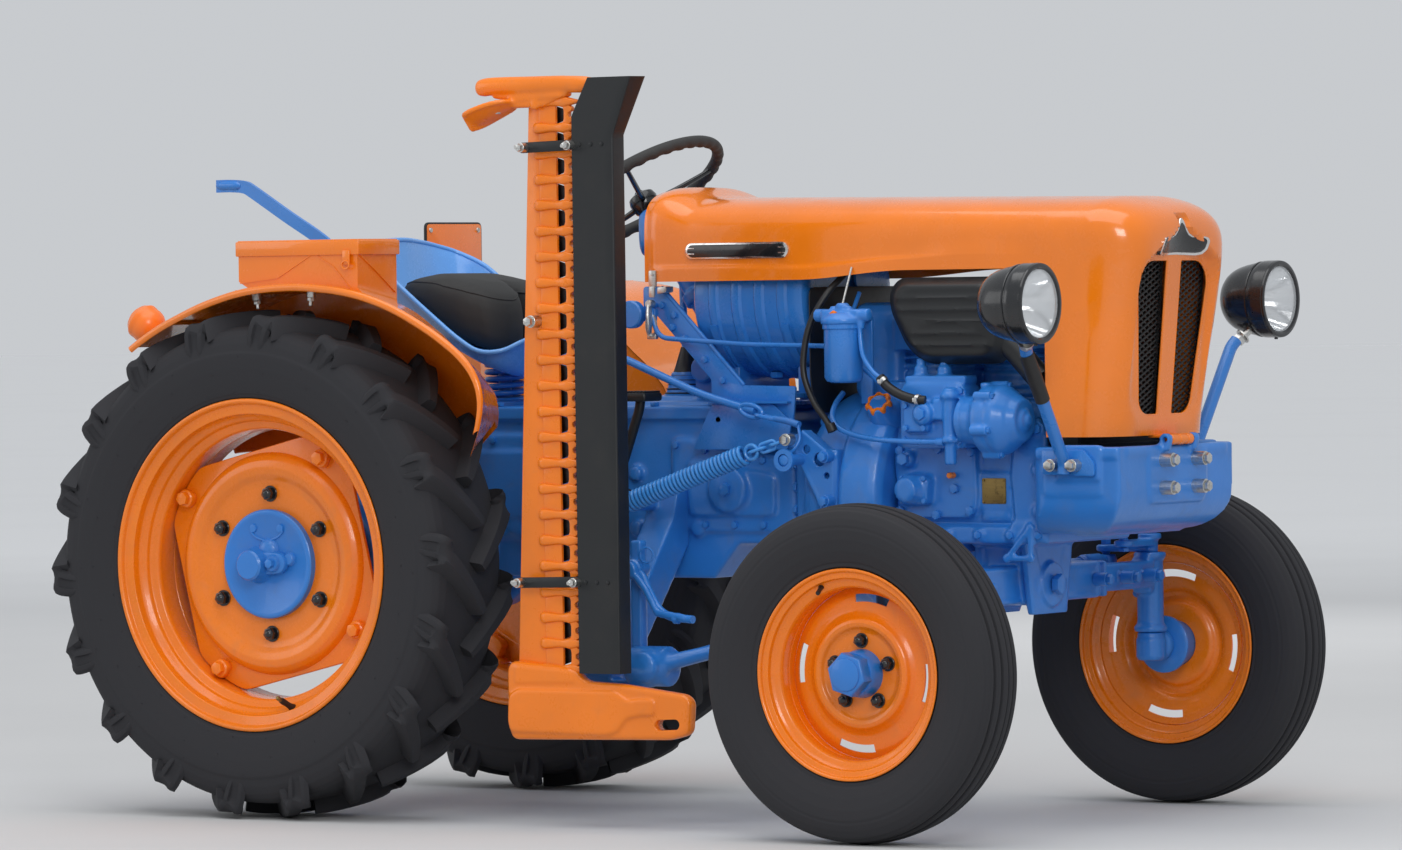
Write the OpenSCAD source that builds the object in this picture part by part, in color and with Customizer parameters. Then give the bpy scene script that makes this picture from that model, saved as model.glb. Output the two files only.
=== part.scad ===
// Small vintage farm tractor with a side sickle-bar mower, in millimetres.
// X is forward, Y is to the left, Z is up. The drawing frame has the rear axle at X = 0,
// and every node is then moved so that the middle of the whole length lies at X = 0.

/* [Wheels and stance] */
// Distance between the rear and the front axle
wheelbase = 1487; // [1240:1:1790]
// Outside diameter of a rear tyre over its lugs
rear_tyre_d = 1032; // [860:1:1240]
// Width of a rear tyre
rear_tyre_w = 241; // [200:1:290]
// Diameter of a rear rim over its flanges
rear_rim_d = 676; // [560:1:740]
// Width of a rear rim over its flanges
rear_rim_w = 212; // [170:1:240]
// Distance between the middles of the rear tyres
rear_track = 930; // [900:1:1120]
// Outside diameter of a front tyre
front_tyre_d = 650; // [540:1:780]
// Width of a front tyre
front_tyre_w = 140; // [116:1:160]
// Diameter of a front rim over its flanges
front_rim_d = 406; // [340:1:450]
// Width of a front rim over its flanges
front_rim_w = 107; // [90:1:112]
// Distance between the middles of the front tyres
front_track = 1197; // [1100:1:1440]

/* [Rear wheel disc] */
// Radius of the round dished middle of the rear disc
rear_disc_r = 227; // [190:1:250]
// Radius of the blue hub plate
rear_hub_r = 111; // [92:1:120]
// Circle of the six rear wheel bolts
rear_bolt_pcd = 285; // [250:1:330]
// How far the rear disc lies outside the tyre's middle plane
rear_disc_offset = 34; // [20:1:50]
// Radius of the rear stub shaft
rear_shaft_r = 30; // [25:1:36]
// Depth of the rear rim's well
rear_well = 34; // [25:1:40]

/* [Front wheel disc] */
// Circle of the five front wheel bolts
front_bolt_pcd = 126; // [114:1:150]
// Radius of the front hub drum
front_hub_r = 48; // [40:1:52]
// Size of the hexagonal hub cap across its flats
hub_cap_af = 75; // [62:1:84]
// Radius of the front spindle
spindle_r = 17; // [14:1:20]
// Depth of the front rim's well
front_well = 19; // [14:1:24]

/* [Steering] */
// Distance from the kingpin to the tie-rod ball, and to the drag-link ball
steer_arm = 103; // [86:1:124]
// Distance between a kingpin and the middle plane of its tyre
kingpin_inset = 107; // [92:1:116]
// Radius of a kingpin
kingpin_r = 14; // [11:1:17]
// Radius of the tie rod and the drag link
link_r = 11; // [9:1:13]
// Length of the drop arm
drop_arm_l = 160; // [134:1:190]
// Radius of the steering wheel at the middle of its rim
steering_wheel_r = 183; // [153:1:200]
// Thickness of the steering wheel's rim
steering_rim_d = 24; // [20:1:28]
// Tilt of the steering wheel's plane
steering_tilt = 33.6; // [25:0.1:45]

/* [Hood] */
// Width of the hood across the nose
hood_w = 412; // [350:1:430]
// Height of the hood's top behind the nose
hood_top_z = 1240; // [1225:1:1290]
// Height of the hood's lower side edge
hood_edge_z = 1077; // [1070:1:1100]
// Height of the nose's lower edge
nose_bottom_z = 765; // [760:1:800]
// Thickness of the hood's sheet
hood_t = 3; // [2:0.5:4]
// Radius of the hood's hinge pin
hood_pin_r = 6; // [5:0.5:8]
// Rounding of the nose's corners
nose_round_r = 84; // [70:1:100]
// How far the nose's lower edge lies behind its upper part
nose_lean = 29; // [15:1:35]
// Width of a grille slot
slot_w = 76; // [64:1:84]
// Distance of a grille slot's middle from the middle plane
slot_y = 64; // [56:1:68]

/* [Power unit] */
// Half width of the engine block
block_hw = 150; // [125:1:165]
// Half width of the gearbox
gearbox_hw = 128; // [107:1:145]
// Radius of the clutch housing at the engine
bell_r = 192; // [160:1:200]
// Radius of the fuel tank
tank_r = 165; // [140:1:168]
// Half width of the front support
support_hw = 219; // [190:1:240]
// Height of the front support's upper edge
support_top_z = 747; // [735:1:750]

/* [Hitch] */
// Radius of the hole for the drawbar pin
drawbar_pin_r = 14; // [11:0.5:17]
// Radius of the take-off shaft at the rear
pto_r = 17.45; // [14.5:0.05:17.45]

/* [Lamps] */
// Distance of a headlamp from the middle plane
lamp_y = 463; // [400:1:520]
// Height of the headlamps
lamp_z = 1025; // [980:1:1100]
// Diameter of a headlamp shell
lamp_d = 155; // [130:1:170]

/* [Seat and fenders] */
// Half width of the seat pan
seat_hw = 188; // [157:1:215]
// How much larger a fender's arc is than the tyre's radius
fender_gap = 112; // [104:1:184]
// Distance of a fender's outer edge from the middle plane
fender_out_y = 573; // [560:1:640]
// Thickness of the fender sheet
fender_t = 3; // [2:0.5:4]

/* [Mower] */
// Number of fingers on the bar
finger_count = 21; // [15:1:22]
// Distance from one finger to the next
finger_pitch = 50.8; // [42:0.1:55]
// Width of the finger bar
finger_bar_w = 46; // [40:1:60]
// Thickness of the finger bar
finger_bar_t = 12; // [10:1:14]
// Length of a finger in front of the bar
finger_l = 100; // [84:1:110]
// Distance from the rear tyre to the finger bar
mower_gap = 134; // [120:1:160]
// Radius of the hinge pin that the bar folds on
fold_pin_r = 9; // [7.5:0.5:11]

/* [Hidden] */
$fn = 64;
e = 0.3; // rest gap between pieces that seat on each other
run = 0.08; // running clearance of a pin in its bore
rear_r = rear_tyre_d / 2;
fender_r = rear_r + fender_gap;
fender_x = 62;
fender_z = rear_r - 64;
front_r = front_tyre_d / 2;
front_edge_x = 379; // the nose's crest, ahead of the front axle
shift_x = (wheelbase + front_edge_x - rear_r) / 2;

// Stations along X, tied to the front axle
block_rear_x = wheelbase - 257;
block_front_x = wheelbase + 145;
bell_rear_x = wheelbase - 400;
support_front_x = wheelbase + 352;
hood_rear_x = wheelbase - 776;
nose_rear_x = wheelbase + 180;
nose_front_x = wheelbase + 355;
hinge_x = wheelbase + 359;
hinge_z = 757;
tank_rear_x = hood_rear_x + 104;
tank_l = 272;
tank_z = 1047;
gearbox_rear_x = 165;
gearbox_z0 = 520;
gearbox_z1 = 815;
crank_z = 640;
lever_x = bell_rear_x - 396;

// Rear wheel planes, as distances from the middle plane
rear_mid_y = rear_track / 2;
rear_disc_y = rear_mid_y + rear_disc_offset;
rear_rim_r = rear_rim_d / 2;
rear_seat_r = rear_rim_r - 27;

// Front wheel planes
front_mid_y = front_track / 2;
kingpin_y = front_mid_y - kingpin_inset;
front_rim_r = front_rim_d / 2;
front_seat_r = front_rim_r - 17;
front_disc_y = front_mid_y - 4;
front_z = front_r;
housing_z0 = front_z + 28;
housing_z1 = front_z + 190;
beam_z = front_z + 146;
arm_z = housing_z1 + e;

// Steering
sw_x = hood_rear_x - 132;
sw_z = 1260;
column_dir = [sin(steering_tilt), 0, -cos(steering_tilt)];
box_x = tank_rear_x - 36;
box_z = sw_z - (box_x - sw_x) / tan(steering_tilt);
cross_z = box_z - 60;
drop_y = 172;
link_y = kingpin_y - steer_arm;

// Mower planes
bar_x = rear_r + mower_gap;
bar_y = -508;
sole_y = -537;
fold_y = -478;
arm_x = bar_x + 95; // middle of the arm's seat on the gearbox
fold_z = 247;
finger_z0 = 372;
bar_z0 = finger_z0 - 34;
bar_z1 = finger_z0 + (finger_count - 1) * finger_pitch + 48;

// Seat
seat_front_x = 330;
seat_back_x = -25;

orange = [0.92, 0.43, 0.08];
blue = [0.18, 0.41, 0.76];
black = [0.13, 0.14, 0.15];
steel = [0.66, 0.67, 0.68];
tyre_black = [0.09, 0.09, 0.09];

// Moves a node from the drawing frame to the row's frame
module placed() {
    translate([-shift_x, 0, 0]) children();
}

// A cylinder along +Y that starts at the given point
module ycyl(p, r, l, r2 = undef) {
    translate(p) rotate([-90, 0, 0]) cylinder(r1 = r, r2 = is_undef(r2) ? r : r2, h = l);
}

// A cylinder along +X that starts at the given point
module xcyl(p, r, l, r2 = undef) {
    translate(p) rotate([0, 90, 0]) cylinder(r1 = r, r2 = is_undef(r2) ? r : r2, h = l);
}

// A cylinder along +Z that starts at the given point
module zcyl(p, r, l, r2 = undef) {
    translate(p) cylinder(r1 = r, r2 = is_undef(r2) ? r : r2, h = l);
}

// A round bar from one point to another
module bar(a, b, r) {
    v = b - a;
    l = norm(v);
    translate(a)
        rotate([0, acos(v[2] / l), atan2(v[1], v[0])])
            cylinder(r = r, h = l);
}

// A round bar along a list of points, with ball corners
module rod(points, r) {
    for (i = [0 : len(points) - 2]) bar(points[i], points[i + 1], r);
    for (i = [1 : 1 : len(points) - 2]) translate(points[i]) sphere(r = r + 0.3);
}

// An outline in X and Z, extruded along Y from y0 to y1
module xz_plate(y0, y1) {
    translate([0, y1, 0]) rotate([90, 0, 0]) linear_extrude(height = y1 - y0) children();
}

// An outline in X and Y, extruded along Z from z0 to z1
module xy_plate(z0, z1) {
    translate([0, 0, z0]) linear_extrude(height = z1 - z0) children();
}

// An outline in Y and Z, extruded along X from x0 to x1
module yz_plate(x0, x1) {
    translate([x0, 0, 0])
        rotate([90, 0, 90])
            linear_extrude(height = x1 - x0) children();
}

// A rectangle with rounded corners, from its low corner to its high corner
module round_rect(a, b, r) {
    translate([a[0] + r, a[1]]) square([b[0] - a[0] - 2 * r, b[1] - a[1]]);
    translate([a[0], a[1] + r]) square([b[0] - a[0], b[1] - a[1] - 2 * r]);
    for (x = [a[0] + r, b[0] - r], y = [a[1] + r, b[1] - r]) translate([x, y]) circle(r = r);
}

// A flat link between two points with round ends
module link_shape(a, b, r) {
    v = b - a;
    translate(a) circle(r = r);
    translate(b) circle(r = r);
    translate(a) rotate(atan2(v[1], v[0])) translate([0, -r]) square([norm(v), 2 * r]);
}

// Wheels

// Section of a tyre: the side bulges between the bead and the tread
function tyre_side(r0, r1, w, bead_w) = [
    for (i = [0 : 10])
        let (a = 180 * i / 10 - 90,
             mid = (r0 + r1) / 2,
             h = (r1 - r0) / 2,
             side = w / 2 * pow(cos(a), 0.36),
             bead = bead_w / 2,
             y = a < 0 ? bead + (side - bead) * pow(cos(a), 0.5) : side)
        [mid + h * sin(a), max(y, a < 0 ? bead : w * 0.30)]
];

module tyre(r_seat, r_rim, r_out, w, rim_w, side) {
    bead = rim_w - 12;
    half = tyre_side(r_rim + 1, r_out - 5, w, bead);
    n = len(half) - 1;
    outline = concat(
        [[r_seat, -bead / 2 + 1]],
        [for (i = [0 : n]) [half[i][0], -half[i][1]]],
        [[r_out, -w * 0.22], [r_out, w * 0.22]],
        [for (i = [n : -1 : 0]) [half[i][0], half[i][1]]],
        [[r_seat, bead / 2 - 1]]
    );
    rotate([-90, 0, 0]) rotate_extrude($fn = 96) polygon(outline);
}

// Profile of a pressed rim: two flanges, two bead seats and a dropped well
module rim_profile(r_rim, r_seat, w, drop, t) {
    h = w / 2;
    s1 = h - 0.15 * w;
    s2 = h - 0.22 * w;
    polygon([
        [r_rim - 3, -h], [r_rim, -h + 1.5], [r_rim, -h + 4], [r_seat, -h + 6],
        [r_seat - 0.5, -s1], [r_seat - drop, -s2], [r_seat - drop, s2],
        [r_seat - 0.5, s1], [r_seat, h - 6], [r_rim, h - 4], [r_rim, h - 1.5], [r_rim - 3, h],
        [r_rim - 8, h - 0.5], [r_seat + 2, h - 1], [r_seat - t, h - 6], [r_seat - t - 1, s1 + 3],
        [r_seat - drop - t, s2 + 2], [r_seat - drop - t, -s2 - 2], [r_seat - t - 1, -s1 - 3],
        [r_seat - t, -h + 6], [r_seat + 2, -h + 1], [r_rim - 8, -h + 0.5]
    ]);
}

// Turns profiles drawn as radius and distance outwards about the axle, for the right side
module wheel_turn() {
    rotate([90, 0, 0]) rotate_extrude($fn = 96) children();
}

// Rear wheel: adjustable disc on four lugs, hub plate with its cast bosses, stub shaft and rim
module rear_wheel() {
    o = rear_disc_offset;
    well = rear_seat_r - rear_well - 5;
    difference() {
        union() {
            wheel_turn() union() {
                polygon([
                    [0, o - 22], [rear_bolt_pcd / 2 + 14, o - 22], [rear_bolt_pcd / 2 + 20, o - 14],
                    [rear_disc_r - 36, o - 2], [rear_disc_r - 20, o], [rear_disc_r - 10, o - 8],
                    [rear_disc_r - 4, o - 28], [rear_disc_r + 4, o - 26], [rear_disc_r, o - 4],
                    [rear_disc_r - 12, o + 8], [rear_disc_r - 34, o + 6], [rear_bolt_pcd / 2 + 22, o - 6],
                    [rear_hub_r, o - 6], [rear_hub_r, o + 9], [rear_hub_r - 3, o + 12], [70, o + 12],
                    [62, o + 24], [44, o + 24], [30, o + 52], [0, o + 52]
                ]);
                translate([0, o - 150]) square([rear_shaft_r, 140]);
            }
            wheel_turn() rim_profile(rear_rim_r, rear_seat_r, rear_rim_w, rear_well, 5);
            translate([-34, -o, 16]) ycyl([0, -38, 0], 18, 28, 26);
            for (k = [0 : 3]) rotate([0, -58.5 - 90 * k, 0]) {
                translate([rear_disc_r - 8, 18 - o, -34]) cube([well - rear_disc_r + 10, 9, 68]);
                translate([well - 26, 20 - o, -24]) cube([28.5, 40, 48]);
            }
        }
        for (k = [0 : 5]) rotate([0, 60 * k + 30, 0]) ycyl([rear_bolt_pcd / 2, -o - 20, 0], 8.5, 60);
    }
}

// Front wheel: dished disc with four slots, hub drum, hexagonal cap and rim
module front_wheel() {
    o = front_disc_y - front_mid_y;
    well = front_seat_r - front_well - 4;
    difference() {
        union() {
            wheel_turn() difference() {
                union() {
                    polygon([
                        [0, o + 30], [front_hub_r - 12, o + 30], [front_hub_r - 10, o], [82, o], [90, o + 9],
                        [99, o + 10], [112, o - 6], [well + 2, o - 16], [well + 2, o - 22], [110, o - 12],
                        [98, o + 4], [91, o + 3], [84, o - 6], [76, o - 6], [76, o - 15], [front_hub_r, o - 15],
                        [front_hub_r, o - 50], [front_hub_r + 8, o - 52], [front_hub_r + 8, o - 64], [0, o - 64]
                    ]);
                    rim_profile(front_rim_r, front_seat_r, front_rim_w, front_well, 4);
                }
                translate([-1, o - 70]) square([spindle_r + run + 1, 90]);
            }
            rotate([90, 0, 0]) translate([0, 0, o + 29]) {
                cylinder(d = hub_cap_af / cos(30), h = 27, $fn = 6);
                cylinder(r1 = 35, r2 = 29, h = 33);
            }
        }
        for (k = [0 : 4]) rotate([0, 72 * k, 0]) ycyl([front_bolt_pcd / 2, -o - 20, 0], 7, 50);
        for (k = [0 : 3]) rotate([0, 90 * k + 20, 0]) intersection() {
            difference() {
                ycyl([0, -o - 40, 0], well - 6, 80);
                ycyl([0, -o - 41, 0], well - 24, 82);
            }
            translate([100, -o - 42, -34]) cube([100, 84, 68]);
        }
    }
}

// Puts a right-hand wheel on its axle; side is 1 for right and -1 for left
module on_rear(side) {
    translate([0, -side * rear_mid_y, rear_r]) mirror([0, side > 0 ? 0 : 1, 0]) children();
}

module on_front(side) {
    translate([wheelbase, -side * front_mid_y, front_z]) mirror([0, side > 0 ? 0 : 1, 0]) children();
}

module rear_tyre_right() {
    color(tyre_black) placed() on_rear(1) tyre(rear_seat_r + e, rear_rim_r, rear_r, rear_tyre_w, rear_rim_w);
}

module rear_tyre_left() {
    color(tyre_black) placed() on_rear(-1) tyre(rear_seat_r + e, rear_rim_r, rear_r, rear_tyre_w, rear_rim_w);
}

module rear_wheel_right() {
    color(orange) placed() on_rear(1) rear_wheel();
}

module rear_wheel_left() {
    color(orange) placed() on_rear(-1) rear_wheel();
}

module front_tyre_right() {
    color(tyre_black) placed() on_front(1)
        tyre(front_seat_r + e, front_rim_r, front_r, front_tyre_w, front_rim_w);
}

module front_tyre_left() {
    color(tyre_black) placed() on_front(-1)
        tyre(front_seat_r + e, front_rim_r, front_r, front_tyre_w, front_rim_w);
}

module front_wheel_right() {
    color(orange) placed() on_front(1) front_wheel();
}

module front_wheel_left() {
    color(orange) placed() on_front(-1) front_wheel();
}

// Power unit

// Crankcase, cylinders under the hood and the sump, with its side covers
module engine_block() {
    l = block_front_x - block_rear_x;
    color(blue) placed() difference() {
        union() {
            yz_plate(block_rear_x + e, block_front_x) polygon([
                [-block_hw, 600], [-block_hw + 20, 577], [block_hw - 20, 577], [block_hw, 600],
                [block_hw, 760], [block_hw - 26, 830], [-block_hw + 26, 830], [-block_hw, 760]
            ]);
            yz_plate(block_rear_x + 14, wheelbase - 74) polygon([
                [-118, 577], [-96, 536], [96, 536], [118, 577]
            ]);
            for (x = [block_rear_x + 108, block_front_x - 108]) {
                zcyl([x, 0, 820], 88, 118);
                for (z = [846 : 18 : 926]) zcyl([x, 0, z], 104, 5);
            }
            translate([block_rear_x + 20, -92, 936]) cube([l - 40, 184, 60]);
            translate([block_rear_x + 40, -60, 990]) cube([l - 80, 120, 46]);
            // side cover plate with its low relief
            translate([block_rear_x + 70, -block_hw - 14, 640])
                xz_plate(0, 20) round_rect([0, -30], [170, 98], 22);
            translate([block_rear_x + 96, -block_hw - 44, 636])
                xz_plate(0, 40) round_rect([0, 0], [56, 54], 8);
            ycyl([block_rear_x + 116, -block_hw - 62, 664], 17, 30);
            // oil filler neck
            translate([block_rear_x + 33, -150, 800]) rotate([40, 0, 0])
                cylinder(r1 = 30, r2 = 24, h = 40);
            for (x = [block_rear_x + 10, block_front_x - 22])
                translate([x, -block_hw - 8, 590]) cube([14, 2 * block_hw + 16, 210]);
            // name plate pad, left bare
            translate([block_front_x - 150, -block_hw - 5, 624]) cube([62, 12, 66]);
        }
        ycyl([block_rear_x + 205, -block_hw - 30, 700], 5, 40);
    }
}

// Injection pump block with its delivery elements, and the round governor case in front
module injection_pump() {
    y = -block_hw - 8 - e;
    gx = block_front_x - 91;
    color(blue) placed() {
        translate([block_rear_x + 115, y - 66, 744]) xz_plate(0, 74) round_rect([0, 0], [150, 118], 12);
        translate([block_rear_x + 130, y - 80, 778]) xz_plate(0, 20) round_rect([0, 0], [60, 56], 10);
        for (i = [0 : 1]) zcyl([block_rear_x + 150 + 52 * i, y - 34, 855], 14, 34);
        zcyl([block_rear_x + 236, y - 74, 760], 11, 96);
        zcyl([block_rear_x + 236, y - 74, 800], 15, 22);
        xcyl([block_rear_x + 260, y - 58, 799], 46, gx - block_rear_x - 240);
        xcyl([gx, y - 58, 799], 64, 46);
        xcyl([gx + 46, y - 58, 799], 64, 40, 40);
        xcyl([gx + 80, y - 58, 799], 10, 18);
        for (k = [0 : 5]) translate([gx - 8, y - 58, 799]) rotate([60 * k, 0, 0])
            xcyl([0, 0, 54], 9, 36);
    }
}

// Upright filter bowl with its cast head and its bracket to the engine
module fuel_filter() {
    x = block_rear_x - 9;
    y = -233;
    color(blue) placed() {
        zcyl([x, y, 873], 30, 8, 38);
        zcyl([x, y, 881], 38, 112);
        zcyl([x, y, 986], 42, 8);
        translate([x - 30, y - 22, 993]) cube([60, 44, 26]);
        xcyl([x - 56, y, 1006], 11, 112);
        zcyl([x, y, 1018], 12, 12);
        translate([x - 18, y + 10, 994]) cube([28, 84, 8]);
        translate([x - 18, y + 90, 830 + e]) cube([28, 8, 172 - e]);
        translate([x - 18, y + 90, 830 + e]) cube([28, 42, 8]);
        translate([x - 18, y + 108, 830 + e]) cube([60, 24, 8]);
    }
}

// Flat silencer can with raised ribs, its flange to the engine and its down-turned spout
module muffler() {
    x0 = block_rear_x + 75;
    color(black) placed() difference() {
        union() {
            hull() {
                xz_plate(-232, -160) polygon([
                    [x0 + 24, 1076], [x0 + 4, 1060], [x0, 1030], [x0 + 34, 938], [x0 + 62, 914],
                    [x0 + 96, 908], [x0 + 250, 908], [x0 + 282, 930], [x0 + 288, 1010],
                    [x0 + 262, 1064], [x0 + 236, 1076]
                ]);
                xz_plate(-244, -150) polygon([
                    [x0 + 34, 1068], [x0 + 16, 1030], [x0 + 48, 946], [x0 + 96, 922],
                    [x0 + 240, 922], [x0 + 266, 940], [x0 + 272, 1006], [x0 + 240, 1068]
                ]);
            }
            for (z = [944 : 22 : 1036])
                translate([x0 + 50 - (z - 944) * 0.34, -248, z]) cube([208, 10, 6]);
            bar([x0 + 262, -190, 950], [x0 + 345, -196, 880], 26);
            translate([x0 + 120, -152, 960]) cube([60, 152 - 92 - e, 40]);
        }
        bar([x0 + 290, -192, 926], [x0 + 352, -196.5, 874], 22);
    }
}

// Black core with its side tanks, behind the nose
module radiator() {
    x = block_front_x + 34;
    color(black) placed() {
        translate([x, -160, support_top_z - 40]) cube([46, 320, 395]);
        translate([x - 8, -172, 1096]) cube([62, 344, 46]);
        translate([x - 8, -146, 591 + e]) cube([62, 292, 116]);
        for (z = [support_top_z - 24 : 26 : 1090]) translate([x - 5, -158, z]) cube([58, 316, 4]);
    }
}

// Ribbed drum across the frame behind the engine, with its filler under the hood
module fuel_tank() {
    color(blue) placed() {
        xcyl([tank_rear_x, 0, tank_z], tank_r - 12, 12, tank_r);
        xcyl([tank_rear_x + 12, 0, tank_z], tank_r, tank_l - 24);
        xcyl([tank_rear_x + tank_l - 12, 0, tank_z], tank_r, 12, tank_r - 12);
        for (i = [1 : 4]) xcyl([tank_rear_x + tank_l * i / 5 - 5, 0, tank_z], tank_r + 4, 10);
        for (x = [tank_rear_x + 36, tank_rear_x + tank_l - 66])
            translate([x, -90, tank_z - tank_r - 30]) cube([30, 180, 60]);
    }
}

// Round clutch housing between the engine and the gearbox
module bell_housing() {
    x1 = block_rear_x;
    color(blue) placed() {
        xcyl([bell_rear_x, 0, crank_z], bell_r - 34, 24);
        xcyl([bell_rear_x + 20, 0, crank_z], bell_r - 40, x1 - bell_rear_x - 40, bell_r);
        xcyl([x1 - 24, 0, crank_z], bell_r + 8, 24);
        // starter-side flat and the bracket that carries the mower's spring
        translate([bell_rear_x + 24, -218, 598]) xz_plate(0, 90) polygon([
            [0, 104], [0, 136], [18, 140], [96, 24], [96, -40], [70, -40], [60, 10]
        ]);
        ycyl([bell_rear_x + 14 + 12, -290, 722], 12, 100);
    }
}

// Gearbox casting with its cover, ribs, bosses and the lever turret
module gearbox() {
    x0 = gearbox_rear_x;
    x1 = bell_rear_x - e;
    hw = gearbox_hw;
    color(blue) placed() {
        xz_plate(-hw, hw) polygon([
            [x0, gearbox_z0 + 20], [x0 + 60, gearbox_z0 - 40], [x1 - 250, gearbox_z0 - 40],
            [x1 - 190, gearbox_z0 + 30], [x1, gearbox_z0 + 30],
            [x1, gearbox_z1 - 60], [x1 - 120, gearbox_z1 - 25], [x1 - 120, gearbox_z1], [x0, gearbox_z1]
        ]);
        translate([x0 + 20, -hw - 12, gearbox_z1 - 16]) cube([x1 - 160 - x0, 2 * hw + 24, 28]);
        translate([x1 - 30, -hw - 24, gearbox_z0 + 30]) cube([30, 2 * hw + 48, gearbox_z1 - gearbox_z0 - 110]);
        for (x = [x0 + 120 : 150 : x1 - 440], s = [-1, 1]) if (abs(x + 8 - arm_x) > 46)
            translate([x, s > 0 ? hw - 1 : -hw - 11, gearbox_z0]) cube([16, 12, 250]);
        for (x = [x0 + 190 : 150 : x1 - 220], z = [gearbox_z0 + 60, gearbox_z0 + 170]) if (abs(x - arm_x) > 52)
            ycyl([x, -hw - 14, z], 15, 2 * hw + 28);
        // turret of the gear lever
        zcyl([lever_x, 0, gearbox_z1 + 10], 52, 20, 48);
        zcyl([lever_x, 0, gearbox_z1 + 30], 44, 50, 30);
    }
}

// Differential case, trumpets and brake housings; the wheels' stub shafts run in its ends
module rear_axle() {
    y_end = rear_disc_y - 60;
    color(blue) placed() difference() {
        union() {
            xz_plate(-150, 150) difference() {
                polygon([
                    [-150, rear_r - 60], [-110, rear_r - 130], [60, rear_r - 130], [gearbox_rear_x - e, rear_r - 60],
                    [gearbox_rear_x - e, gearbox_z1], [-60, gearbox_z1], [-150, gearbox_z1 - 90]
                ]);
                translate([-150, gearbox_z1 + 30]) circle(r = 60);
            }
            translate([-100, -120, gearbox_z1 - 1]) cube([230, 240, 26]);
            for (s = [0, 1]) mirror([0, s, 0]) {
                ycyl([0, 150, rear_r], 112, 60, 86);
                ycyl([0, 148, rear_r], 78, y_end - 148 - 8);
                ycyl([0, 250, rear_r], 118, 62);
                ycyl([0, y_end - 24, rear_r], 92, 24);
                // fender foot on the trumpet
                translate([-44, 264, rear_r + 100]) cube([88, 44, 30]);
            }
        }
        for (s = [0, 1]) mirror([0, s, 0])
            ycyl([0, y_end - 110, rear_r], rear_shaft_r + run, 120);
    }
}

// Drawbar plate under the axle case with its pin hole, and the take-off shaft with its shield
module drawbar() {
    z = rear_r - 130 - e;
    color(blue) placed() {
        difference() {
            union() {
                translate([-310, -30, z - 26]) cube([360, 60, 26]);
                zcyl([-310, 0, z - 26], 30, 26);
                translate([-100, -70, z - 26]) cube([80, 140, 26]);
            }
            zcyl([-310, 0, z - 30], drawbar_pin_r, 40);
        }
        xcyl([-270, 0, rear_r + 40], pto_r, 120 - e);
        xcyl([-190, 0, rear_r + 40], 44, 40 - e, 52);
    }
}

// Front end

// Outline of the front support from the side, with its round chin
module support_side(inset) {
    x0 = block_front_x;
    x1 = support_front_x - inset;
    r = 84;
    difference() {
        translate([x0, 577 + inset]) square([x1 - x0, support_top_z - 577 - inset + 1]);
        translate([x1 - r, 577 + inset]) square([r + 1, r]);
    }
    translate([x1 - r, 577 + inset + r]) circle(r = r);
}

// Cast tray in front of the engine, with its front plate and the lamp brackets' pads
module front_support() {
    x0 = block_front_x + e;
    x1 = support_front_x;
    hw = support_hw;
    color(blue) placed() {
        difference() {
            intersection() {
                union() {
                    xz_plate(-hw, hw) support_side(0);
                }
                xy_plate(500, support_top_z) round_rect([x0, -hw], [x1 + 30, hw], 40);
                yz_plate(x0, x1) union() {
                    translate([-hw, 640]) square([2 * hw, support_top_z - 640]);
                    translate([-hw + 63, 560]) square([2 * hw - 126, 100]);
                    for (s = [-1, 1]) translate([s * (hw - 63), 640]) circle(r = 63);
                }
            }
            intersection() {
                xz_plate(-hw + 12, hw - 12) support_side(14);
                xy_plate(500, support_top_z + 10) round_rect([x0 + 12, -hw + 12], [x1 + 30, hw - 12], 30);
                yz_plate(x0 + 12, x1 - 14) union() {
                    translate([-hw + 12, 640]) square([2 * hw - 24, 120]);
                    translate([-hw + 63, 590]) square([2 * hw - 126, 60]);
                    for (s = [-1, 1]) translate([s * (hw - 63), 640]) circle(r = 50);
                }
            }
            for (y = [-62, 62], z = [664, 718]) xcyl([x1 - 30, y, z], 8, 60);
        }
        // hinge lugs of the hood
        for (s = [-1, 1]) translate([0, s * 52, 0]) difference() {
            union() {
                translate([x1 - 10, -9, support_top_z - 12]) cube([hinge_x - x1 + 10 + 9, 18, 14]);
                ycyl([hinge_x, -9, hinge_z], 12, 18);
            }
            ycyl([hinge_x, -10, hinge_z], hood_pin_r + run, 20);
        }
        // lamp brackets on the sides
        for (s = [0, 1]) mirror([0, s, 0]) {
            translate([wheelbase + 215, hw - 1, support_top_z - 62]) cube([96, 9, 66]);
        }
    }
}

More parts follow.
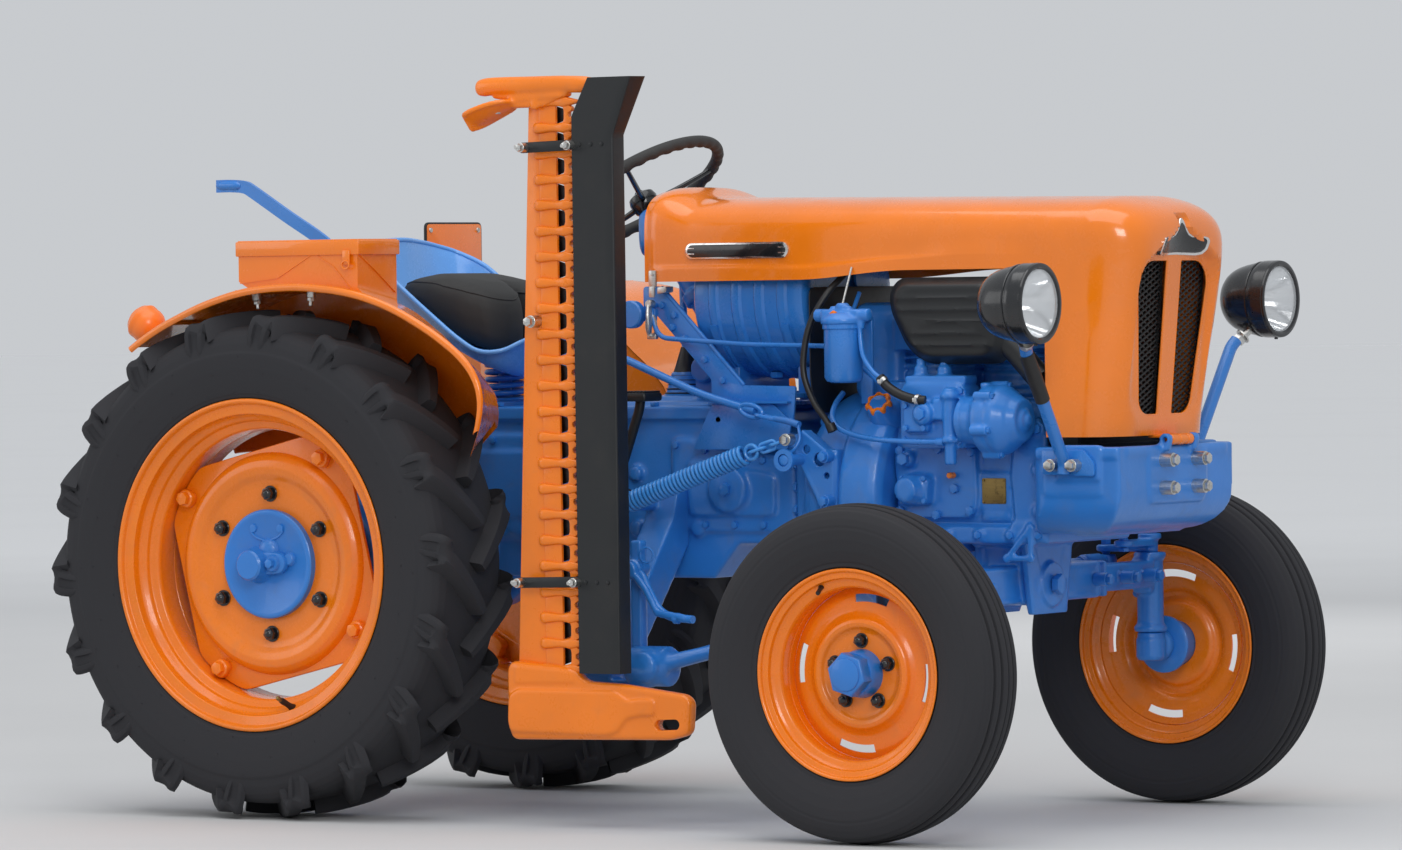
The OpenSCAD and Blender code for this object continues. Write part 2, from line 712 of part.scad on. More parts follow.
// Pivot bracket, beam with its sliding ends, and the kingpin housings
module front_axle() {
    bx = wheelbase;
    color(blue) placed() difference() {
        union() {
            // bracket with its ribs under the engine
            translate([bx - 62, -92, 577 - 14 - e]) cube([124, 184, 14]);
            yz_plate(bx - 52, bx + 52) polygon([
                [-86, 570], [-58, beam_z - 40], [58, beam_z - 40], [86, 570]
            ]);
            for (x = [bx - 60, bx + 48]) yz_plate(x, x + 12) polygon([
                [-92, 566], [-66, beam_z - 58], [66, beam_z - 58], [92, 566]
            ]);
            xcyl([bx - 66, 0, beam_z], 34, 132);
            // beam
            translate([bx - 30, -235, beam_z - 34]) cube([60, 470, 68]);
            for (s = [0, 1]) mirror([0, s, 0]) {
                translate([bx - 24, 200, beam_z - 27]) cube([48, kingpin_y - 222, 54]);
                zcyl([bx, kingpin_y, housing_z0], 27, housing_z1 - housing_z0);
                zcyl([bx, kingpin_y, housing_z1 - 12], 31, 12);
                for (y = [222, 330, 420]) xcyl([bx - 34, y, beam_z], 10, 68);
            }
        }
        for (s = [-1, 1]) zcyl([bx, s * kingpin_y, housing_z0 - 1], kingpin_r + run, housing_z1 - housing_z0 + 2);
    }
}

// Knuckle for the right side, with its kingpin in the axle's housing; the left one is its mirror
module knuckle() {
    x = wheelbase;
    y = -kingpin_y;
    zcyl([x, y, housing_z0 - 20], kingpin_r, arm_z - housing_z0 + 40);
    difference() {
        union() {
            zcyl([x, y, front_z - 30], 27, housing_z0 - e - front_z + 30);
            ycyl([x, y - 26, front_z], 27, 30);
        }
    }
    ycyl([x, -front_disc_y - 16, front_z], spindle_r, front_disc_y + 16 - kingpin_y);
    // steering arm to the rear
    xy_plate(arm_z, arm_z + 14) link_shape([x, y], [x - steer_arm, y], 17);
    zcyl([x - steer_arm, y, arm_z - 40], 8, 44);
}

module knuckle_right() {
    color(blue) placed() knuckle();
}

// The left knuckle also carries the arm of the drag link
module knuckle_left() {
    x = wheelbase;
    color(blue) placed() {
        mirror([0, 1, 0]) knuckle();
        xy_plate(arm_z + 13, arm_z + 27) link_shape([x, kingpin_y], [x, kingpin_y - steer_arm], 17);
        zcyl([x, kingpin_y - steer_arm, arm_z + 20], 8, 56);
    }
}

// Cross rod between the knuckles' rear arms; it hangs on the right-hand ball
module tie_rod() {
    x = wheelbase - steer_arm;
    z = arm_z - 20;
    color(blue) placed() difference() {
        union() {
            ycyl([x, -kingpin_y + 14, z], link_r, 2 * kingpin_y - 28);
            for (s = [-1, 1]) {
                zcyl([x, s * kingpin_y, z - 14], 20, 28);
                ycyl([x, s > 0 ? kingpin_y - 100 : -kingpin_y + 20, z], 15, 80);
            }
        }
        for (s = [-1, 1]) zcyl([x, s * kingpin_y, z - 20], 8 + run, 40);
    }
}

// Steering

// Tube from the wheel to the steering box on the gearbox, with the cross shaft to the left
module steering_column() {
    top = [sw_x, 0, sw_z] + 46 * column_dir;
    end = [box_x, 0, box_z];
    color(blue) placed() difference() {
        union() {
            bar(top, end, 22);
            translate(top) rotate([0, 180 - steering_tilt, 0]) cylinder(r1 = 24, r2 = 50, h = 60);
            translate(top + 60 * column_dir) rotate([0, 180 - steering_tilt, 0]) cylinder(r1 = 50, r2 = 26, h = 40);
            translate([box_x - 26, -60, gearbox_z1 + 12 + e]) cube([52, 130, cross_z + 34 - gearbox_z1 - 12 - e]);
            translate([box_x - 26, -30, cross_z]) cube([48, 60, box_z - cross_z + 14]);
            ycyl([box_x, 60, cross_z], 34, 60);
            ycyl([box_x, 100, cross_z], 26, drop_y - 100 - e);
            ycyl([box_x, -80, cross_z], 26, 30);
        }
        ycyl([box_x, 110, cross_z], 13 + run, 90);
        translate(top - 2 * column_dir) rotate([0, 180 - steering_tilt, 0]) cylinder(r = 12 + run, h = 50);
    }
}

// Wheel rim, three spokes, boss and the shaft in the column, drawn about its own axis
module steering_wheel() {
    r = steering_wheel_r;
    color(black) placed() translate([sw_x, 0, sw_z]) rotate([0, -steering_tilt, 0]) {
        rotate_extrude() translate([r, 0]) circle(d = steering_rim_d);
        for (k = [0 : 2]) rotate([0, 0, 120 * k + 60])
            bar([14, 0, -28], [r - 2, 0, -3], 5);
        zcyl([0, 0, -44], 22, 28, 28);
        zcyl([0, 0, -16], 28, 10, 16);
        zcyl([0, 0, -80], 12, 60);
    }
}

// Arm on the cross shaft, with the ball pin of the drag link
module drop_arm() {
    z = cross_z;
    color(blue) placed() {
        xz_plate(drop_y, drop_y + 16) difference() {
            link_shape([box_x, z], [box_x, z - drop_arm_l], 19);
        }
        ycyl([box_x, 116, z], 13, drop_y - 116 + 8);
        ycyl([box_x, drop_y + 8, z - drop_arm_l], 9, 46);
    }
}

// Rod from the drop arm to the left knuckle; its front eye is wide, for the open pivot
module drag_link() {
    z0 = cross_z - drop_arm_l;
    z1 = arm_z + 52;
    y0 = drop_y + 38;
    eye = 17;
    color(blue) placed() difference() {
        union() {
            bar([box_x + 10, y0, z0], [wheelbase - 26, link_y + 7, z1], link_r);
            ycyl([box_x, y0 - 13, z0], 19, 26);
            zcyl([wheelbase, link_y + 7, z1 - 12], 30, 24);
        }
        ycyl([box_x, y0 - 20, z0], 9 + run, 40);
        zcyl([wheelbase, link_y + 7, z1 - 20], eye, 40);
    }
}

// Frame that carries the hood's rear edge and the tank
module cowl_bracket() {
    x = hood_rear_x;
    color(blue) placed() {
        for (s = [0, 1]) mirror([0, s, 0]) translate([0, 158, 0]) {
            xz_plate(0, 6) difference() {
                polygon([
                    [x - 12, 1066], [x + 34, 1066], [x + 234, 866], [x + 352, 866], [x + 344, 790],
                    [x + 300, gearbox_z1 + 12 + e], [x + 150, gearbox_z1 + 12 + e], [x + 150, 880],
                    [x + 20, 1010], [x - 12, 1010]
                ]);
                for (k = [0 : 2]) translate([x + 60 + 52 * k, 1000 - 52 * k]) circle(r = 9);
            }
        }
        translate([x + 150, -160, gearbox_z1 + 12 + e]) cube([150, 320, 8]);
        for (fx = [tank_rear_x + 36, tank_rear_x + tank_l - 66])
            translate([fx, -160, tank_z - tank_r - 40 - e]) cube([30, 320, 10]);
        ycyl([x - 30, -190, 1012], 27, 22);
        translate([x - 40, -170, 1000]) cube([60, 10, 24]);
    }
}

// Throttle rod from the cowl to the pump, and the lift rod from the hand lever to the spring's bracket
module control_rods() {
    x = hood_rear_x;
    pin = [bell_rear_x + 26, -286, 722];
    color(blue) placed() {
        rod([[x + 20, -164 - e, 1030], [x + 20, -186, 1030], [x + 40, -186, 965], [block_rear_x - 60, -186, 945],
            [block_rear_x + 20, -188, 890], [block_rear_x + 92, -190, 834], [block_rear_x + 115 - e, -190, 834]], 5);
        rod([[40, -263 + e, 1112], [40, -250, 1112], [x - 60, -204, 935], [x + 150, -204, 850],
            [x + 330, -222, 806], [pin[0], pin[1], pin[2] + 24]], 8);
        difference() {
            ycyl(pin - [0, 3, 0], 22, 8);
            ycyl(pin - [0, 5, 0], 12 + e, 12);
        }
    }
}

// Driver's place

// Pan outline: half width and heights along the seat, from the back to the front
function seat_z(t) = 1160 - 262 * pow(t, 0.72) + 22 * pow(max(0, t - 0.8) / 0.2, 2);
function seat_y(t) = seat_hw * pow(sin(20 + 138 * t), 0.45);
function pan_point(t, s, lift) = [
    seat_back_x + (seat_front_x - seat_back_x) * t,
    seat_y(t) * sin(90 * s),
    seat_z(t) - 30 + 62 * pow(abs(s), 2.6) * (1 - 0.35 * t) + lift
];

module seat_pan() {
    nu = 14;
    nv = 14;
    pts = [
        for (lift = [0, -4], i = [0 : nu], j = [0 : nv]) pan_point(i / nu, 2 * j / nv - 1, lift)
    ];
    m = (nu + 1) * (nv + 1);
    function at(i, j) = i * (nv + 1) + j;
    faces = concat(
        [for (i = [0 : nu - 1], j = [0 : nv - 1]) [at(i, j), at(i, j + 1), at(i + 1, j + 1)]],
        [for (i = [0 : nu - 1], j = [0 : nv - 1]) [at(i, j), at(i + 1, j + 1), at(i + 1, j)]],
        [for (i = [0 : nu - 1], j = [0 : nv - 1]) [m + at(i, j), m + at(i + 1, j + 1), m + at(i, j + 1)]],
        [for (i = [0 : nu - 1], j = [0 : nv - 1]) [m + at(i, j), m + at(i + 1, j), m + at(i + 1, j + 1)]],
        [for (i = [0 : nu - 1]) [at(i, 0), at(i + 1, 0), m + at(i + 1, 0), m + at(i, 0)]],
        [for (i = [0 : nu - 1]) [at(i, nv), m + at(i, nv), m + at(i + 1, nv), at(i + 1, nv)]],
        [for (j = [0 : nv - 1]) [at(0, j), m + at(0, j), m + at(0, j + 1), at(0, j + 1)]],
        [for (j = [0 : nv - 1]) [at(nu, j), at(nu, j + 1), m + at(nu, j + 1), m + at(nu, j)]]
    );
    color(blue) placed() polyhedron(points = pts, faces = faces);
}

// Coil under the seat with its top plate and its foot on the gearbox
module seat_spring() {
    x = 237;
    t = (x - seat_back_x) / (seat_front_x - seat_back_x);
    pan_z = pan_point(t, 0, -4)[2];
    slope = (seat_z(t) - seat_z(t + 0.01)) / (0.01 * (seat_front_x - seat_back_x));
    foot_z = gearbox_z1 + 12 + e;
    color(blue) placed() {
        translate([x, 0, pan_z - 0.5]) rotate([0, atan(slope), 0]) translate([0, 0, -8]) cylinder(r = 38, h = 8);
        zcyl([x, 0, foot_z], 58, 10);
        zcyl([x, 0, foot_z], 16, pan_z - 8 - 16 * slope - foot_z);
        for (z = [foot_z + 14 : 13 : pan_z - 30]) translate([x, 0, z])
            rotate_extrude() translate([38, 0]) circle(r = 4.5, $fn = 24);
        zcyl([x, 0, foot_z], 35, pan_z - 34 - foot_z);
    }
}

// Everything under the pan's upper face, used to seat the pad on it
module under_pan(lift) {
    nu = 10;
    nv = 8;
    k = nv + 1;
    m = (nu + 1) * k;
    top = [for (i = [0 : nu], j = [0 : nv]) pan_point(i / nu, 2 * j / nv - 1, lift)];
    base = [for (p = top) [p[0], p[1], p[2] - 120]];
    polyhedron(points = concat(top, base), faces = concat(
        [for (i = [0 : nu - 1], j = [0 : nv - 1]) [i * k + j, i * k + j + 1, (i + 1) * k + j + 1]],
        [for (i = [0 : nu - 1], j = [0 : nv - 1]) [i * k + j, (i + 1) * k + j + 1, (i + 1) * k + j]],
        [for (i = [0 : nu - 1], j = [0 : nv - 1]) [m + i * k + j, m + (i + 1) * k + j + 1, m + i * k + j + 1]],
        [for (i = [0 : nu - 1], j = [0 : nv - 1]) [m + i * k + j, m + (i + 1) * k + j, m + (i + 1) * k + j + 1]],
        [for (i = [0 : nu - 1]) [i * k, (i + 1) * k, m + (i + 1) * k]],
        [for (i = [0 : nu - 1]) [i * k, m + (i + 1) * k, m + i * k]],
        [for (i = [0 : nu - 1]) [i * k + nv, m + (i + 1) * k + nv, (i + 1) * k + nv]],
        [for (i = [0 : nu - 1]) [i * k + nv, m + i * k + nv, m + (i + 1) * k + nv]],
        [for (j = [0 : nv - 1]) [j, m + j, m + j + 1]],
        [for (j = [0 : nv - 1]) [j, m + j + 1, j + 1]],
        [for (j = [0 : nv - 1]) [nu * k + j, m + nu * k + j + 1, m + nu * k + j]],
        [for (j = [0 : nv - 1]) [nu * k + j, nu * k + j + 1, m + nu * k + j + 1]]
    ));
}

// Thick pad in the pan, a plain closed solid
module seat_cushion() {
    color(black) placed() difference() {
        hull() for (s = [-1, 1]) {
            translate([88, s * 84, 1052]) sphere(r = 48, $fn = 20);
            translate([266, s * 88, 1008]) sphere(r = 46, $fn = 20);
            translate([270, s * 80, 966]) sphere(r = 46, $fn = 20);
        }
        under_pan(1.45);
    }
}

// Fender: an arched sheet with a rolled outer edge, an inner panel and ribs underneath
module fender() {
    $fn = 180;
    cx = fender_x;
    cz = fender_z;
    y0 = 304;
    y1 = fender_out_y;
    module ring(r0, r1, ya, yb) {
        difference() {
            ycyl([cx, ya, cz], r1, yb - ya);
            ycyl([cx, ya - 1, cz], r0, yb - ya + 2);
        }
    }
    module wedge(a0, a1) {
        rr = 2 * fender_r;
        am = (a0 + a1) / 2;
        xz_plate(y0 - 10, y1 + 40) polygon([
            [cx, cz], [cx + rr * cos(a0), cz + rr * sin(a0)],
            [cx + rr * cos(am), cz + rr * sin(am)], [cx + rr * cos(a1), cz + rr * sin(a1)]
        ]);
    }
    intersection() {
        union() {
            ring(fender_r - fender_t, fender_r, y0, y1);
            ring(fender_r - 14, fender_r, y1 - fender_t, y1);
            ring(fender_r - 130, fender_r, y0, y0 + fender_t);
            for (a = [0, 1]) ring(fender_r - 9, fender_r, y0 + 90 + 90 * a, y0 + 94 + 90 * a);
        }
        wedge(34, 128);
    }
    // stay down to the axle
    xz_plate(y0 - 6, y0) polygon([
        [-40, cz + 480], [40, cz + 480], [40, rear_r + 130 + e], [-40, rear_r + 130 + e]
    ]);
    xz_plate(y0 - 6, y0 + 2) polygon([
        [-40, cz + 470], [60, cz + 470], [60, cz + fender_r - 20], [-40, cz + fender_r - 20]
    ]);
}

module fender_right() {
    color(orange) placed() mirror([0, 1, 0]) fender();
}

module fender_left() {
    color(orange) placed() fender();
}

// Sheet toolbox on the right fender; its floor follows the fender's arc
module toolbox() {
    color(orange) placed() difference() {
        union() {
            translate([-40, -537, fender_z + 588]) cube([300, 134, 112]);
            translate([-44, -541, fender_z + 694]) cube([308, 142, 20]);
        }
        ycyl([fender_x, -600, fender_z], fender_r + e, 300, $fn = 256);
    }
}

// Round marker lamps on the rear ends of the fenders
module tail_lamps() {
    a = 128;
    color(orange) placed() for (s = [-1, 1])
        translate([fender_x + (fender_r + e) * cos(a - 4), s * 465, fender_z + (fender_r + e) * sin(a - 4)])
            rotate([0, -(a - 94) , 0]) {
                zcyl([0, 0, 0], 26, 22);
                translate([0, 0, 34]) sphere(r = 33);
            }
}

// Plate that stands on the left fender
module rear_plate() {
    color(orange) placed() {
        translate([-226, 358, fender_z + 582]) yz_plate(0, 4) round_rect([0, 0], [206, 179], 12);
        difference() {
            translate([-226, 400, fender_z + 538]) cube([34, 120, 50]);
            translate([-222, 399, fender_z + 560]) cube([40, 122, 40]);
            ycyl([fender_x, 300, fender_z], fender_r + e, 300, $fn = 256);
        }
    }
}

// Flat hand lever beside the seat, and the gear lever
module hand_levers() {
    gx = lever_x;
    color(blue) placed() {
        xz_plate(-273, -263) {
            link_shape([-290, 1288], [-214, 1280], 9);
            link_shape([-214, 1280], [-21, 1167], 13);
            link_shape([-21, 1167], [70, 1080], 13);
            link_shape([70, 1080], [96, 790], 13);
        }
        ycyl([96, -273, 790], 20, 273 - 150 - e);
        bar([gx, 0, gearbox_z1 + 80 + e + 3], [gx - 70, 92, gearbox_z1 + 325], 8);
        translate([gx - 70, 92, gearbox_z1 + 330]) sphere(r = 20);
    }
}

// Foot pedals on each side of the gearbox
module pedals() {
    x = hood_rear_x;
    pivot_x = bar_x - 23;
    color(black) placed() for (s = [0, 1], y = s == 0 ? -225 : -252) mirror([0, s, 0]) {
        translate([x - 8, y - 33, 836]) cube([60, 66, 18]);
        rod([[x + 20, y, 838], [x - 30, y, 700], [pivot_x, y, 640]], 10);
        ycyl([pivot_x, y - 15, 640], 20, -y + 15 - gearbox_hw - e);
    }
}

// Lamps

lamp_front_x = wheelbase + 328;

// Outer outline of a lamp shell, as radius and distance ahead of its rim, grown by g
function shell_outline(g) =
    let (r = lamp_d / 2 + g)
    [[0, -128 - g], [22 + g, -126 - g], [42 + g, -118], [58 + g, -100], [70 + g, -70],
     [r - 3, -34], [r, -22], [r, -4], [r - 6, g]];

// Places a drawing at a headlamp with its axis forward
module at_lamp(s) {
    translate([lamp_front_x, s * lamp_y, lamp_z]) rotate([0, 90, 0]) children();
}

module lamp_posts() {
    x = wheelbase + 251;
    color(blue) placed() difference() {
        for (s = [0, 1]) mirror([0, s, 0]) {
            translate([x - 30, support_hw + 8 + e, 676]) cube([60, 8, 60]);
            bar([x, support_hw + 24, 712], [x, 397, 946], 13);
            bar([x, 397, 946], [x + 26, lamp_y - 16, lamp_z - lamp_d / 2 - 6], 9);
            translate([x, 397, 946]) sphere(r = 13.4);
            zcyl([x + 26, lamp_y - 16, lamp_z - lamp_d / 2 - 16], 12, 24);
        }
        for (s = [-1, 1]) at_lamp(s) rotate_extrude() polygon(concat(shell_outline(e), [[0, e]]));
    }
}

// Bowl-shaped lamp shells, open to the front
module headlamps() {
    r = lamp_d / 2;
    color(black) placed() for (s = [-1, 1]) at_lamp(s) rotate_extrude() polygon(concat(shell_outline(0), [
        [r - 12, 0], [r - 12, -6], [r - 8, -22], [r - 10, -34], [62, -68], [50, -96], [36, -112], [0, -120]
    ]));
}

module headlamp_lenses() {
    r = lamp_d / 2 - 12 - e;
    color([0.85, 0.88, 0.9]) placed() for (s = [-1, 1])
        at_lamp(s) rotate_extrude() polygon([
            [0, 8], [20, 7.4], [40, 5], [56, 1.6], [r, -2], [r, -8], [0, -3]
        ]);
}

// Hood

function mixed(a, b, t) = a + (b - a) * max(0, min(1, t));
// How far the nose's round front has drawn in at a station
function nose_draw(x, r) =
    let (d = max(0, x - (nose_front_x - r)))
    r - sqrt(max(0, r * r - d * d));
function hood_hw(x) = mixed(182, hood_w / 2, (x - hood_rear_x) / (nose_rear_x - hood_rear_x));
// The side edge rises over the silencer
function hood_low(x) = hood_edge_z + 16 * mixed(0, 1, (x - wheelbase + 400) / 260);
// The top falls slightly to the front and rises to the dome at the rear
function hood_crown(x) = hood_top_z + 7 - 17 * (x - hood_rear_x) / (nose_front_x - hood_rear_x)
    + 20 * pow(max(0, 1 - (x - hood_rear_x) / 104), 1.5);

// One section from the right lower edge over the top to the left one; the nose leans back below
function hood_section(x, low, inset, n) =
    let (nose = max(0, (x - nose_rear_x) / (nose_front_x - nose_rear_x)),
         draw = nose_draw(x, nose_round_r),
         hw = hood_hw(x) - inset - draw,
         top = hood_crown(x) - inset - draw,
         rise = 112 - 0.6 * draw)
    [for (i = [0 : n])
        let (t = abs(2 * i / n - 1) * 1.6,
             side = max(0, t - 1) / 0.6,
             a = 90 * min(1, t),
             z = t < 1 ? top - rise * (1 - pow(cos(a), 0.5)) : mixed(top - rise, low, side))
        [x - inset * nose + nose_lean * nose * (z - 1105) / 335,
         sign(i - n / 2) * hw * pow(sin(a), 0.62) * (1 - 0.08 * nose * side), z]];

// Hood sheet in one piece: open below and behind, closed by the nose in front
module hood_sheet(n) {
    rear = [for (i = [0 : 5]) hood_rear_x + 104 * i / 5];
    middle = [for (i = [1 : 5]) mixed(hood_rear_x + 104, nose_rear_x, i / 5)];
    front = [for (i = [1 : 4]) nose_rear_x + 2 + (nose_front_x - nose_round_r - nose_rear_x - 2) * (i - 1) / 3];
    round = [for (i = [1 : 7]) nose_front_x - nose_round_r * (1 - sin(90 * i / 7))];
    high = concat(rear, middle);
    deep = concat(front, round);
    m = len(high) + len(deep);
    pts = concat(
        [for (x = high) each hood_section(x, hood_low(x), 0, n)],
        [for (x = deep) each hood_section(x, nose_bottom_z, 0, n)],
        [for (x = high) each hood_section(x, hood_low(x), hood_t, n)],
        [for (x = deep) each hood_section(x, nose_bottom_z, hood_t, n)]
    );
    k = n + 1;
    o = m * k;
    l = (m - 1) * k;
    faces = concat(
        [for (i = [0 : m - 2], j = [0 : n - 1]) [i * k + j, i * k + j + 1, (i + 1) * k + j + 1]],
        [for (i = [0 : m - 2], j = [0 : n - 1]) [i * k + j, (i + 1) * k + j + 1, (i + 1) * k + j]],
        [for (i = [0 : m - 2], j = [0 : n - 1]) [o + i * k + j, o + (i + 1) * k + j + 1, o + i * k + j + 1]],
        [for (i = [0 : m - 2], j = [0 : n - 1]) [o + i * k + j, o + (i + 1) * k + j, o + (i + 1) * k + j + 1]],
        [for (i = [0 : m - 2]) [i * k, (i + 1) * k, o + (i + 1) * k]],
        [for (i = [0 : m - 2]) [i * k, o + (i + 1) * k, o + i * k]],
        [for (i = [0 : m - 2]) [i * k + n, o + (i + 1) * k + n, (i + 1) * k + n]],
        [for (i = [0 : m - 2]) [i * k + n, o + i * k + n, o + (i + 1) * k + n]],
        [for (j = [0 : n - 1]) [j, o + j, o + j + 1]],
        [for (j = [0 : n - 1]) [j, o + j + 1, j + 1]],
        [[for (j = [0 : n]) l + j]],
        [[for (j = [n : -1 : 0]) o + l + j]],
        [[l, l + n, o + l + n], [l, o + l + n, o + l]]
    );
    polyhedron(points = pts, faces = faces);
}

module hood() {
    color(orange) placed() {
        difference() {
            hood_sheet(28);
            // grille slots on each side of the middle bar
            for (s = [-1, 1]) yz_plate(nose_front_x - 50, nose_front_x + 50)
                translate([s * slot_y, 0]) round_rect([-slot_w / 2, 805], [slot_w / 2, 1105], 30);
        }
        // raised crest above the grille
        xz_plate(-9, 9) polygon([
            [nose_front_x - 46, 1204], [nose_front_x - 12, 1196], [wheelbase + front_edge_x, 1162],
            [wheelbase + front_edge_x, 1146], [nose_front_x + 1, 1108], [nose_front_x - 3, 1108]
        ]);
        // hinge tongue, its barrel and its pin
        translate([nose_front_x - 50, -34, nose_bottom_z + 2]) cube([hinge_x - nose_front_x + 50, 68, 7]);
        ycyl([hinge_x, -42 + e, hinge_z], 12, 84 - 2 * e);
        ycyl([hinge_x, -62, hinge_z], hood_pin_r, 124);
    }
}

// Expanded mesh behind the two slots
module grille() {
    color(black) placed() translate([nose_front_x - hood_t - e - 5.2, 0, 1105])
        rotate([0, atan(nose_lean / 335), 0]) difference() {
            translate([0, -slot_y - slot_w / 2 - 6, -308]) cube([3, 2 * slot_y + slot_w + 12, 316]);
            for (z = [-296 : 22 : 0], s = [-1, 1], y = [-24 : 24 : 24])
                translate([-1, s * slot_y + y - 9, z]) cube([5, 18, 9]);
        }
}

// Mower

// Flat bar with the row of forged fingers bolted under it
module finger_bar() {
    tip = bar_x + finger_bar_w + finger_l;
    color(orange) placed() {
        translate([bar_x, bar_y - finger_bar_t, bar_z0]) cube([finger_bar_w, finger_bar_t, bar_z1 - bar_z0]);
        for (i = [0 : finger_count - 1]) translate([0, 0, finger_z0 + i * finger_pitch]) {
            xz_plate(bar_y - finger_bar_t - 9, bar_y - finger_bar_t) polygon([
                [bar_x + 14, -13], [bar_x + 14, 13], [bar_x + finger_bar_w + 16, 12],
                [tip - 26, 8], [tip, 2], [tip, -2], [tip - 26, -8], [bar_x + finger_bar_w + 16, -12]
            ]);
            xz_plate(bar_y - finger_bar_t, bar_y - e) polygon([
                [bar_x + finger_bar_w, -12], [bar_x + finger_bar_w, 12], [bar_x + finger_bar_w + 12, 11],
                [bar_x + finger_bar_w + 12, -11]
            ]);
            ycyl([bar_x + 26, bar_y - finger_bar_t - 15, 0], 8, 8);
        }
    }
}

// Knife: a slim back with a triangular section in front of each finger
module knife() {
    x0 = bar_x + finger_bar_w + 12;
    section = finger_pitch / 2 - 1.4;
    color(steel) placed() xz_plate(bar_y, bar_y + 4) {
        translate([x0 - 24, bar_z0 + 10]) square([22, bar_z1 - bar_z0 - 30]);
        for (i = [0 : finger_count - 2]) translate([0, finger_z0 + (i + 0.5) * finger_pitch])
            polygon([[x0 - 4, -section], [x0 - 4, section], [x0 + 52, 7], [x0 + 52, -7]]);
    }
}

// Folded sheet over the finger tips, with its two straps round the bar
module knife_guard() {
    x0 = bar_x + finger_bar_w + 82;
    z1 = bar_z1 + 44;
    color(black) placed() {
        difference() {
            xz_plate(sole_y - 12, bar_y + 16) polygon([
                [x0, bar_z0 - 28], [x0 + 128, bar_z0 - 28], [x0 + 128, z1 - 120], [x0 + 150, z1],
                [x0 + 30, z1], [x0, z1 - 60]
            ]);
            xz_plate(sole_y - 9, bar_y + 13) polygon([
                [x0 - 10, bar_z0 - 60], [x0 + 125, bar_z0 - 60], [x0 + 125, z1 - 120], [x0 + 148, z1 + 60],
                [x0 - 20, z1 + 60], [x0 - 10, z1 - 60]
            ]);
        }
        for (z = [488, bar_z1 - 92]) {
            translate([bar_x - 3 - e, sole_y - 12, z - 15]) cube([x0 - bar_x + 20, 3, 30]);
            translate([bar_x - 3 - e, sole_y - 12, z - 15]) cube([3, bar_y + 16 - sole_y + 12, 30]);
            translate([bar_x - 3 - e, bar_y + 13, z - 15]) cube([x0 - bar_x + 20, 3, 30]);
        }
    }
}

// Inner shoe with its hinge lugs; it carries the bar
module inner_shoe() {
    x = bar_x;
    color(orange) placed() difference() {
        union() {
            xz_plate(sole_y, bar_y - finger_bar_t - e) polygon([
                [x - 40, 196], [x - 30, 173], [x + 352, 181], [x + 398, 192], [x + 401, 262],
                [x + 388, 272], [x + 236, 288], [x + 150, 290], [x + 120, 318], [x - 26, 331], [x - 40, 318]
            ]);
            xz_plate(bar_y - finger_bar_t - e - 1, bar_y) difference() {
                polygon([
                    [x - 40, 200], [x - 30, 180], [x + 352, 190], [x + 396, 200], [x + 396, 256],
                    [x + 236, 280], [x + 120, 284], [x + 100, bar_z0 - e], [x - 40, bar_z0 - e]
                ]);
                translate([x + 252, 204]) square([120, 40]);
            }
            for (dx = [10, 200]) {
                xcyl([x + dx, fold_y, fold_z], 18, 26);
                translate([x + dx, bar_y - 2, fold_z - 18]) cube([26, fold_y - bar_y + 2, 36]);
            }
        }
        for (dx = [10, 200]) xcyl([x + dx - 1, fold_y, fold_z], fold_pin_r + run, 28);
        xz_plate(sole_y - 1, bar_y + 1) round_rect([x + 320, 202], [x + 372, 222], 9);
    }
}

// Outer shoe and its grass board at the top of the raised bar
module outer_shoe() {
    x = bar_x;
    z = bar_z1 + e;
    color(orange) placed() {
        xz_plate(sole_y, bar_y) polygon([
            [x - 20, z], [x + 96, z], [x + 130, z + 30], [x + 120, z + 46], [x - 60, z + 46], [x - 60, z + 26]
        ]);
        xz_plate(sole_y - 3, sole_y + 2) polygon([
            [x - 90, z + 28], [x - 40, z + 18], [x + 88, z + 22], [x + 98, z + 32], [x + 88, z + 42], [x - 52, z + 40]
        ]);
        xz_plate(bar_y - 2, bar_y + 40) polygon([
            [x - 50, z + 29], [x + 80, z + 33], [x + 80, z + 40], [x - 50, z + 36]
        ]);
    }
}

// Arm from the gearbox to the hinge pins of the shoe, with the upright of the crank
module mower_arm() {
    x = bar_x;
    color(blue) placed() {
        for (dx = [37, 173]) {
            xcyl([x + dx, fold_y, fold_z], 18, 26);
            xz_plate(fold_y, fold_y + 66) translate([x + dx, fold_z - 16]) square([26, 34]);
        }
        for (dx = [9, 172]) xcyl([x + dx, fold_y, fold_z], fold_pin_r, 56);
        translate([x + 37, fold_y + 58, fold_z - 16]) cube([162, 40, 60]);
        // arm that rises to the gearbox
        yz_plate(arm_x - 35, arm_x + 35) polygon([
            [fold_y + 60, fold_z + 2], [fold_y + 98, fold_z + 2], [-gearbox_hw - e, 550],
            [-gearbox_hw - e, 660], [-gearbox_hw - 40, 660], [-gearbox_hw - 60, 600], [fold_y + 60, fold_z + 60]
        ]);
        // pin for the rear end of the spring
        ycyl([x + 78, -332, 628], 10, 332 - gearbox_hw - 30);
        // upright with the crank's bearing
        translate([x + 178, fold_y + 64, fold_z + 40]) cube([26, 26, 280]);
        ycyl([x + 190, fold_y + 40, 510], 16, 60);
        rod([[x + 190, fold_y + 52, 510], [x + 230, fold_y + 44, 470], [x + 260, fold_y + 40, 425], [x + 338, fold_y + 31, 415]], 8);
    }
}

